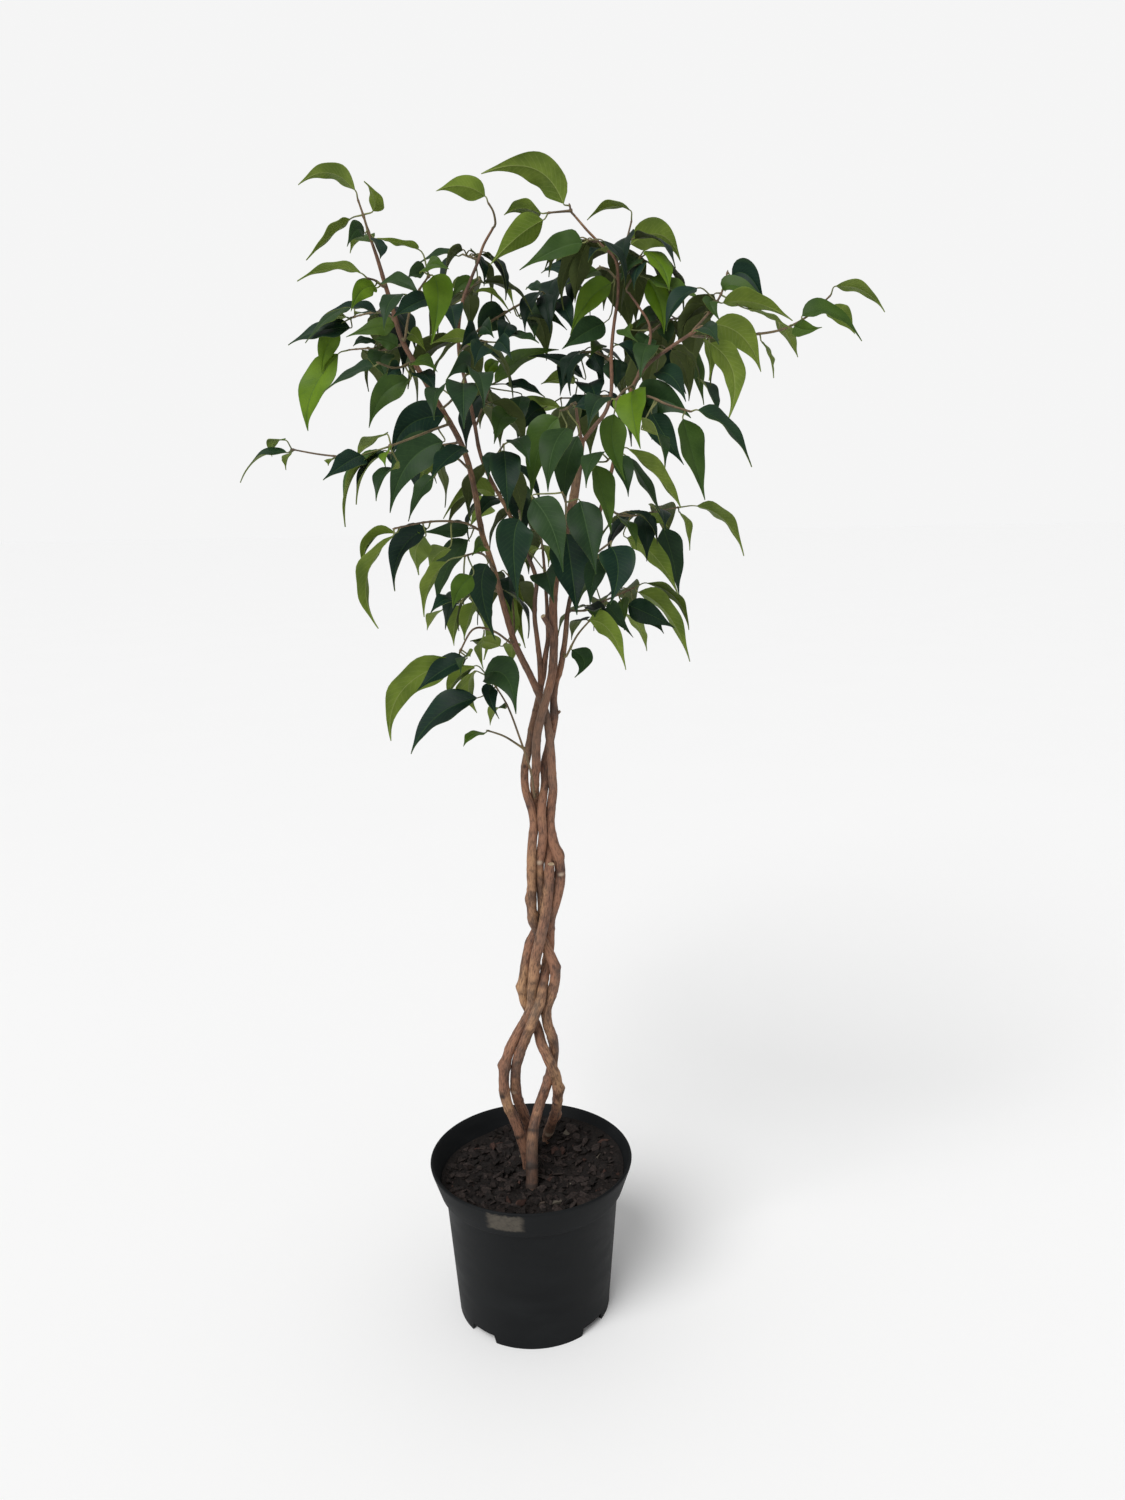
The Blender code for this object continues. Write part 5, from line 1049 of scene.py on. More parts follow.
def push_apart(paths, rounds):
    """Move paths of different nodes apart until their surfaces clear each other."""
    for _ in range(rounds):
        samples = []
        for path in paths:
            for row in range(len(path.rows) - 1):
                for share in PUSH_SAMPLES:
                    place = path.rows[row] * (1 - share) + path.rows[row + 1] * share
                    samples.append((path, row, share, place))
        tree = KDTree(len(samples))
        for number, sample in enumerate(samples):
            tree.insert(sample[3][:3], number)
        tree.balance()
        moves = {id(path): np.zeros((len(path.rows), 3)) for path in paths}
        widest = max(sample[3][3] for sample in samples)
        for path, row, share, place in samples:
            if row < path.held:
                continue
            for _, other, gap in tree.find_range(place[:3], place[3] + widest + WOOD_CLEARANCE):
                other_path, other_row, _, other_place = samples[other]
                if other_path.node == path.node or other_row < other_path.held:
                    continue
                overlap = place[3] + other_place[3] + WOOD_CLEARANCE - gap
                if overlap <= 0 or gap < SAME_PLACE:
                    continue
                push = (place[:3] - other_place[:3]) / gap * overlap * PUSH_SHARE
                if other_path.held >= len(other_path.rows):
                    push = push * 2
                moves[id(path)][row] += push * (1 - share)
                moves[id(path)][row + 1] += push * share
        for path in paths:
            path.rows[path.held:, :3] += moves[id(path)][path.held:]


def spray_paths(node, spray, stems):
    """Return a spray's twigs: the first stands on its stem, the others grow from the first."""
    paths = []
    for route in spray["twigs"]:
        points = [from_photo(*place) for place in route]
        if not paths:
            parent, row = nearest_row(stems, points[0])
            end = row == len(parent) - 1
            along = direction(parent, row)
            place = Vector(parent[row, :3])
            aim = points[1] - place
            out = along if end else (aim - along * aim.dot(along)).normalized()
            lift = GAP if end else parent[row, 3] + GAP
            start = place + out * lift
            straight = place + out * (lift + TWIG_STRAIGHT)
        else:
            parent, row = nearest_row(paths[:1], points[0])
            row = min(max(row, SIDE_TWIG_MARGIN), len(parent) - 1 - SIDE_TWIG_MARGIN)
            start = Vector(parent[row, :3])
            straight = start + (points[1] - start).normalized() * TWIG_STRAIGHT
        chain = [start, straight] + points[1:]
        sizes = np.linspace(TWIG_ROOT_RADIUS, TWIG_TIP_RADIUS, len(chain))
        rows = [[*point, size] for point, size in zip(chain, sizes)]
        inner = smooth_rows(rows[1:], TWIG_SPACING)
        paths.append(Path(node, np.concatenate(([rows[0]], inner)), 2))
    return paths


def tube(name, rows, resolution):
    """Return a closed mesh tube along rows of x, y, z and radius."""
    curve = bpy.data.curves.new(name, "CURVE")
    curve.dimensions = "3D"
    curve.bevel_depth = 1.0
    curve.bevel_resolution = resolution
    curve.use_fill_caps = True
    spline = curve.splines.new("POLY")
    spline.points.add(len(rows) - 1)
    for point, (x, y, z, radius) in zip(spline.points, rows):
        point.co = (x, y, z, 1.0)
        point.radius = radius
    return weld(as_mesh(placed_item(name, curve)))


def as_mesh(item):
    """Replace an object by the mesh that it shows."""
    name = item.name
    evaluated = item.evaluated_get(bpy.context.evaluated_depsgraph_get())
    mesh = bpy.data.meshes.new_from_object(evaluated)
    place = item.matrix_world.copy()
    bpy.data.objects.remove(item, do_unlink=True)
    mesh.name = name
    made = placed_item(name, mesh)
    made.matrix_world = place
    return made


def weld(item):
    """Join the points of a mesh that lie on each other, such as those of a curve's caps."""
    shape = bmesh.new()
    shape.from_mesh(item.data)
    bmesh.ops.remove_doubles(shape, verts=shape.verts, dist=WELD_DISTANCE)
    shape.to_mesh(item.data)
    shape.free()
    return item


def blade_middle(leaf, share):
    """Return the point at a share of a blade's middle line, which bows from base to tip."""
    return leaf.base + (leaf.spine * share + leaf.bow * 4 * share * (1 - share)) * leaf.length


def blade_frame(leaf, share):
    """Return the directions along, across and above a blade at a share of its middle line."""
    before = max(share - FRAME_STEP, 0.0)
    after = min(share + FRAME_STEP, 1.0)
    along = (blade_middle(leaf, after) - blade_middle(leaf, before)).normalized()
    above = (leaf.top - along * leaf.top.dot(along)).normalized()
    return along, along.cross(above), above


def leaf_points(leaf, margin):
    """Return the points of a leaf, ring by ring from its petiole's root, and then its tip."""
    along, side, above = blade_frame(leaf, 0.0)
    stalk = (leaf.base - leaf.root).normalized()
    bend = (stalk + along).normalized()
    at_base = along.rotation_difference(bend)
    at_root = bend.rotation_difference(stalk) @ at_base
    thin = PETIOLE_RADIUS + margin
    points = []
    for middle, turn in ((leaf.root, at_root), (leaf.base, at_base)):
        across = turn @ side * thin
        up = turn @ above * thin
        below = middle - up * PETIOLE_BELOW_SHARE
        points += [below - across, middle + up, below + across]
    for share, breadth in LEAF_STATIONS:
        middle = blade_middle(leaf, share)
        _, side, top = blade_frame(leaf, share)
        half = leaf.width / 2 * breadth
        across = side * (half * math.cos(LEAF_FOLD) + margin)
        lift = top * half * math.sin(LEAF_FOLD)
        rib = top * (RIB_HALF_THICKNESS + margin)
        points += [middle - across + lift, middle + rib, middle + across + lift, middle - rib]
    points.append(leaf.base + leaf.spine * (leaf.length + margin))
    return points


def leaf_faces():
    """Return a leaf's triangles: three-sided petiole, then blade, split alike on both faces."""
    faces = [(0, 2, 1)]
    for here in range(3):
        beside = (here + 1) % 3
        faces += [(here, beside, beside + 3), (here, beside + 3, here + 3)]
    faces += [(3, 4, 7), (3, 7, 6), (4, 5, 7), (5, 8, 7), (5, 3, 9), (5, 9, 8), (3, 6, 9)]
    tip = 6 + 4 * len(LEAF_STATIONS)
    for ring in range(6, tip, 4):
        for number in range(4):
            here = ring + number
            beside = ring + (number + 1) % 4
            if ring + 4 == tip:
                faces.append((here, beside, tip))
            elif number % 2 == 0:
                faces += [(here, beside, beside + 4), (here, beside + 4, here + 4)]
            else:
                faces += [(here, beside, here + 4), (beside, beside + 4, here + 4)]
    return faces


def blade_shape(leaf, margin):
    """Return a leaf's points and faces without its petiole."""
    faces = [[corner - 3 for corner in face] for face in leaf_faces() if min(face) > 2]
    return leaf_points(leaf, margin)[3:], faces


def traced_leaf(twigs, traced, shrink, shift, turn):
    """Return the leaf that a traced one stands for, drawn smaller, moved in depth or turned."""
    across, down, tip_across, tip_down, seen_pixels, seen_side, *seen_middle = traced
    root, run = None, None
    for path in twigs:
        for row in even_steps(path.rows[1:], FINE_STEP)[1:-1]:
            gap = math.dist(to_photo(row), (across, down))
            if run is None or gap < run:
                root, run = Vector(row[:3]), gap
    depth = (root.y + shift * BASE_SHIFT_SHARE) * 1000
    base = from_photo(across, down, depth)
    tip = from_photo(tip_across, tip_down, depth)
    scale = (tip - base).length / max(math.dist((across, down), (tip_across, tip_down)), 1.0)
    seen_length = (tip - base).length
    seen_width = seen_pixels * scale
    length = max(seen_length, seen_width / LEAF_WIDTH_SHARE, SHORTEST_LEAF)
    length = min(length, seen_length / MOST_FORESHORTENED, LONGEST_LEAF)
    length = max(length, seen_length)
    towards = -1 if (seen_side != "U") == (tip_down > down) else 1
    tip.y += towards * math.sqrt(length ** 2 - seen_length ** 2)
    tip = from_photo(tip_across, tip_down, (tip.y + shift) * 1000)
    spine = (tip - base).normalized()
    if (base - root).length < SHORTEST_PETIOLE:
        base = root + spine * SHORTEST_PETIOLE
    while (base - root).normalized().dot(spine) < SHARPEST_BEND:
        base = base.lerp(root + spine * SHORTEST_PETIOLE, 0.5)
        spine = (tip - base).normalized()
    length = (tip - base).length * shrink
    sight = (base - Vector((VIEW_X, VIEW_Y, VIEW_Z))).normalized()
    facing = -(sight - spine * sight.dot(spine)).normalized()
    width = min(max(seen_width, length * LEAF_WIDTH_SHARE, LEAF_WIDTHS[0]), LEAF_WIDTHS[1])
    roll = math.acos(min(seen_width / width, 1.0))
    sign = 1 if seen_side != "U" else -1
    tops = []
    for angle in (roll, -roll):
        tops.append(sign * (Matrix.Rotation(angle + turn, 3, spine) @ facing))
    top = max(tops, key=lambda way: way.z)
    if seen_middle:
        middle = (base + tip) / 2
        bow = (from_photo(*seen_middle[0], middle.y * 1000) - middle) / (tip - base).length
    else:
        level = Vector((0.0, 0.0, 1.0)) - spine * spine.z
        bow = level / max(level.length, FULL_BOW_LEVEL) * LEAF_BOW + top * LEAF_ARCH
    if bow.length > MOST_BOW:
        bow *= MOST_BOW / bow.length
    return Leaf(root, base, spine, top, bow, length, width * shrink)


def box_of(points):
    """Return the lowest and highest corner of a box round some points."""
    places = np.array([tuple(point) for point in points])
    return places.min(axis=0), places.max(axis=0)


class Obstacles:
    """What has been placed so far, for finding whether a new leaf would touch it."""

    def __init__(self):
        self.things = []

    def add(self, node, kind, points, faces):
        """Add a shape of a node; its kind is wood or blade."""
        low, high = box_of(points)
        self.things.append((node, kind, BVHTree.FromPolygons(points, faces), low, high))

    def touched(self, points, faces, wanted):
        """Say whether a shape meets any placed thing whose node and kind are wanted."""
        low, high = box_of(points)
        tree = None
        for node, kind, other, other_low, other_high in self.things:
            if not wanted(node, kind):
                continue
            if (low > other_high).any() or (high < other_low).any():
                continue
            tree = tree or BVHTree.FromPolygons(points, faces)
            if tree.overlap(other):
                return True
        return False


def fits(leaf, node, obstacles, strict):
    """Say whether a leaf clears other nodes, its own twigs and, if strict, its own blades."""
    points = leaf_points(leaf, LEAF_CLEARANCE)
    if obstacles.touched(points, leaf_faces(), lambda other, kind: other != node):
        return False
    return not obstacles.touched(
        *blade_shape(leaf, LEAF_CLEARANCE),
        lambda other, kind: other == node and (strict or kind == "wood"))


def place_leaf(node, twigs, traced, obstacles):
    """Return the first form of a traced leaf that is clear of what has been placed."""
    for strict in (True, False):
        for shrink in SHRINKS:
            for shift in SHIFTS:
                for turn in TURNS:
                    leaf = traced_leaf(twigs, traced, shrink, shift, turn)
                    if fits(leaf, node, obstacles, strict):
                        return leaf
    return None


def place_leaves(twigs, obstacles):
    """Return the leaves of each spray, the sprays nearest to the viewer first."""
    placed = {}
    order = sorted(SPRAYS, key=lambda node: (twigs[node][0].rows[-1, 1], node))
    for node in order:
        placed[node] = []
        for traced in SPRAYS[node]["leaves"]:
            leaf = place_leaf(node, twigs[node], traced, obstacles)
            if leaf is None:
                continue
            leaf.seen = traced[5]
            placed[node].append(leaf)
            obstacles.add(node, "blade", leaf_points(leaf, 0.0), leaf_faces())
    return placed


def turned(name, profile, steps):
    """Return an object turned from a profile of (radius, height) points."""
    mesh = bpy.data.meshes.new(name)
    points = [(radius, 0.0, height) for radius, height in profile]
    mesh.from_pydata(points, [(n, n + 1) for n in range(len(points) - 1)], [])
    item = placed_item(name, mesh)
    screw = item.modifiers.new("turn", "SCREW")
    screw.steps = steps
    screw.render_steps = steps
    screw.use_merge_vertices = True
    screw.merge_threshold = WELD_DISTANCE
    return item


def pot_inside():
    """Return the pot's inner profile, from the middle of its floor to the top of its rim."""
    floor_top = FOOT_HEIGHT + FLOOR
    return [
        (0.0, floor_top),
        (BASE_RADIUS - WALL - FLOOR, floor_top),
        (BASE_RADIUS - WALL + FLOOR_SPLAY, floor_top + FLOOR),
        (BODY_TOP_RADIUS - WALL, BAND_BOTTOM - BAND_STEP),
        (BAND_BOTTOM_RADIUS - WALL, BAND_BOTTOM + BAND_STEP / 2),
        (RIM_RADIUS - WALL - RIM_ROUNDING, POT_HEIGHT - RIM_ROUNDING),
    ]


def pot_outside():
    """Return the pot's outer profile, from the top of its rim to the middle of its foot."""
    return [
        (RIM_RADIUS - RIM_ROUNDING, POT_HEIGHT),
        (RIM_RADIUS, POT_HEIGHT - RIM_ROUNDING),
        (RIM_RADIUS - RIM_ROUNDING / 3, POT_HEIGHT - RIM_ROUNDING * 2.5),
        (BAND_BOTTOM_RADIUS, BAND_BOTTOM),
        (BODY_TOP_RADIUS, BAND_BOTTOM - BAND_STEP),
        (BASE_RADIUS, 0.0),
        (BASE_RADIUS - FOOT_WIDTH, 0.0),
        (BASE_RADIUS - FOOT_WIDTH, FOOT_HEIGHT),
        (CENTRE_FOOT_RADIUS + CENTRE_FOOT_TAPER, FOOT_HEIGHT),
        (CENTRE_FOOT_RADIUS, 0.0),
        (0.0, 0.0),
    ]


def notch_cutter(cutters, angle):
    """Add the block that opens a drainage notch in the foot, at an angle from the front."""
    shape = bmesh.new()
    bmesh.ops.create_cube(shape, size=1.0)
    for corner in shape.verts:
        splay = 1.0 if corner.co.z < 0 else NOTCH_TOP_SHARE
        corner.co.x *= NOTCH_WIDTH * splay
        corner.co.y *= FOOT_WIDTH * 4
        corner.co.z *= NOTCH_HEIGHT * 2
    add_cutter(cutters, shape, angle, BASE_RADIUS - FOOT_WIDTH / 2, 0.0)


def drain_cutter(cutters, angle):
    """Add the rod that opens a drain hole in the floor."""
    shape = bmesh.new()
    bmesh.ops.create_cone(
        shape, cap_ends=True, segments=DRAIN_SIDES, radius1=DRAIN_RADIUS, radius2=DRAIN_RADIUS,
        depth=FLOOR * 4)
    add_cutter(cutters, shape, angle, DRAIN_RING, FOOT_HEIGHT + FLOOR / 2)


def add_cutter(cutters, shape, angle, radius, height):
    """Place a cutting shape at an angle round the pot, measured from the front."""
    mesh = bpy.data.meshes.new("cutter")
    shape.to_mesh(mesh)
    shape.free()
    item = bpy.data.objects.new("cutter", mesh)
    turn = math.radians(angle)
    item.location = (radius * math.sin(turn), -radius * math.cos(turn), height)
    item.rotation_euler.z = turn
    item.hide_render = True
    cutters.objects.link(item)


def cut(item, cutters):
    """Cut every object of a collection out of an item."""
    cutting = item.modifiers.new("cut", "BOOLEAN")
    cutting.operation = "DIFFERENCE"
    cutting.operand_type = "COLLECTION"
    cutting.collection = cutters
    cutting.solver = "EXACT"


def soil_height(x, y, reach):
    """Return how far the mix stands above its level: bumpy, and heaped up to the back right."""
    waves = (
        math.sin(x * 95 + 0.6) * math.cos(y * 80 - 0.9),
        math.sin(x * 210 - y * 160 + 1.7) * 0.6,
        math.cos(x * 150 + y * 240) * 0.5,
    )
    bumps = SOIL_BUMP * sum(waves) * (1 - (x ** 2 + y ** 2) / reach ** 2)
    back = x * math.cos(SOIL_RISE_WAY) + y * math.sin(SOIL_RISE_WAY)
    share = min(max((back - SOIL_RISE_FROM) / (SOIL_RISE_TO - SOIL_RISE_FROM), 0.0), 1.0)
    return bumps + SOIL_RISE * share ** 2 * (3 - 2 * share)


class Shape:
    """A mesh as it is being built: points, faces, and each part's material, map and tone."""

    def __init__(self):
        self.points = []
        self.faces = []
        self.kinds = []
        self.maps = []
        self.tones = []

    def add(self, points, faces, kind, maps, tone):
        """Add points and faces with one material number, a map point each, and a tone."""
        first = len(self.points)
        self.points += [tuple(point) for point in points]
        self.faces += [tuple(first + corner for corner in face) for face in faces]
        self.kinds += [kind] * len(faces)
        self.maps += [tuple(place) for place in maps]
        tones = np.broadcast_to(np.asarray(tone, dtype=float), (len(points),))
        self.tones += [float(value) for value in tones]

    def make(self, name, materials):
        """Return the built mesh as an object in the scene."""
        mesh = bpy.data.meshes.new(name)
        mesh.from_pydata(self.points, [], self.faces)
        for material in materials:
            mesh.materials.append(material)
        mesh.polygons.foreach_set("material_index", self.kinds)
        layer = mesh.uv_layers.new(name="grain")
        corners = np.empty(len(mesh.loops), dtype=np.int32)
        mesh.loops.foreach_get("vertex_index", corners)
        layer.data.foreach_set("uv", np.array(self.maps, dtype=np.float32)[corners].ravel())
        tone = mesh.attributes.new("tone", "FLOAT", "POINT")
        tone.data.foreach_set("value", np.array(self.tones, dtype=np.float32))
        mesh.shade_smooth()
        return placed_item(name, mesh)


def placed_item(name, data):
    """Return a new object with some data, in the scene."""
    item = bpy.data.objects.new(name, data)
    bpy.context.scene.collection.objects.link(item)
    return item


def show(item, node):
    """Let a piece stand for a CAD node: hang it on the root body and hide the node."""
    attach(item, "root")
    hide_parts(node)


def rounded(rows, spacing):
    """Return fine rows on a smooth curve through coarse ones."""
    ends = np.vstack((2 * rows[0] - rows[1], rows, 2 * rows[-1] - rows[-2]))
    fine = []
    for number in range(len(rows) - 1):
        a, b, c, d = ends[number:number + 4]
        steps = max(2, math.ceil(np.linalg.norm(c[:3] - b[:3]) / spacing))
        for share in np.arange(steps) / steps:
            fine.append(0.5 * (2 * b + (c - a) * share + (2 * a - 5 * b + 4 * c - d) * share ** 2
                               + (3 * b - a - 3 * c + d) * share ** 3))
    fine.append(rows[-1])
    return np.array(fine)


def frames_along(points):
    """Return the two directions across a curve at each of its points, without twist."""
    ways = np.gradient(points, axis=0)
    ways /= np.linalg.norm(ways, axis=1)[:, None]
    first = np.cross(ways[0], (0.0, 1.0, 0.2))
    across = [first / np.linalg.norm(first)]
    for way in ways[1:]:
        side = across[-1] - way * across[-1].dot(way)
        across.append(side / np.linalg.norm(side))
    across = np.array(across)
    return across, np.cross(ways, across)


def tube_faces(rings, sides):
    """Return the faces round a tube of so many rings, with caps at both ends."""
    faces = []
    for ring in range(rings - 1):
        for side in range(sides):
            here = ring * sides + side
            beside = ring * sides + (side + 1) % sides
            faces.append((here, beside, beside + sides, here + sides))
    faces.append(tuple(reversed(range(sides))))
    faces.append(tuple(range((rings - 1) * sides, rings * sides)))
    return faces


def tube_points(rows, radii, sides):
    """Return the points round each row of a tube; radii has a radius for each point."""
    first, second = frames_along(rows[:, :3])
    turns = np.arange(sides) / sides * 2 * math.pi
    around = np.cos(turns)[None, :, None] * first[:, None, :]
    around = around + np.sin(turns)[None, :, None] * second[:, None, :]
    return (rows[:, None, :3] + around * radii[:, :, None]).reshape(-1, 3)


def tube_map(rows, sides, radius):
    """Return the map points of a tube: the way round and the way along, in metres."""
    steps = np.linalg.norm(np.diff(rows[:, :3], axis=0), axis=1)
    along = np.concatenate(([0.0], np.cumsum(steps)))
    around = np.abs(np.arange(sides) / sides - 0.5) * 2 * math.pi * radius
    return [(side, way) for way in along for side in around], along


def felt_along(along, middle, length):
    """Return how strongly a bulge is felt at each place along a stem, as a column."""
    return np.exp(-((along - middle) / length) ** 2)[:, None]


def felt_round(turns, middle, spread):
    """Return how strongly a bulge is felt at each angle round a stem."""
    away = np.abs((turns - middle + math.pi) % (2 * math.pi) - math.pi)
    return np.exp(-(away / spread) ** 2)


def add_rings(swell, marks_and_painted_light, along, turns, draw):
    """Swell and darken a stem in rings at uneven steps, and put a knob on some of them."""
    place = draw.uniform(*RING_STARTS)
    while place < along[-1] - RING_END_MARGIN:
        ring = felt_along(along, place, RING_LENGTH)
        swell += ring * draw.uniform(*RING_SWELLS)
        marks_and_painted_light -= ring * draw.uniform(*RING_MARKS)
        if draw.uniform() < KNOB_CHANCE:
            lobe = felt_round(turns, draw.uniform(0, 2 * math.pi), KNOB_SPREAD)
            knob = felt_along(along, place + KNOB_SHIFT, KNOB_LENGTH) * lobe
            swell += knob * draw.uniform(*KNOB_SWELLS)
            marks_and_painted_light += knob * draw.uniform(*KNOB_MARKS)
        place += draw.uniform(*RING_GAPS)


def add_scars(swell, marks_and_painted_light, rows, along, turns, scars):
    """Swell and mark a stem where the photograph shows a knob or a scar."""
    for down, size, seen_side, pale in scars:
        gaps = [abs(to_photo(row)[1] - down) for row in rows]
        middle = along[int(np.argmin(gaps))]
        lobe = felt_round(turns, math.pi / 2 * (1 + seen_side), SCAR_SPREAD)
        knob = felt_along(along, middle, SCAR_LENGTH)
        swell += knob * (SCAR_ROUND_SHARE + lobe) * size
        spot = felt_along(along, middle, SCAR_MARK_LENGTH)
        marks_and_painted_light += spot * (SCAR_MARK_ROUND_SHARE + lobe) * pale * SCAR_MARK_STRENGTH


def add_lumps(swell, rows, turns, offset):
    """Make a stem's surface uneven; stems with other offsets get other lumps."""
    for number, (x, y, z, _) in enumerate(rows):
        for side, turn in enumerate(turns):
            seed = Vector((x * LUMPS_ACROSS + math.cos(turn) * LUMPS_ROUND,
                           y * LUMPS_ACROSS + math.sin(turn) * LUMPS_ROUND,
                           z * LUMPS_ALONG + offset * LUMPS_APART))
            swell[number, side] += (noise.noise(seed) * LUMP_SWELL
                                    + noise.noise(seed * FINE_LUMPS) * FINE_LUMP_SWELL)


def bark_tube(shape, path, draw, offset, scars=(), foot=0.0, cut_end=False):
    """Add a stem or branch: rings, scars and knobs on a slightly uneven round shaft."""
    rows = rounded(path.rows, BARK_STEP)
    heights = rows[:, 2:3]
    maps, along = tube_map(rows, BARK_SIDES, float(rows[:, 3].mean()))
    turns = np.arange(BARK_SIDES) / BARK_SIDES * 2 * math.pi
    swell = np.ones((len(rows), BARK_SIDES))
    marks_and_painted_light = np.full((len(rows), BARK_SIDES), NEUTRAL_MARK)
    add_rings(swell, marks_and_painted_light, along, turns, draw)
    # The foot of each stem is made paler or darker; the right stem's paler foot is painted light
    marks_and_painted_light += foot * np.clip((FOOT_TOP - heights) / HEIGHT_FADE, 0.0, 1.0)
    add_scars(swell, marks_and_painted_light, rows, along, turns, scars)
    add_lumps(swell, rows, turns, offset)
    full = 1 + BRAID_FULLNESS * np.clip((BRAID_TOP - heights) / HEIGHT_FADE, 0.0, 1.0)
    points = tube_points(rows, rows[:, 3:4] * swell * full, BARK_SIDES)
    sides = tube_faces(len(rows), BARK_SIDES)[:-1]
    shape.add(points, sides, 0, maps, np.clip(marks_and_painted_light, 0.0, 1.0).ravel())
    end = points[-BARK_SIDES:]
    reach = np.linalg.norm(end - end.mean(axis=0), axis=1).mean()
    end_map = [(math.cos(turn) * reach, math.sin(turn) * reach) for turn in turns]
    shape.add(end, [tuple(range(BARK_SIDES))], int(cut_end), end_map, NEUTRAL_MARK)


def twig_tube(shape, path, roots, ends, draw, tone):
    """Add a twig, slightly swollen where it starts and where each leaf grows."""
    rows = rounded(path.rows, TWIG_STEP)
    start = rows[1, :3] - rows[0, :3]
    rows[0, :3] -= start / np.linalg.norm(start) * TWIG_SUNK
    maps, along = tube_map(rows, TWIG_SIDES, float(rows[:, 3].mean()))
    swell = 1.0 + TWIG_FOOT_SWELL * np.exp(-along / TWIG_FOOT_LENGTH)
    for end in ends:
        if np.linalg.norm(rows[0, :3] - end[:3]) < TWIG_JOIN_REACH:
            swell = 1.0 + (end[3] / rows[0, 3] - 1.0) * np.exp(-along / TWIG_JOIN_LENGTH)
    for root in roots:
        gaps = np.linalg.norm(rows[:, :3] - np.array(root), axis=1)
        if gaps.min() < JOINT_REACH:
            joint = felt_along(along, along[int(gaps.argmin())], JOINT_LENGTH)
            swell += JOINT_SWELL * joint[:, 0]
    uneven = 1 + TWIG_UNEVENNESS * draw.standard_normal((1, TWIG_SIDES))
    radii = (rows[:, 3] * swell)[:, None] * uneven
    radii[-1] *= TWIG_END_SHARE
    points = tube_points(rows, radii, TWIG_SIDES)
    shape.add(points, tube_faces(len(rows), TWIG_SIDES), 2, maps, tone)


def petiole(shape, leaf, tone):
    """Add the thin bowed stalk that carries a blade."""
    along, _, _ = blade_frame(leaf, 0.0)
    straight = leaf.base - leaf.root
    first = leaf.root + straight * PETIOLE_LEADS[0]
    second = leaf.base - along * straight.length * PETIOLE_LEADS[1]
    rows = []
    for share in np.linspace(0.0, 1.0, PETIOLE_STEPS):
        rest = 1 - share
        point = (leaf.root * rest ** 3 + first * 3 * rest ** 2 * share
                 + second * 3 * rest * share ** 2 + leaf.base * share ** 3)
        rows.append([*point, PETIOLE_THIN * (PETIOLE_SWELL - PETIOLE_TAPER * share)])
    rows = np.array(rows)
    maps, _ = tube_map(rows, PETIOLE_SIDES, PETIOLE_THIN)
    points = tube_points(rows, np.repeat(rows[:, 3:4], PETIOLE_SIDES, axis=1), PETIOLE_SIDES)
    shape.add(points, tube_faces(len(rows), PETIOLE_SIDES), 2, maps, tone)


def blade_sheets(leaf, draw):
    """Return a blade's upper points, its lower points and their map, row by row."""
    shares = np.linspace(0.0, 1.0, BLADE_STEPS + 1) ** BLADE_STEP_POWER
    breadths = np.interp(shares, *zip(*OUTLINE)) * leaf.width / 2
    phase = draw.uniform(0, 2 * math.pi, 2)
    waves = draw.uniform(*WAVE_COUNTS, 2)
    twist = draw.uniform(*BLADE_TWISTS)
    fold = math.tan(LEAF_FOLD) * draw.uniform(*BLADE_FOLDS)
    cup = draw.uniform(*BLADE_CUPS)
    upper = []
    lower = []
    maps = []
    for share, breadth in zip(shares, breadths):
        middle = blade_middle(leaf, float(share))
        along, side, above = blade_frame(leaf, float(share))
        spin = Matrix.Rotation(twist * (share - TWIST_MIDDLE), 3, along)
        side = spin @ side
        above = spin @ above
        for spread in BLADE_SPREAD:
            edge = 0 if spread < 0 else 1
            wave = math.sin(phase[edge] + 2 * math.pi * waves[edge] * share)
            folded = fold * (math.sqrt(spread ** 2 + FOLD_ROUNDING) - math.sqrt(FOLD_ROUNDING))
            lift = folded - cup * spread ** 2 + wave * WAVE_DEPTH * abs(spread) ** WAVE_POWER
            rib = math.exp(-(spread / RIB_SPREAD) ** 2)
            point = middle + side * spread * breadth + above * (lift * breadth - RIB_SAG * rib)
            upper.append(point + above * BLADE_THICKNESS / 2)
            lower.append(point - above * (BLADE_THICKNESS / 2 + RIB_THICKNESS * rib))
            maps.append((spread * breadth / leaf.length, share))
    return upper, lower, maps


def sheet_edge(columns):
    """Return the numbers of the points round the edge of a blade's sheet, in order."""
    last = BLADE_STEPS * columns
    edge = list(range(columns - 1, last + columns, columns))
    edge += range(last + columns - 2, last - 1, -1)
    edge += range(last - columns, -1, -columns)
    edge += range(1, columns - 1)
    return edge


def blade(shape, leaf, tone, draw):
    """Add a leaf's blade: a thin sheet with a fold along its rib and gently waved edges."""
    upper, lower, maps = blade_sheets(leaf, draw)
    columns = len(BLADE_SPREAD)
    faces = []
    for row in range(BLADE_STEPS):
        for here in range(row * columns, row * columns + columns - 1):
            faces.append((here, here + 1, here + 1 + columns, here + columns))
    shape.add(upper, faces, 0, maps, tone)
    shape.add(lower, [face[::-1] for face in faces], 1, maps, tone)
    edge = sheet_edge(columns)
    size = len(edge)
    rim = []
    for number in range(size):
        beside = (number + 1) % size
        rim.append((number, number + size, beside + size, beside))
    rim_points = [upper[number] for number in edge] + [lower[number] for number in edge]
    shape.add(rim_points, rim, 1, [maps[number] for number in edge] * 2, tone)


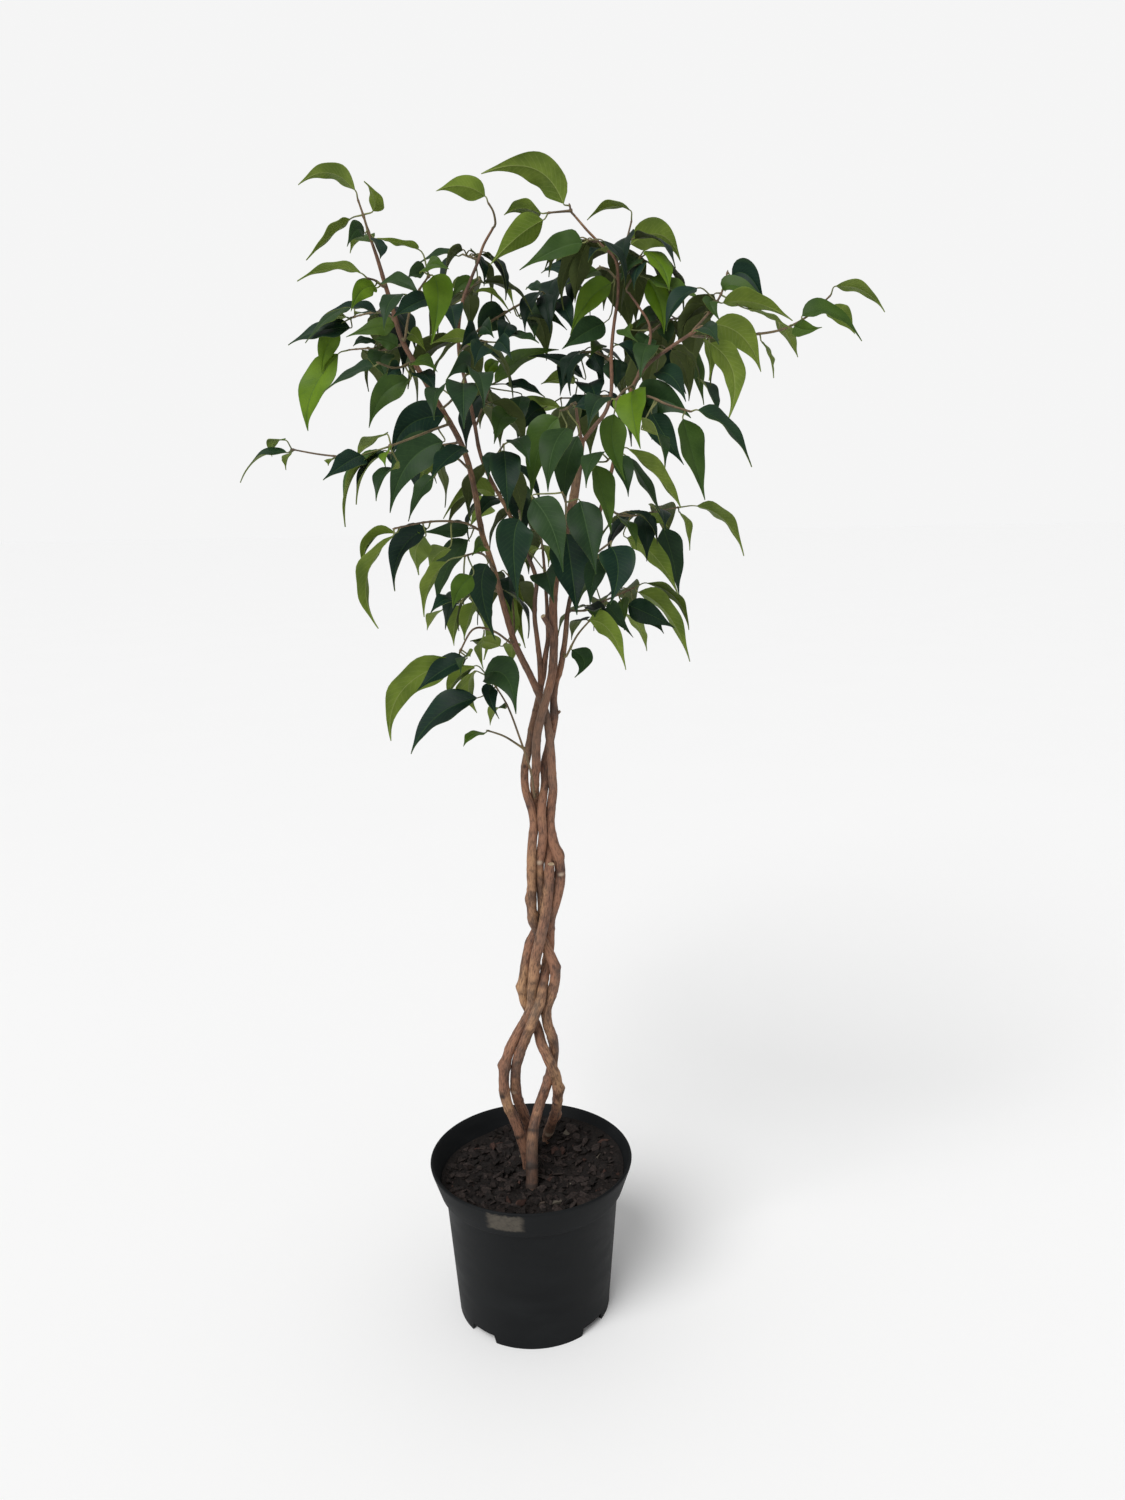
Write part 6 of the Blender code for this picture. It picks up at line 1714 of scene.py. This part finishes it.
class Paint:
    """A material as it is being built from shader nodes."""

    def __init__(self, name):
        self.material = bpy.data.materials.new(name)
        self.material.use_nodes = True
        self.tree = self.material.node_tree
        self.shader = self.tree.nodes["Principled BSDF"]

    def node(self, kind, values=(), **settings):
        """Add a node; values are its inputs, each a number, a vector or a node's output."""
        made = self.tree.nodes.new(kind)
        for name, value in settings.items():
            setattr(made, name, value)
        for slot, value in enumerate(values):
            self.put(made.inputs[slot], value)
        return made

    def put(self, socket, value):
        """Set a socket or link an output to it."""
        if isinstance(value, bpy.types.NodeSocket):
            self.tree.links.new(value, socket)
        else:
            socket.default_value = value

    def math(self, operation, *values):
        """Return the output of a math node."""
        return self.node("ShaderNodeMath", values, operation=operation).outputs[0]

    def vector(self, operation, *values):
        """Return a vector math node."""
        return self.node("ShaderNodeVectorMath", values, operation=operation)

    def split(self, vector):
        """Return a vector's three numbers."""
        return self.node("ShaderNodeSeparateXYZ", (vector,)).outputs

    def mix(self, share, first, second):
        """Return a mix of two colours."""
        made = self.node("ShaderNodeMix", data_type="RGBA")
        self.put(made.inputs[0], share)
        for socket, colour in ((made.inputs[6], first), (made.inputs[7], second)):
            self.put(socket, colour if isinstance(colour, bpy.types.NodeSocket) else opaque(colour))
        return made.outputs[2]

    def tint(self, colour, other, share, strength):
        """Return a colour with some of another mixed in, at most to a strength."""
        return self.mix(self.math("MULTIPLY", share, strength), colour, other)

    def noise(self, scale, detail, rough=0.55, name=None):
        """Return a noise over the object's places or a named map; a larger scale is finer."""
        made = self.node("ShaderNodeTexNoise")
        self.put(made.inputs["Vector"], self.place(scale, name))
        self.put(made.inputs["Scale"], 1.0)
        self.put(made.inputs["Detail"], detail)
        self.put(made.inputs["Roughness"], rough)
        return made.outputs["Fac"]

    def ramp(self, value, low, high, first=0.0, last=1.0):
        """Return a value smoothly mapped from one range to another."""
        values = (value, low, high, first, last)
        return self.node("ShaderNodeMapRange", values, interpolation_type="SMOOTHSTEP").outputs[0]

    def place(self, scale=1.0, name=None):
        """Return places on the object, or on a named map, scaled alike or by three numbers."""
        if name is None:
            source = self.node("ShaderNodeTexCoord").outputs["Object"]
        else:
            source = self.node("ShaderNodeUVMap", uv_map=name).outputs[0]
        scales = scale if isinstance(scale, tuple) else (scale, scale, scale)
        return self.vector("MULTIPLY", source, scales).outputs[0]

    def tone(self):
        """Return the tone that the mesh holds."""
        return self.node("ShaderNodeAttribute", attribute_name="tone").outputs["Fac"]

    def bump(self, height, strength, distance):
        """Bend the surface's light by a height."""
        made = self.node("ShaderNodeBump")
        made.inputs["Strength"].default_value = strength
        made.inputs["Distance"].default_value = distance
        self.put(made.inputs["Height"], height)
        self.put(self.shader.inputs["Normal"], made.outputs[0])

    def finish(self, colour, roughness, specular=USUAL_SHINE):
        """Give the surface its colour, roughness and shine, and return the material."""
        self.put(self.shader.inputs["Base Color"], colour)
        self.put(self.shader.inputs["Roughness"], roughness)
        self.put(self.shader.inputs["Specular IOR Level"], specular)
        return self.material


def opaque(colour):
    """Return red, green and blue with full cover."""
    return (*colour, 1.0)


def grey(value):
    """Return a grey as red, green and blue."""
    return (value, value, value)


def leaf_paint(name, look):
    """Return the material of one face of a leaf, veined along its own map."""
    paint = Paint(name)
    sideways, along, _ = paint.split(paint.place(name="grain"))
    across = paint.math("ABSOLUTE", sideways)
    slant = paint.math("SUBTRACT", along, paint.math("MULTIPLY", across, VEIN_SLANT))
    lines = paint.math("MULTIPLY", slant, VEIN_FINENESS)
    lines = paint.math("MULTIPLY_ADD", paint.noise(*LEAF_WOBBLE), VEIN_WOBBLE, lines)
    vein = paint.ramp(paint.math("SINE", lines), 0.80, 1.0)
    vein = paint.math("MULTIPLY", vein, paint.ramp(across, *VEIN_FADE))
    midrib = paint.ramp(across, *MIDRIB_FADE)
    tone = paint.tone()
    mottle = paint.noise(*LEAF_MOTTLE)
    speckle = paint.noise(*LEAF_SPECKLE)
    dark = paint.mix(tone, *look["dark"])
    light = paint.mix(tone, *look["light"])
    vein_tint, vein_height = look["vein"]
    rib_tint, rib_height = look["midrib"]
    colour = paint.mix(paint.ramp(mottle, 0.30, 0.72), dark, light)
    colour = paint.tint(colour, light, paint.ramp(speckle, 0.55, 0.8), 0.22)
    colour = paint.tint(colour, look["rib"], vein, vein_tint)
    colour = paint.tint(colour, look["rib"], midrib, rib_tint)
    # Inner leaves, with a tone below 0, are darkened towards painted shade
    colour = paint.tint(colour, look["shaded"], paint.ramp(tone, *SHADED_TONES), 0.75)
    colour = paint.tint(colour, look["rib"], paint.ramp(across, *LEAF_MARGIN), 0.18)
    height = paint.math("MULTIPLY", vein, vein_height)
    height = paint.math("MULTIPLY_ADD", midrib, rib_height, height)
    height = paint.math("MULTIPLY_ADD", mottle, 1.6, height)
    paint.bump(height, *LEAF_RELIEF)
    roughness = paint.ramp(mottle, 0.25, 0.75, *look["roughness"])
    return paint.finish(colour, roughness, look["specular"])


def wood_colour(paint, share, colours, patches, streaks):
    """Return the streaked colour of wood, and its dark part, from pairs of colours."""
    dark = paint.mix(share, *colours[0])
    light = paint.mix(share, *colours[1])
    mottled = paint.math("MULTIPLY_ADD", patches, 0.65, paint.math("MULTIPLY", streaks, 0.45))
    colour = paint.mix(paint.ramp(mottled, 0.41, 0.66), dark, light)
    return paint.tint(colour, dark, paint.ramp(streaks, 0.50, 0.36), 0.55), dark


def bark_marks_and_light(paint, colour):
    """Return the bark's colour with its dark and pale marks, and darker in the crown; the pale colour
    also paints light on the right stem's foot.
    """
    tone = paint.tone()
    colour = paint.mix(paint.ramp(tone, 0.42, 0.08), colour, BARK_DARK_MARK)
    colour = paint.mix(paint.ramp(tone, 0.58, 0.92), colour, BARK_PALE_MARK_AND_HIGHLIGHT)
    crown = paint.ramp(paint.split(paint.place())[2], *BARK_CROWN_HEIGHTS)
    return paint.tint(colour, BARK_CROWN, crown, 0.34)


def wood_paint(name, young):
    """Return the material of bark, or of young twigs and leaf stalks."""
    paint = Paint(name)
    streaks = paint.noise(*WOOD_STREAKS)
    flecks = paint.noise(*WOOD_FLECKS)
    patches = paint.noise(*WOOD_PATCHES)
    pores = paint.noise(*WOOD_PORES)
    if young:
        share, colours = paint.tone(), (TWIG_DARK, TWIG_LIGHT)
    else:
        golden = paint.noise(*BARK_GOLDEN)
        share, colours = paint.ramp(golden, 0.46, 0.63), (BARK_DARK, BARK_LIGHT)
    colour, dark = wood_colour(paint, share, colours, patches, streaks)
    fleck = paint.ramp(flecks, 0.66, 0.76)
    colour = paint.tint(colour, WOOD_FLECK, fleck, 0.25 if young else 0.55)
    if not young:
        weathered = paint.ramp(paint.noise(*BARK_WEATHER), 0.50, 0.64)
        colour = paint.tint(colour, BARK_WEATHERED, weathered, 0.34)
    colour = paint.tint(colour, dark, paint.ramp(pores, 0.62, 0.75), 0.45)
    if not young:
        colour = bark_marks_and_light(paint, colour)
    height = paint.math("MULTIPLY_ADD", streaks, 1.1, paint.math("MULTIPLY", flecks, 0.8))
    height = paint.math("MULTIPLY_ADD", pores, 0.35, height)
    paint.bump(height, *(TWIG_RELIEF if young else BARK_RELIEF))
    return paint.finish(colour, paint.ramp(patches, 0.3, 0.7, *BARK_ROUGHNESS))


def cut_paint():
    """Return the material of a cut end: pale wood with faint rings."""
    paint = Paint("cut_wood")
    reach = paint.vector("LENGTH", paint.place(name="grain")).outputs[1]
    rings = paint.math("SINE", paint.math("MULTIPLY", reach, CUT_RING_FINENESS))
    patches = paint.noise(*CUT_PATCHES)
    colour = paint.mix(paint.ramp(patches, 0.3, 0.7), *CUT_WOOD)
    colour = paint.mix(paint.ramp(rings, 0.2, 1.0, 0.0, 0.25), colour, CUT_RING)
    paint.bump(patches, *CUT_RELIEF)
    return paint.finish(colour, PLAIN_ROUGHNESS)


def soil_paint(name, chips):
    """Return the material of the potting mix, or of the bark chips in it."""
    paint = Paint(name)
    grit = paint.noise(*SOIL_GRIT)
    clods = paint.noise(*SOIL_CLODS)
    colour = paint.mix(paint.ramp(grit, 0.32, 0.70), *SOIL_COLOURS)
    if chips:
        tone = paint.tone()
        share = paint.ramp(grit, 0.3, 0.7)
        colour = paint.mix(paint.ramp(tone, 0.25, 0.85), colour, paint.mix(share, *CHIP_COLOURS))
        colour = paint.mix(paint.ramp(tone, 0.945, 0.955), colour, paint.mix(share, *CHIP_REDS))
        colour = paint.mix(paint.ramp(tone, 0.985, 0.990), colour, CHIP_PALE)
    colour = paint.tint(colour, SOIL_CLOD, paint.ramp(clods, 0.5, 0.8), 0.25)
    paint.bump(paint.math("MULTIPLY_ADD", clods, 0.6, grit), *SOIL_RELIEF)
    return paint.finish(colour, paint.ramp(clods, 0.3, 0.7, *SOIL_ROUGHNESS), SOIL_SHINE)


def painted_reflection(paint, dust):
    """Return how much of the pale, ragged and roughly oblong painted reflection is on the pot at a
    place.
    """
    away = paint.vector("SUBTRACT", paint.place(), tuple(from_photo(*PAINTED_REFLECTION_MIDDLE)))
    sideways, ahead, upright = paint.split(paint.vector("ABSOLUTE", away.outputs[0]).outputs[0])
    ragged = paint.noise(*PAINTED_REFLECTION_EDGE)
    sideways = paint.math("MULTIPLY_ADD", ragged, PAINTED_REFLECTION_RAGGED_WIDE, sideways)
    upright = paint.math("MULTIPLY_ADD", ragged, PAINTED_REFLECTION_RAGGED_TALL, upright)
    share = paint.math("MULTIPLY", paint.ramp(sideways, *PAINTED_REFLECTION_WIDE), paint.ramp(upright, *PAINTED_REFLECTION_TALL))
    share = paint.math("MULTIPLY", share, paint.ramp(ahead, *PAINTED_REFLECTION_DEEP))
    return paint.math("MULTIPLY", share, paint.ramp(dust, 0.25, 0.60, *PAINTED_REFLECTION_STRENGTH))


def pot_paint():
    """Return the pot's black satin plastic, faintly dusty, with a pale painted reflection on its band.
    """
    paint = Paint("pot_plastic")
    grain = paint.noise(*POT_GRAIN)
    smear = paint.noise(*POT_SMEARS)
    dust = paint.noise(*POT_DUSTING)
    scratch = paint.noise(*POT_SCRATCHES)
    reflection_share = painted_reflection(paint, dust)
    colour = paint.mix(paint.ramp(smear, 0.35, 0.75), *POT_COLOURS)
    colour = paint.tint(colour, POT_DUST, paint.ramp(dust, 0.60, 0.78), 0.30)
    # The pale painted reflection on the band, where the surface is also a little rougher
    colour = paint.mix(reflection_share, colour, POT_PAINTED_REFLECTION)
    height = paint.math("MULTIPLY_ADD", scratch, 0.5, paint.math("MULTIPLY", grain, 0.5))
    paint.bump(height, *POT_RELIEF)
    rough = paint.ramp(smear, 0.3, 0.75, *POT_ROUGHNESS)
    return paint.finish(colour, paint.math("MULTIPLY_ADD", reflection_share, 0.2, rough), POT_SHINE)


def floor_paint():
    """Return the pale plain floor's material."""
    paint = Paint("floor")
    low, high = FLOOR_GREYS
    colour = paint.mix(paint.noise(*FLOOR_CLOUDS), grey(low), grey(high))
    paint.bump(paint.noise(*FLOOR_GRAIN), *FLOOR_RELIEF)
    return paint.finish(colour, PLAIN_ROUGHNESS)


def make_stems(stems):
    """Make each stem with its forks; short cut forks show pale wood at their ends."""
    materials = [wood_paint("bark", False), cut_paint()]
    for number, (node, (stem, *forks)) in enumerate(stems.items()):
        draw = np.random.default_rng(STEM_SEED + number)
        offset = number / len(stems) + LUMPS_START
        shape = Shape()
        bark_tube(shape, stem, draw, offset, SCARS[node], FEET[node])
        for fork in forks:
            reach = np.linalg.norm(fork.rows[-1, :3] - fork.rows[0, :3])
            bark_tube(shape, fork, draw, offset, cut_end=reach < CUT_STUB_LENGTH)
        item = shape.make(node + "_bark", materials)
        item.data.set_sharp_from_angle(angle=BARK_SHARP_ANGLE)
        show(item, node)


def in_crown(point):
    """Say whether a point is seen inside the crown and isn't among the foremost leaves."""
    across, down = to_photo(point)
    heights, lefts, rights = zip(*CROWN)
    if point.y < FILL_FRONT or not heights[0] < down < heights[-1]:
        return False
    return np.interp(down, heights, lefts) < across < np.interp(down, heights, rights)


def drawn_leaf(paths, draw):
    """Return a leaf drawn at random: it grows from a twig and hangs outwards from it."""
    path = paths[draw.integers(len(paths))]
    fine = even_steps(path.rows, FINE_STEP)
    row = int(len(fine) * draw.uniform(*FILL_PLACES))
    root = Vector(fine[row, :3])
    turn = draw.uniform(0.0, 2 * math.pi)
    out = Vector((math.cos(turn), math.sin(turn), draw.uniform(*FILL_RISES))).normalized()
    base = root + out * draw.uniform(*FILL_STALKS)
    spine = Vector((out.x, out.y, -draw.uniform(*FILL_DROPS))).normalized()
    length = draw.uniform(*FILL_LENGTHS)
    level = Vector((0.0, 0.0, 1.0)) - spine * spine.z
    tilt = spine.cross(level).normalized() * draw.normal(0.0, FILL_TILT)
    top = (level.normalized() + tilt).normalized()
    bow = level / max(level.length, FULL_BOW_LEVEL) * LEAF_BOW + top * LEAF_ARCH
    leaf = Leaf(root, base, spine, top, bow, length, length * draw.uniform(*FILL_WIDTH_SHARES))
    leaf.seen = "inner"
    return leaf


def fill_crown(placed, twigs, obstacles):
    """Add leaves drawn at random where the inner and rear crown still has room."""
    for number, (node, leaves) in enumerate(placed.items()):
        draw = np.random.default_rng(FILL_SEED + number)
        added = 0
        for _ in range(FILL_TRIES):
            leaf = drawn_leaf(twigs[node], draw)
            tip = leaf.base + leaf.spine * leaf.length
            if added == FILL_PER_SPRAY or not (in_crown(leaf.base) and in_crown(tip)):
                continue
            if fits(leaf, node, obstacles, True):
                leaves.append(leaf)
                obstacles.add(node, "blade", leaf_points(leaf, 0.0), leaf_faces())
                added += 1


def make_sprays(placed, twigs, ends):
    """Make each leafy spray: its twigs, leaf stalks and blades."""
    materials = [
        leaf_paint("leaf_top", LEAF_TOP),
        leaf_paint("leaf_underside", LEAF_UNDERSIDE),
        wood_paint("twig", True),
    ]
    for number, (node, leaves) in enumerate(placed.items()):
        draw = np.random.default_rng(SPRAY_SEED + number)
        shape = Shape()
        roots = [leaf.root for leaf in leaves]
        for path in twigs[node]:
            twig_tube(shape, path, roots, ends, draw, draw.uniform(*TWIG_TONES))
        for leaf in leaves:
            tone = TONES[leaf.seen]
            tone = min(max(tone + draw.uniform(*TONE_DRIFT), min(tone, 0.0)), 1.0)
            petiole(shape, leaf, PETIOLE_TONES[0] + PETIOLE_TONES[1] * tone)
            blade(shape, leaf, tone, draw)
        show(shape.make(node + "_leaves", materials), node)


def fine_outside():
    """Return the pot's outer profile with rounded rim and band edges."""
    middle = RIM_RADIUS - RIM_ROUNDING
    lip = []
    for turn in np.linspace(0.0, math.pi / 2, RIM_STEPS):
        lip.append((middle + RIM_ROUNDING * math.sin(turn),
                    POT_HEIGHT - RIM_ROUNDING * (1 - math.cos(turn))))
    _, _, below_rim, corner, step, *foot = pot_outside()
    softened = [(corner[0] + out, corner[1] + up) for out, up in BAND_SOFTENING]
    softened += [(step[0] + out, step[1] + up) for out, up in STEP_SOFTENING]
    return lip + [below_rim] + softened + foot


def make_fine_pot():
    """Make the finely turned pot with its drain holes and foot notches."""
    cutters = bpy.data.collections.new("pot cutters")
    bpy.context.scene.collection.children.link(cutters)
    for angle in NOTCH_ANGLES:
        notch_cutter(cutters, angle)
    for angle in DRAIN_ANGLES:
        drain_cutter(cutters, angle)
    shell = as_mesh(turned("pot_shell", pot_inside() + fine_outside(), FINE_POT_STEPS))
    cut(shell, cutters)
    shell = as_mesh(shell)
    for cutter in list(cutters.objects):
        bpy.data.objects.remove(cutter, do_unlink=True)
    shell.data.materials.clear()
    shell.data.materials.append(pot_paint())
    shell.data.shade_smooth()
    shell.data.set_sharp_from_angle(angle=POT_SHARP_ANGLE)
    show(shell, "pot")


def lumps(x, y, edge):
    """Return how high the loose surface stands above its mean level."""
    fine = 0.0
    for fineness, layer, size in SOIL_LUMPS:
        fine += noise.noise(Vector((x * fineness, y * fineness, layer))) * size
    fade = min(1.0, (edge - math.hypot(x, y)) / SOIL_EDGE_FADE)
    return soil_height(x, y, edge) + fine * max(fade, 0.0)


def ring_points(radius, height):
    """Return points round the pot's axis."""
    turns = [step / SOIL_AROUND * 2 * math.pi for step in range(SOIL_AROUND)]
    return [(radius * math.cos(turn), radius * math.sin(turn), height) for turn in turns]


def soil_points(wall, edge, taper):
    """Return the mix's points: ring by ring out over its surface, then down the pot's wall."""
    points = [(0.0, 0.0, SOIL_TOP + lumps(0.0, 0.0, edge))]
    for ring in range(1, SOIL_RING_COUNT + 1):
        radius = edge * ring / SOIL_RING_COUNT
        for x, y, _ in ring_points(radius, SOIL_TOP):
            height = lumps(x, y, edge)
            wide = 1 + height * radius / edge * taper / edge
            points.append((x * wide, y * wide, SOIL_TOP + height))
    for radius, height in reversed(wall[1:-1]):
        points += ring_points(radius - SOIL_GAP, height + SOIL_GAP)
    return points + ring_points(SOIL_FOOT_RADIUS, wall[0][1] + SOIL_GAP)


def soil_faces(count):
    """Return the faces of a body of rings round its first point, with so many points."""
    faces = [(0, 1 + step, 1 + (step + 1) % SOIL_AROUND) for step in range(SOIL_AROUND)]
    for inner in range(1, count - SOIL_AROUND, SOIL_AROUND):
        outer = inner + SOIL_AROUND
        for step in range(SOIL_AROUND):
            beside = (step + 1) % SOIL_AROUND
            faces.append((inner + step, outer + step, outer + beside, inner + beside))
    faces.append(tuple(reversed(range(count - SOIL_AROUND, count))))
    return faces


def make_fine_soil(stems):
    """Make the potting mix: an uneven surface with loose chips lying in it."""
    wall = pot_inside()
    (low_radius, low), (high_radius, high) = wall[-2:]
    slope = (SOIL_TOP - low) / (high - low)
    edge = low_radius + (high_radius - low_radius) * slope - SOIL_GAP
    taper = (high_radius - low_radius) / (high - low)
    shape = Shape()
    points = soil_points(wall, edge, taper)
    shape.add(points, soil_faces(len(points)), 0, [(x, y) for x, y, _ in points], 0.0)
    add_chips(shape, edge, stems)
    item = shape.make("soil_mix", [soil_paint("soil_mix", False), soil_paint("soil_chips", True)])
    item.data.set_sharp_from_angle(angle=SOIL_SHARP_ANGLE)
    show(item, "soil")


def chip_form(middle, size, draw):
    """Return the points and faces of a chip with flat sides, turned and tilted at random."""
    stretch = [draw.uniform(*span) for span in CHIP_STRETCHES]
    spin = Matrix.Rotation(draw.uniform(0, CHIP_FULL_TURN), 3, "Z")
    spin = spin @ Matrix.Rotation(draw.normal(0, CHIP_TILT), 3, "X")
    chip = bmesh.new()
    for _ in range(CHIP_CORNERS):
        way = Vector(draw.standard_normal(3)).normalized() * draw.uniform(*CHIP_REACHES) * size
        chip.verts.new(middle + spin @ Vector([part * share for part, share in zip(way, stretch)]))
    made = bmesh.ops.convex_hull(chip, input=chip.verts)
    spare = {item for item in made["geom_interior"] + made["geom_unused"]
             if isinstance(item, bmesh.types.BMVert)}
    bmesh.ops.delete(chip, geom=list(spare), context="VERTS")
    chip.verts.index_update()
    points = [corner.co.copy() for corner in chip.verts]
    faces = [[corner.index for corner in face.verts] for face in chip.faces]
    chip.free()
    return points, faces


def add_chips(shape, edge, stems):
    """Scatter bark chips and crumbs on the mix, clear of the stems."""
    draw = np.random.default_rng(CHIP_SEED)
    feet = [path.rows[np.argmin(np.abs(path.rows[:, 2] - SOIL_TOP))] for path in stems]
    placed = 0
    while placed < CHIP_COUNT:
        radius = edge * math.sqrt(draw.uniform())
        turn = draw.uniform(0, 2 * math.pi)
        x = radius * math.cos(turn)
        y = radius * math.sin(turn)
        size = CHIP_SMALLEST + CHIP_GROWTH * draw.uniform() ** CHIP_POWER
        if radius + size > edge - CHIP_EDGE_MARGIN:
            continue
        spare = size * CHIP_STEM_SHARE
        if any(math.hypot(x - foot[0], y - foot[1]) < foot[3] + spare for foot in feet):
            continue
        placed += 1
        height = SOIL_TOP + lumps(x, y, edge) + size * draw.uniform(*CHIP_LIFTS)
        points, faces = chip_form(Vector((x, y, height)), size, draw)
        shape.add(points, faces, 1, [(point.x, point.y) for point in points], draw.uniform())


def make_floor():
    """Make the wide pale floor that the pot stands on."""
    corners = [(-1, -1), (1, -1), (1, 1), (-1, 1)]
    mesh = bpy.data.meshes.new("floor")
    places = [(x * FLOOR_REACH, y * FLOOR_REACH, 0.0) for x, y in corners]
    mesh.from_pydata(places, [], [(0, 1, 2, 3)])
    mesh.materials.append(floor_paint())
    floor = placed_item("floor", mesh)


def make_light():
    """Make the soft studio light and the pale surroundings."""
    lamp = bpy.data.lights.new("key", "SUN")
    lamp.energy = KEY_STRENGTH
    lamp.angle = KEY_SPREAD
    key = placed_item("key", lamp)
    key.rotation_euler = Vector(KEY_FROM).to_track_quat("Z", "Y").to_euler()
    world = bpy.data.worlds.new("surroundings")
    world.use_nodes = True
    tree = world.node_tree
    sky = tree.nodes["Background"]
    sky.inputs["Color"].default_value = opaque(grey(1.0))
    sight = tree.nodes.new("ShaderNodeLightPath")
    strength = tree.nodes.new("ShaderNodeMapRange")
    strength.inputs["To Min"].default_value = SKY_STRENGTH
    strength.inputs["To Max"].default_value = BACKDROP_STRENGTH
    tree.links.new(sight.outputs["Is Camera Ray"], strength.inputs["Value"])
    tree.links.new(strength.outputs["Result"], sky.inputs["Strength"])
    bpy.context.scene.world = world
    bpy.context.scene.view_settings.view_transform = "Standard"


def make_camera():
    """Make the camera that sees the plant as the photograph does."""
    data = bpy.data.cameras.new("view")
    data.lens = LENS
    data.sensor_width = SENSOR
    camera = placed_item("view", data)
    forward = Vector((0.0, math.cos(VIEW_PITCH), -math.sin(VIEW_PITCH)))
    right = Vector((1.0, 0.0, 0.0))
    turn = Matrix((right, right.cross(forward), -forward)).transposed()
    place = Matrix.Translation((VIEW_X, VIEW_Y, VIEW_Z)) @ turn.to_4x4()
    camera.matrix_world = place @ Matrix.Rotation(-VIEW_ROLL, 4, "Z")
    bpy.context.scene.camera = camera


def wood_obstacles(paths):
    """Return the stems and twigs as obstacles for the leaves."""
    obstacles = Obstacles()
    for path in paths:
        made = tube(path.node, path.rows, 1 if path.node in STEMS else 0)
        points = [point.co.copy() for point in made.data.vertices]
        faces = [tuple(face.vertices) for face in made.data.polygons]
        obstacles.add(path.node, "wood", points, faces)
        bpy.data.objects.remove(made, do_unlink=True)
    return obstacles


def main():
    """Build every piece and the studio round them."""
    stems = {node: stem_paths(node, stem) for node, stem in STEMS.items()}
    wood = [path for paths in stems.values() for path in paths]
    push_apart(wood, STEM_ROUNDS)
    for paths in stems.values():
        seat_forks(paths)
    for path in wood:
        path.held = len(path.rows)
    twigs = {}
    for node, spray in SPRAYS.items():
        twigs[node] = spray_paths(node, spray, stems[spray["stem"]])
    everything = wood + [path for paths in twigs.values() for path in paths]
    push_apart(everything, TWIG_ROUNDS)
    obstacles = wood_obstacles(everything)
    placed = place_leaves(twigs, obstacles)
    fill_crown(placed, twigs, obstacles)
    make_sprays(placed, twigs, [path.rows[-1] for path in wood])
    make_stems(stems)
    make_fine_soil([paths[0] for paths in stems.values()])
    make_fine_pot()
    make_floor()
    make_light()
    make_camera()


main()
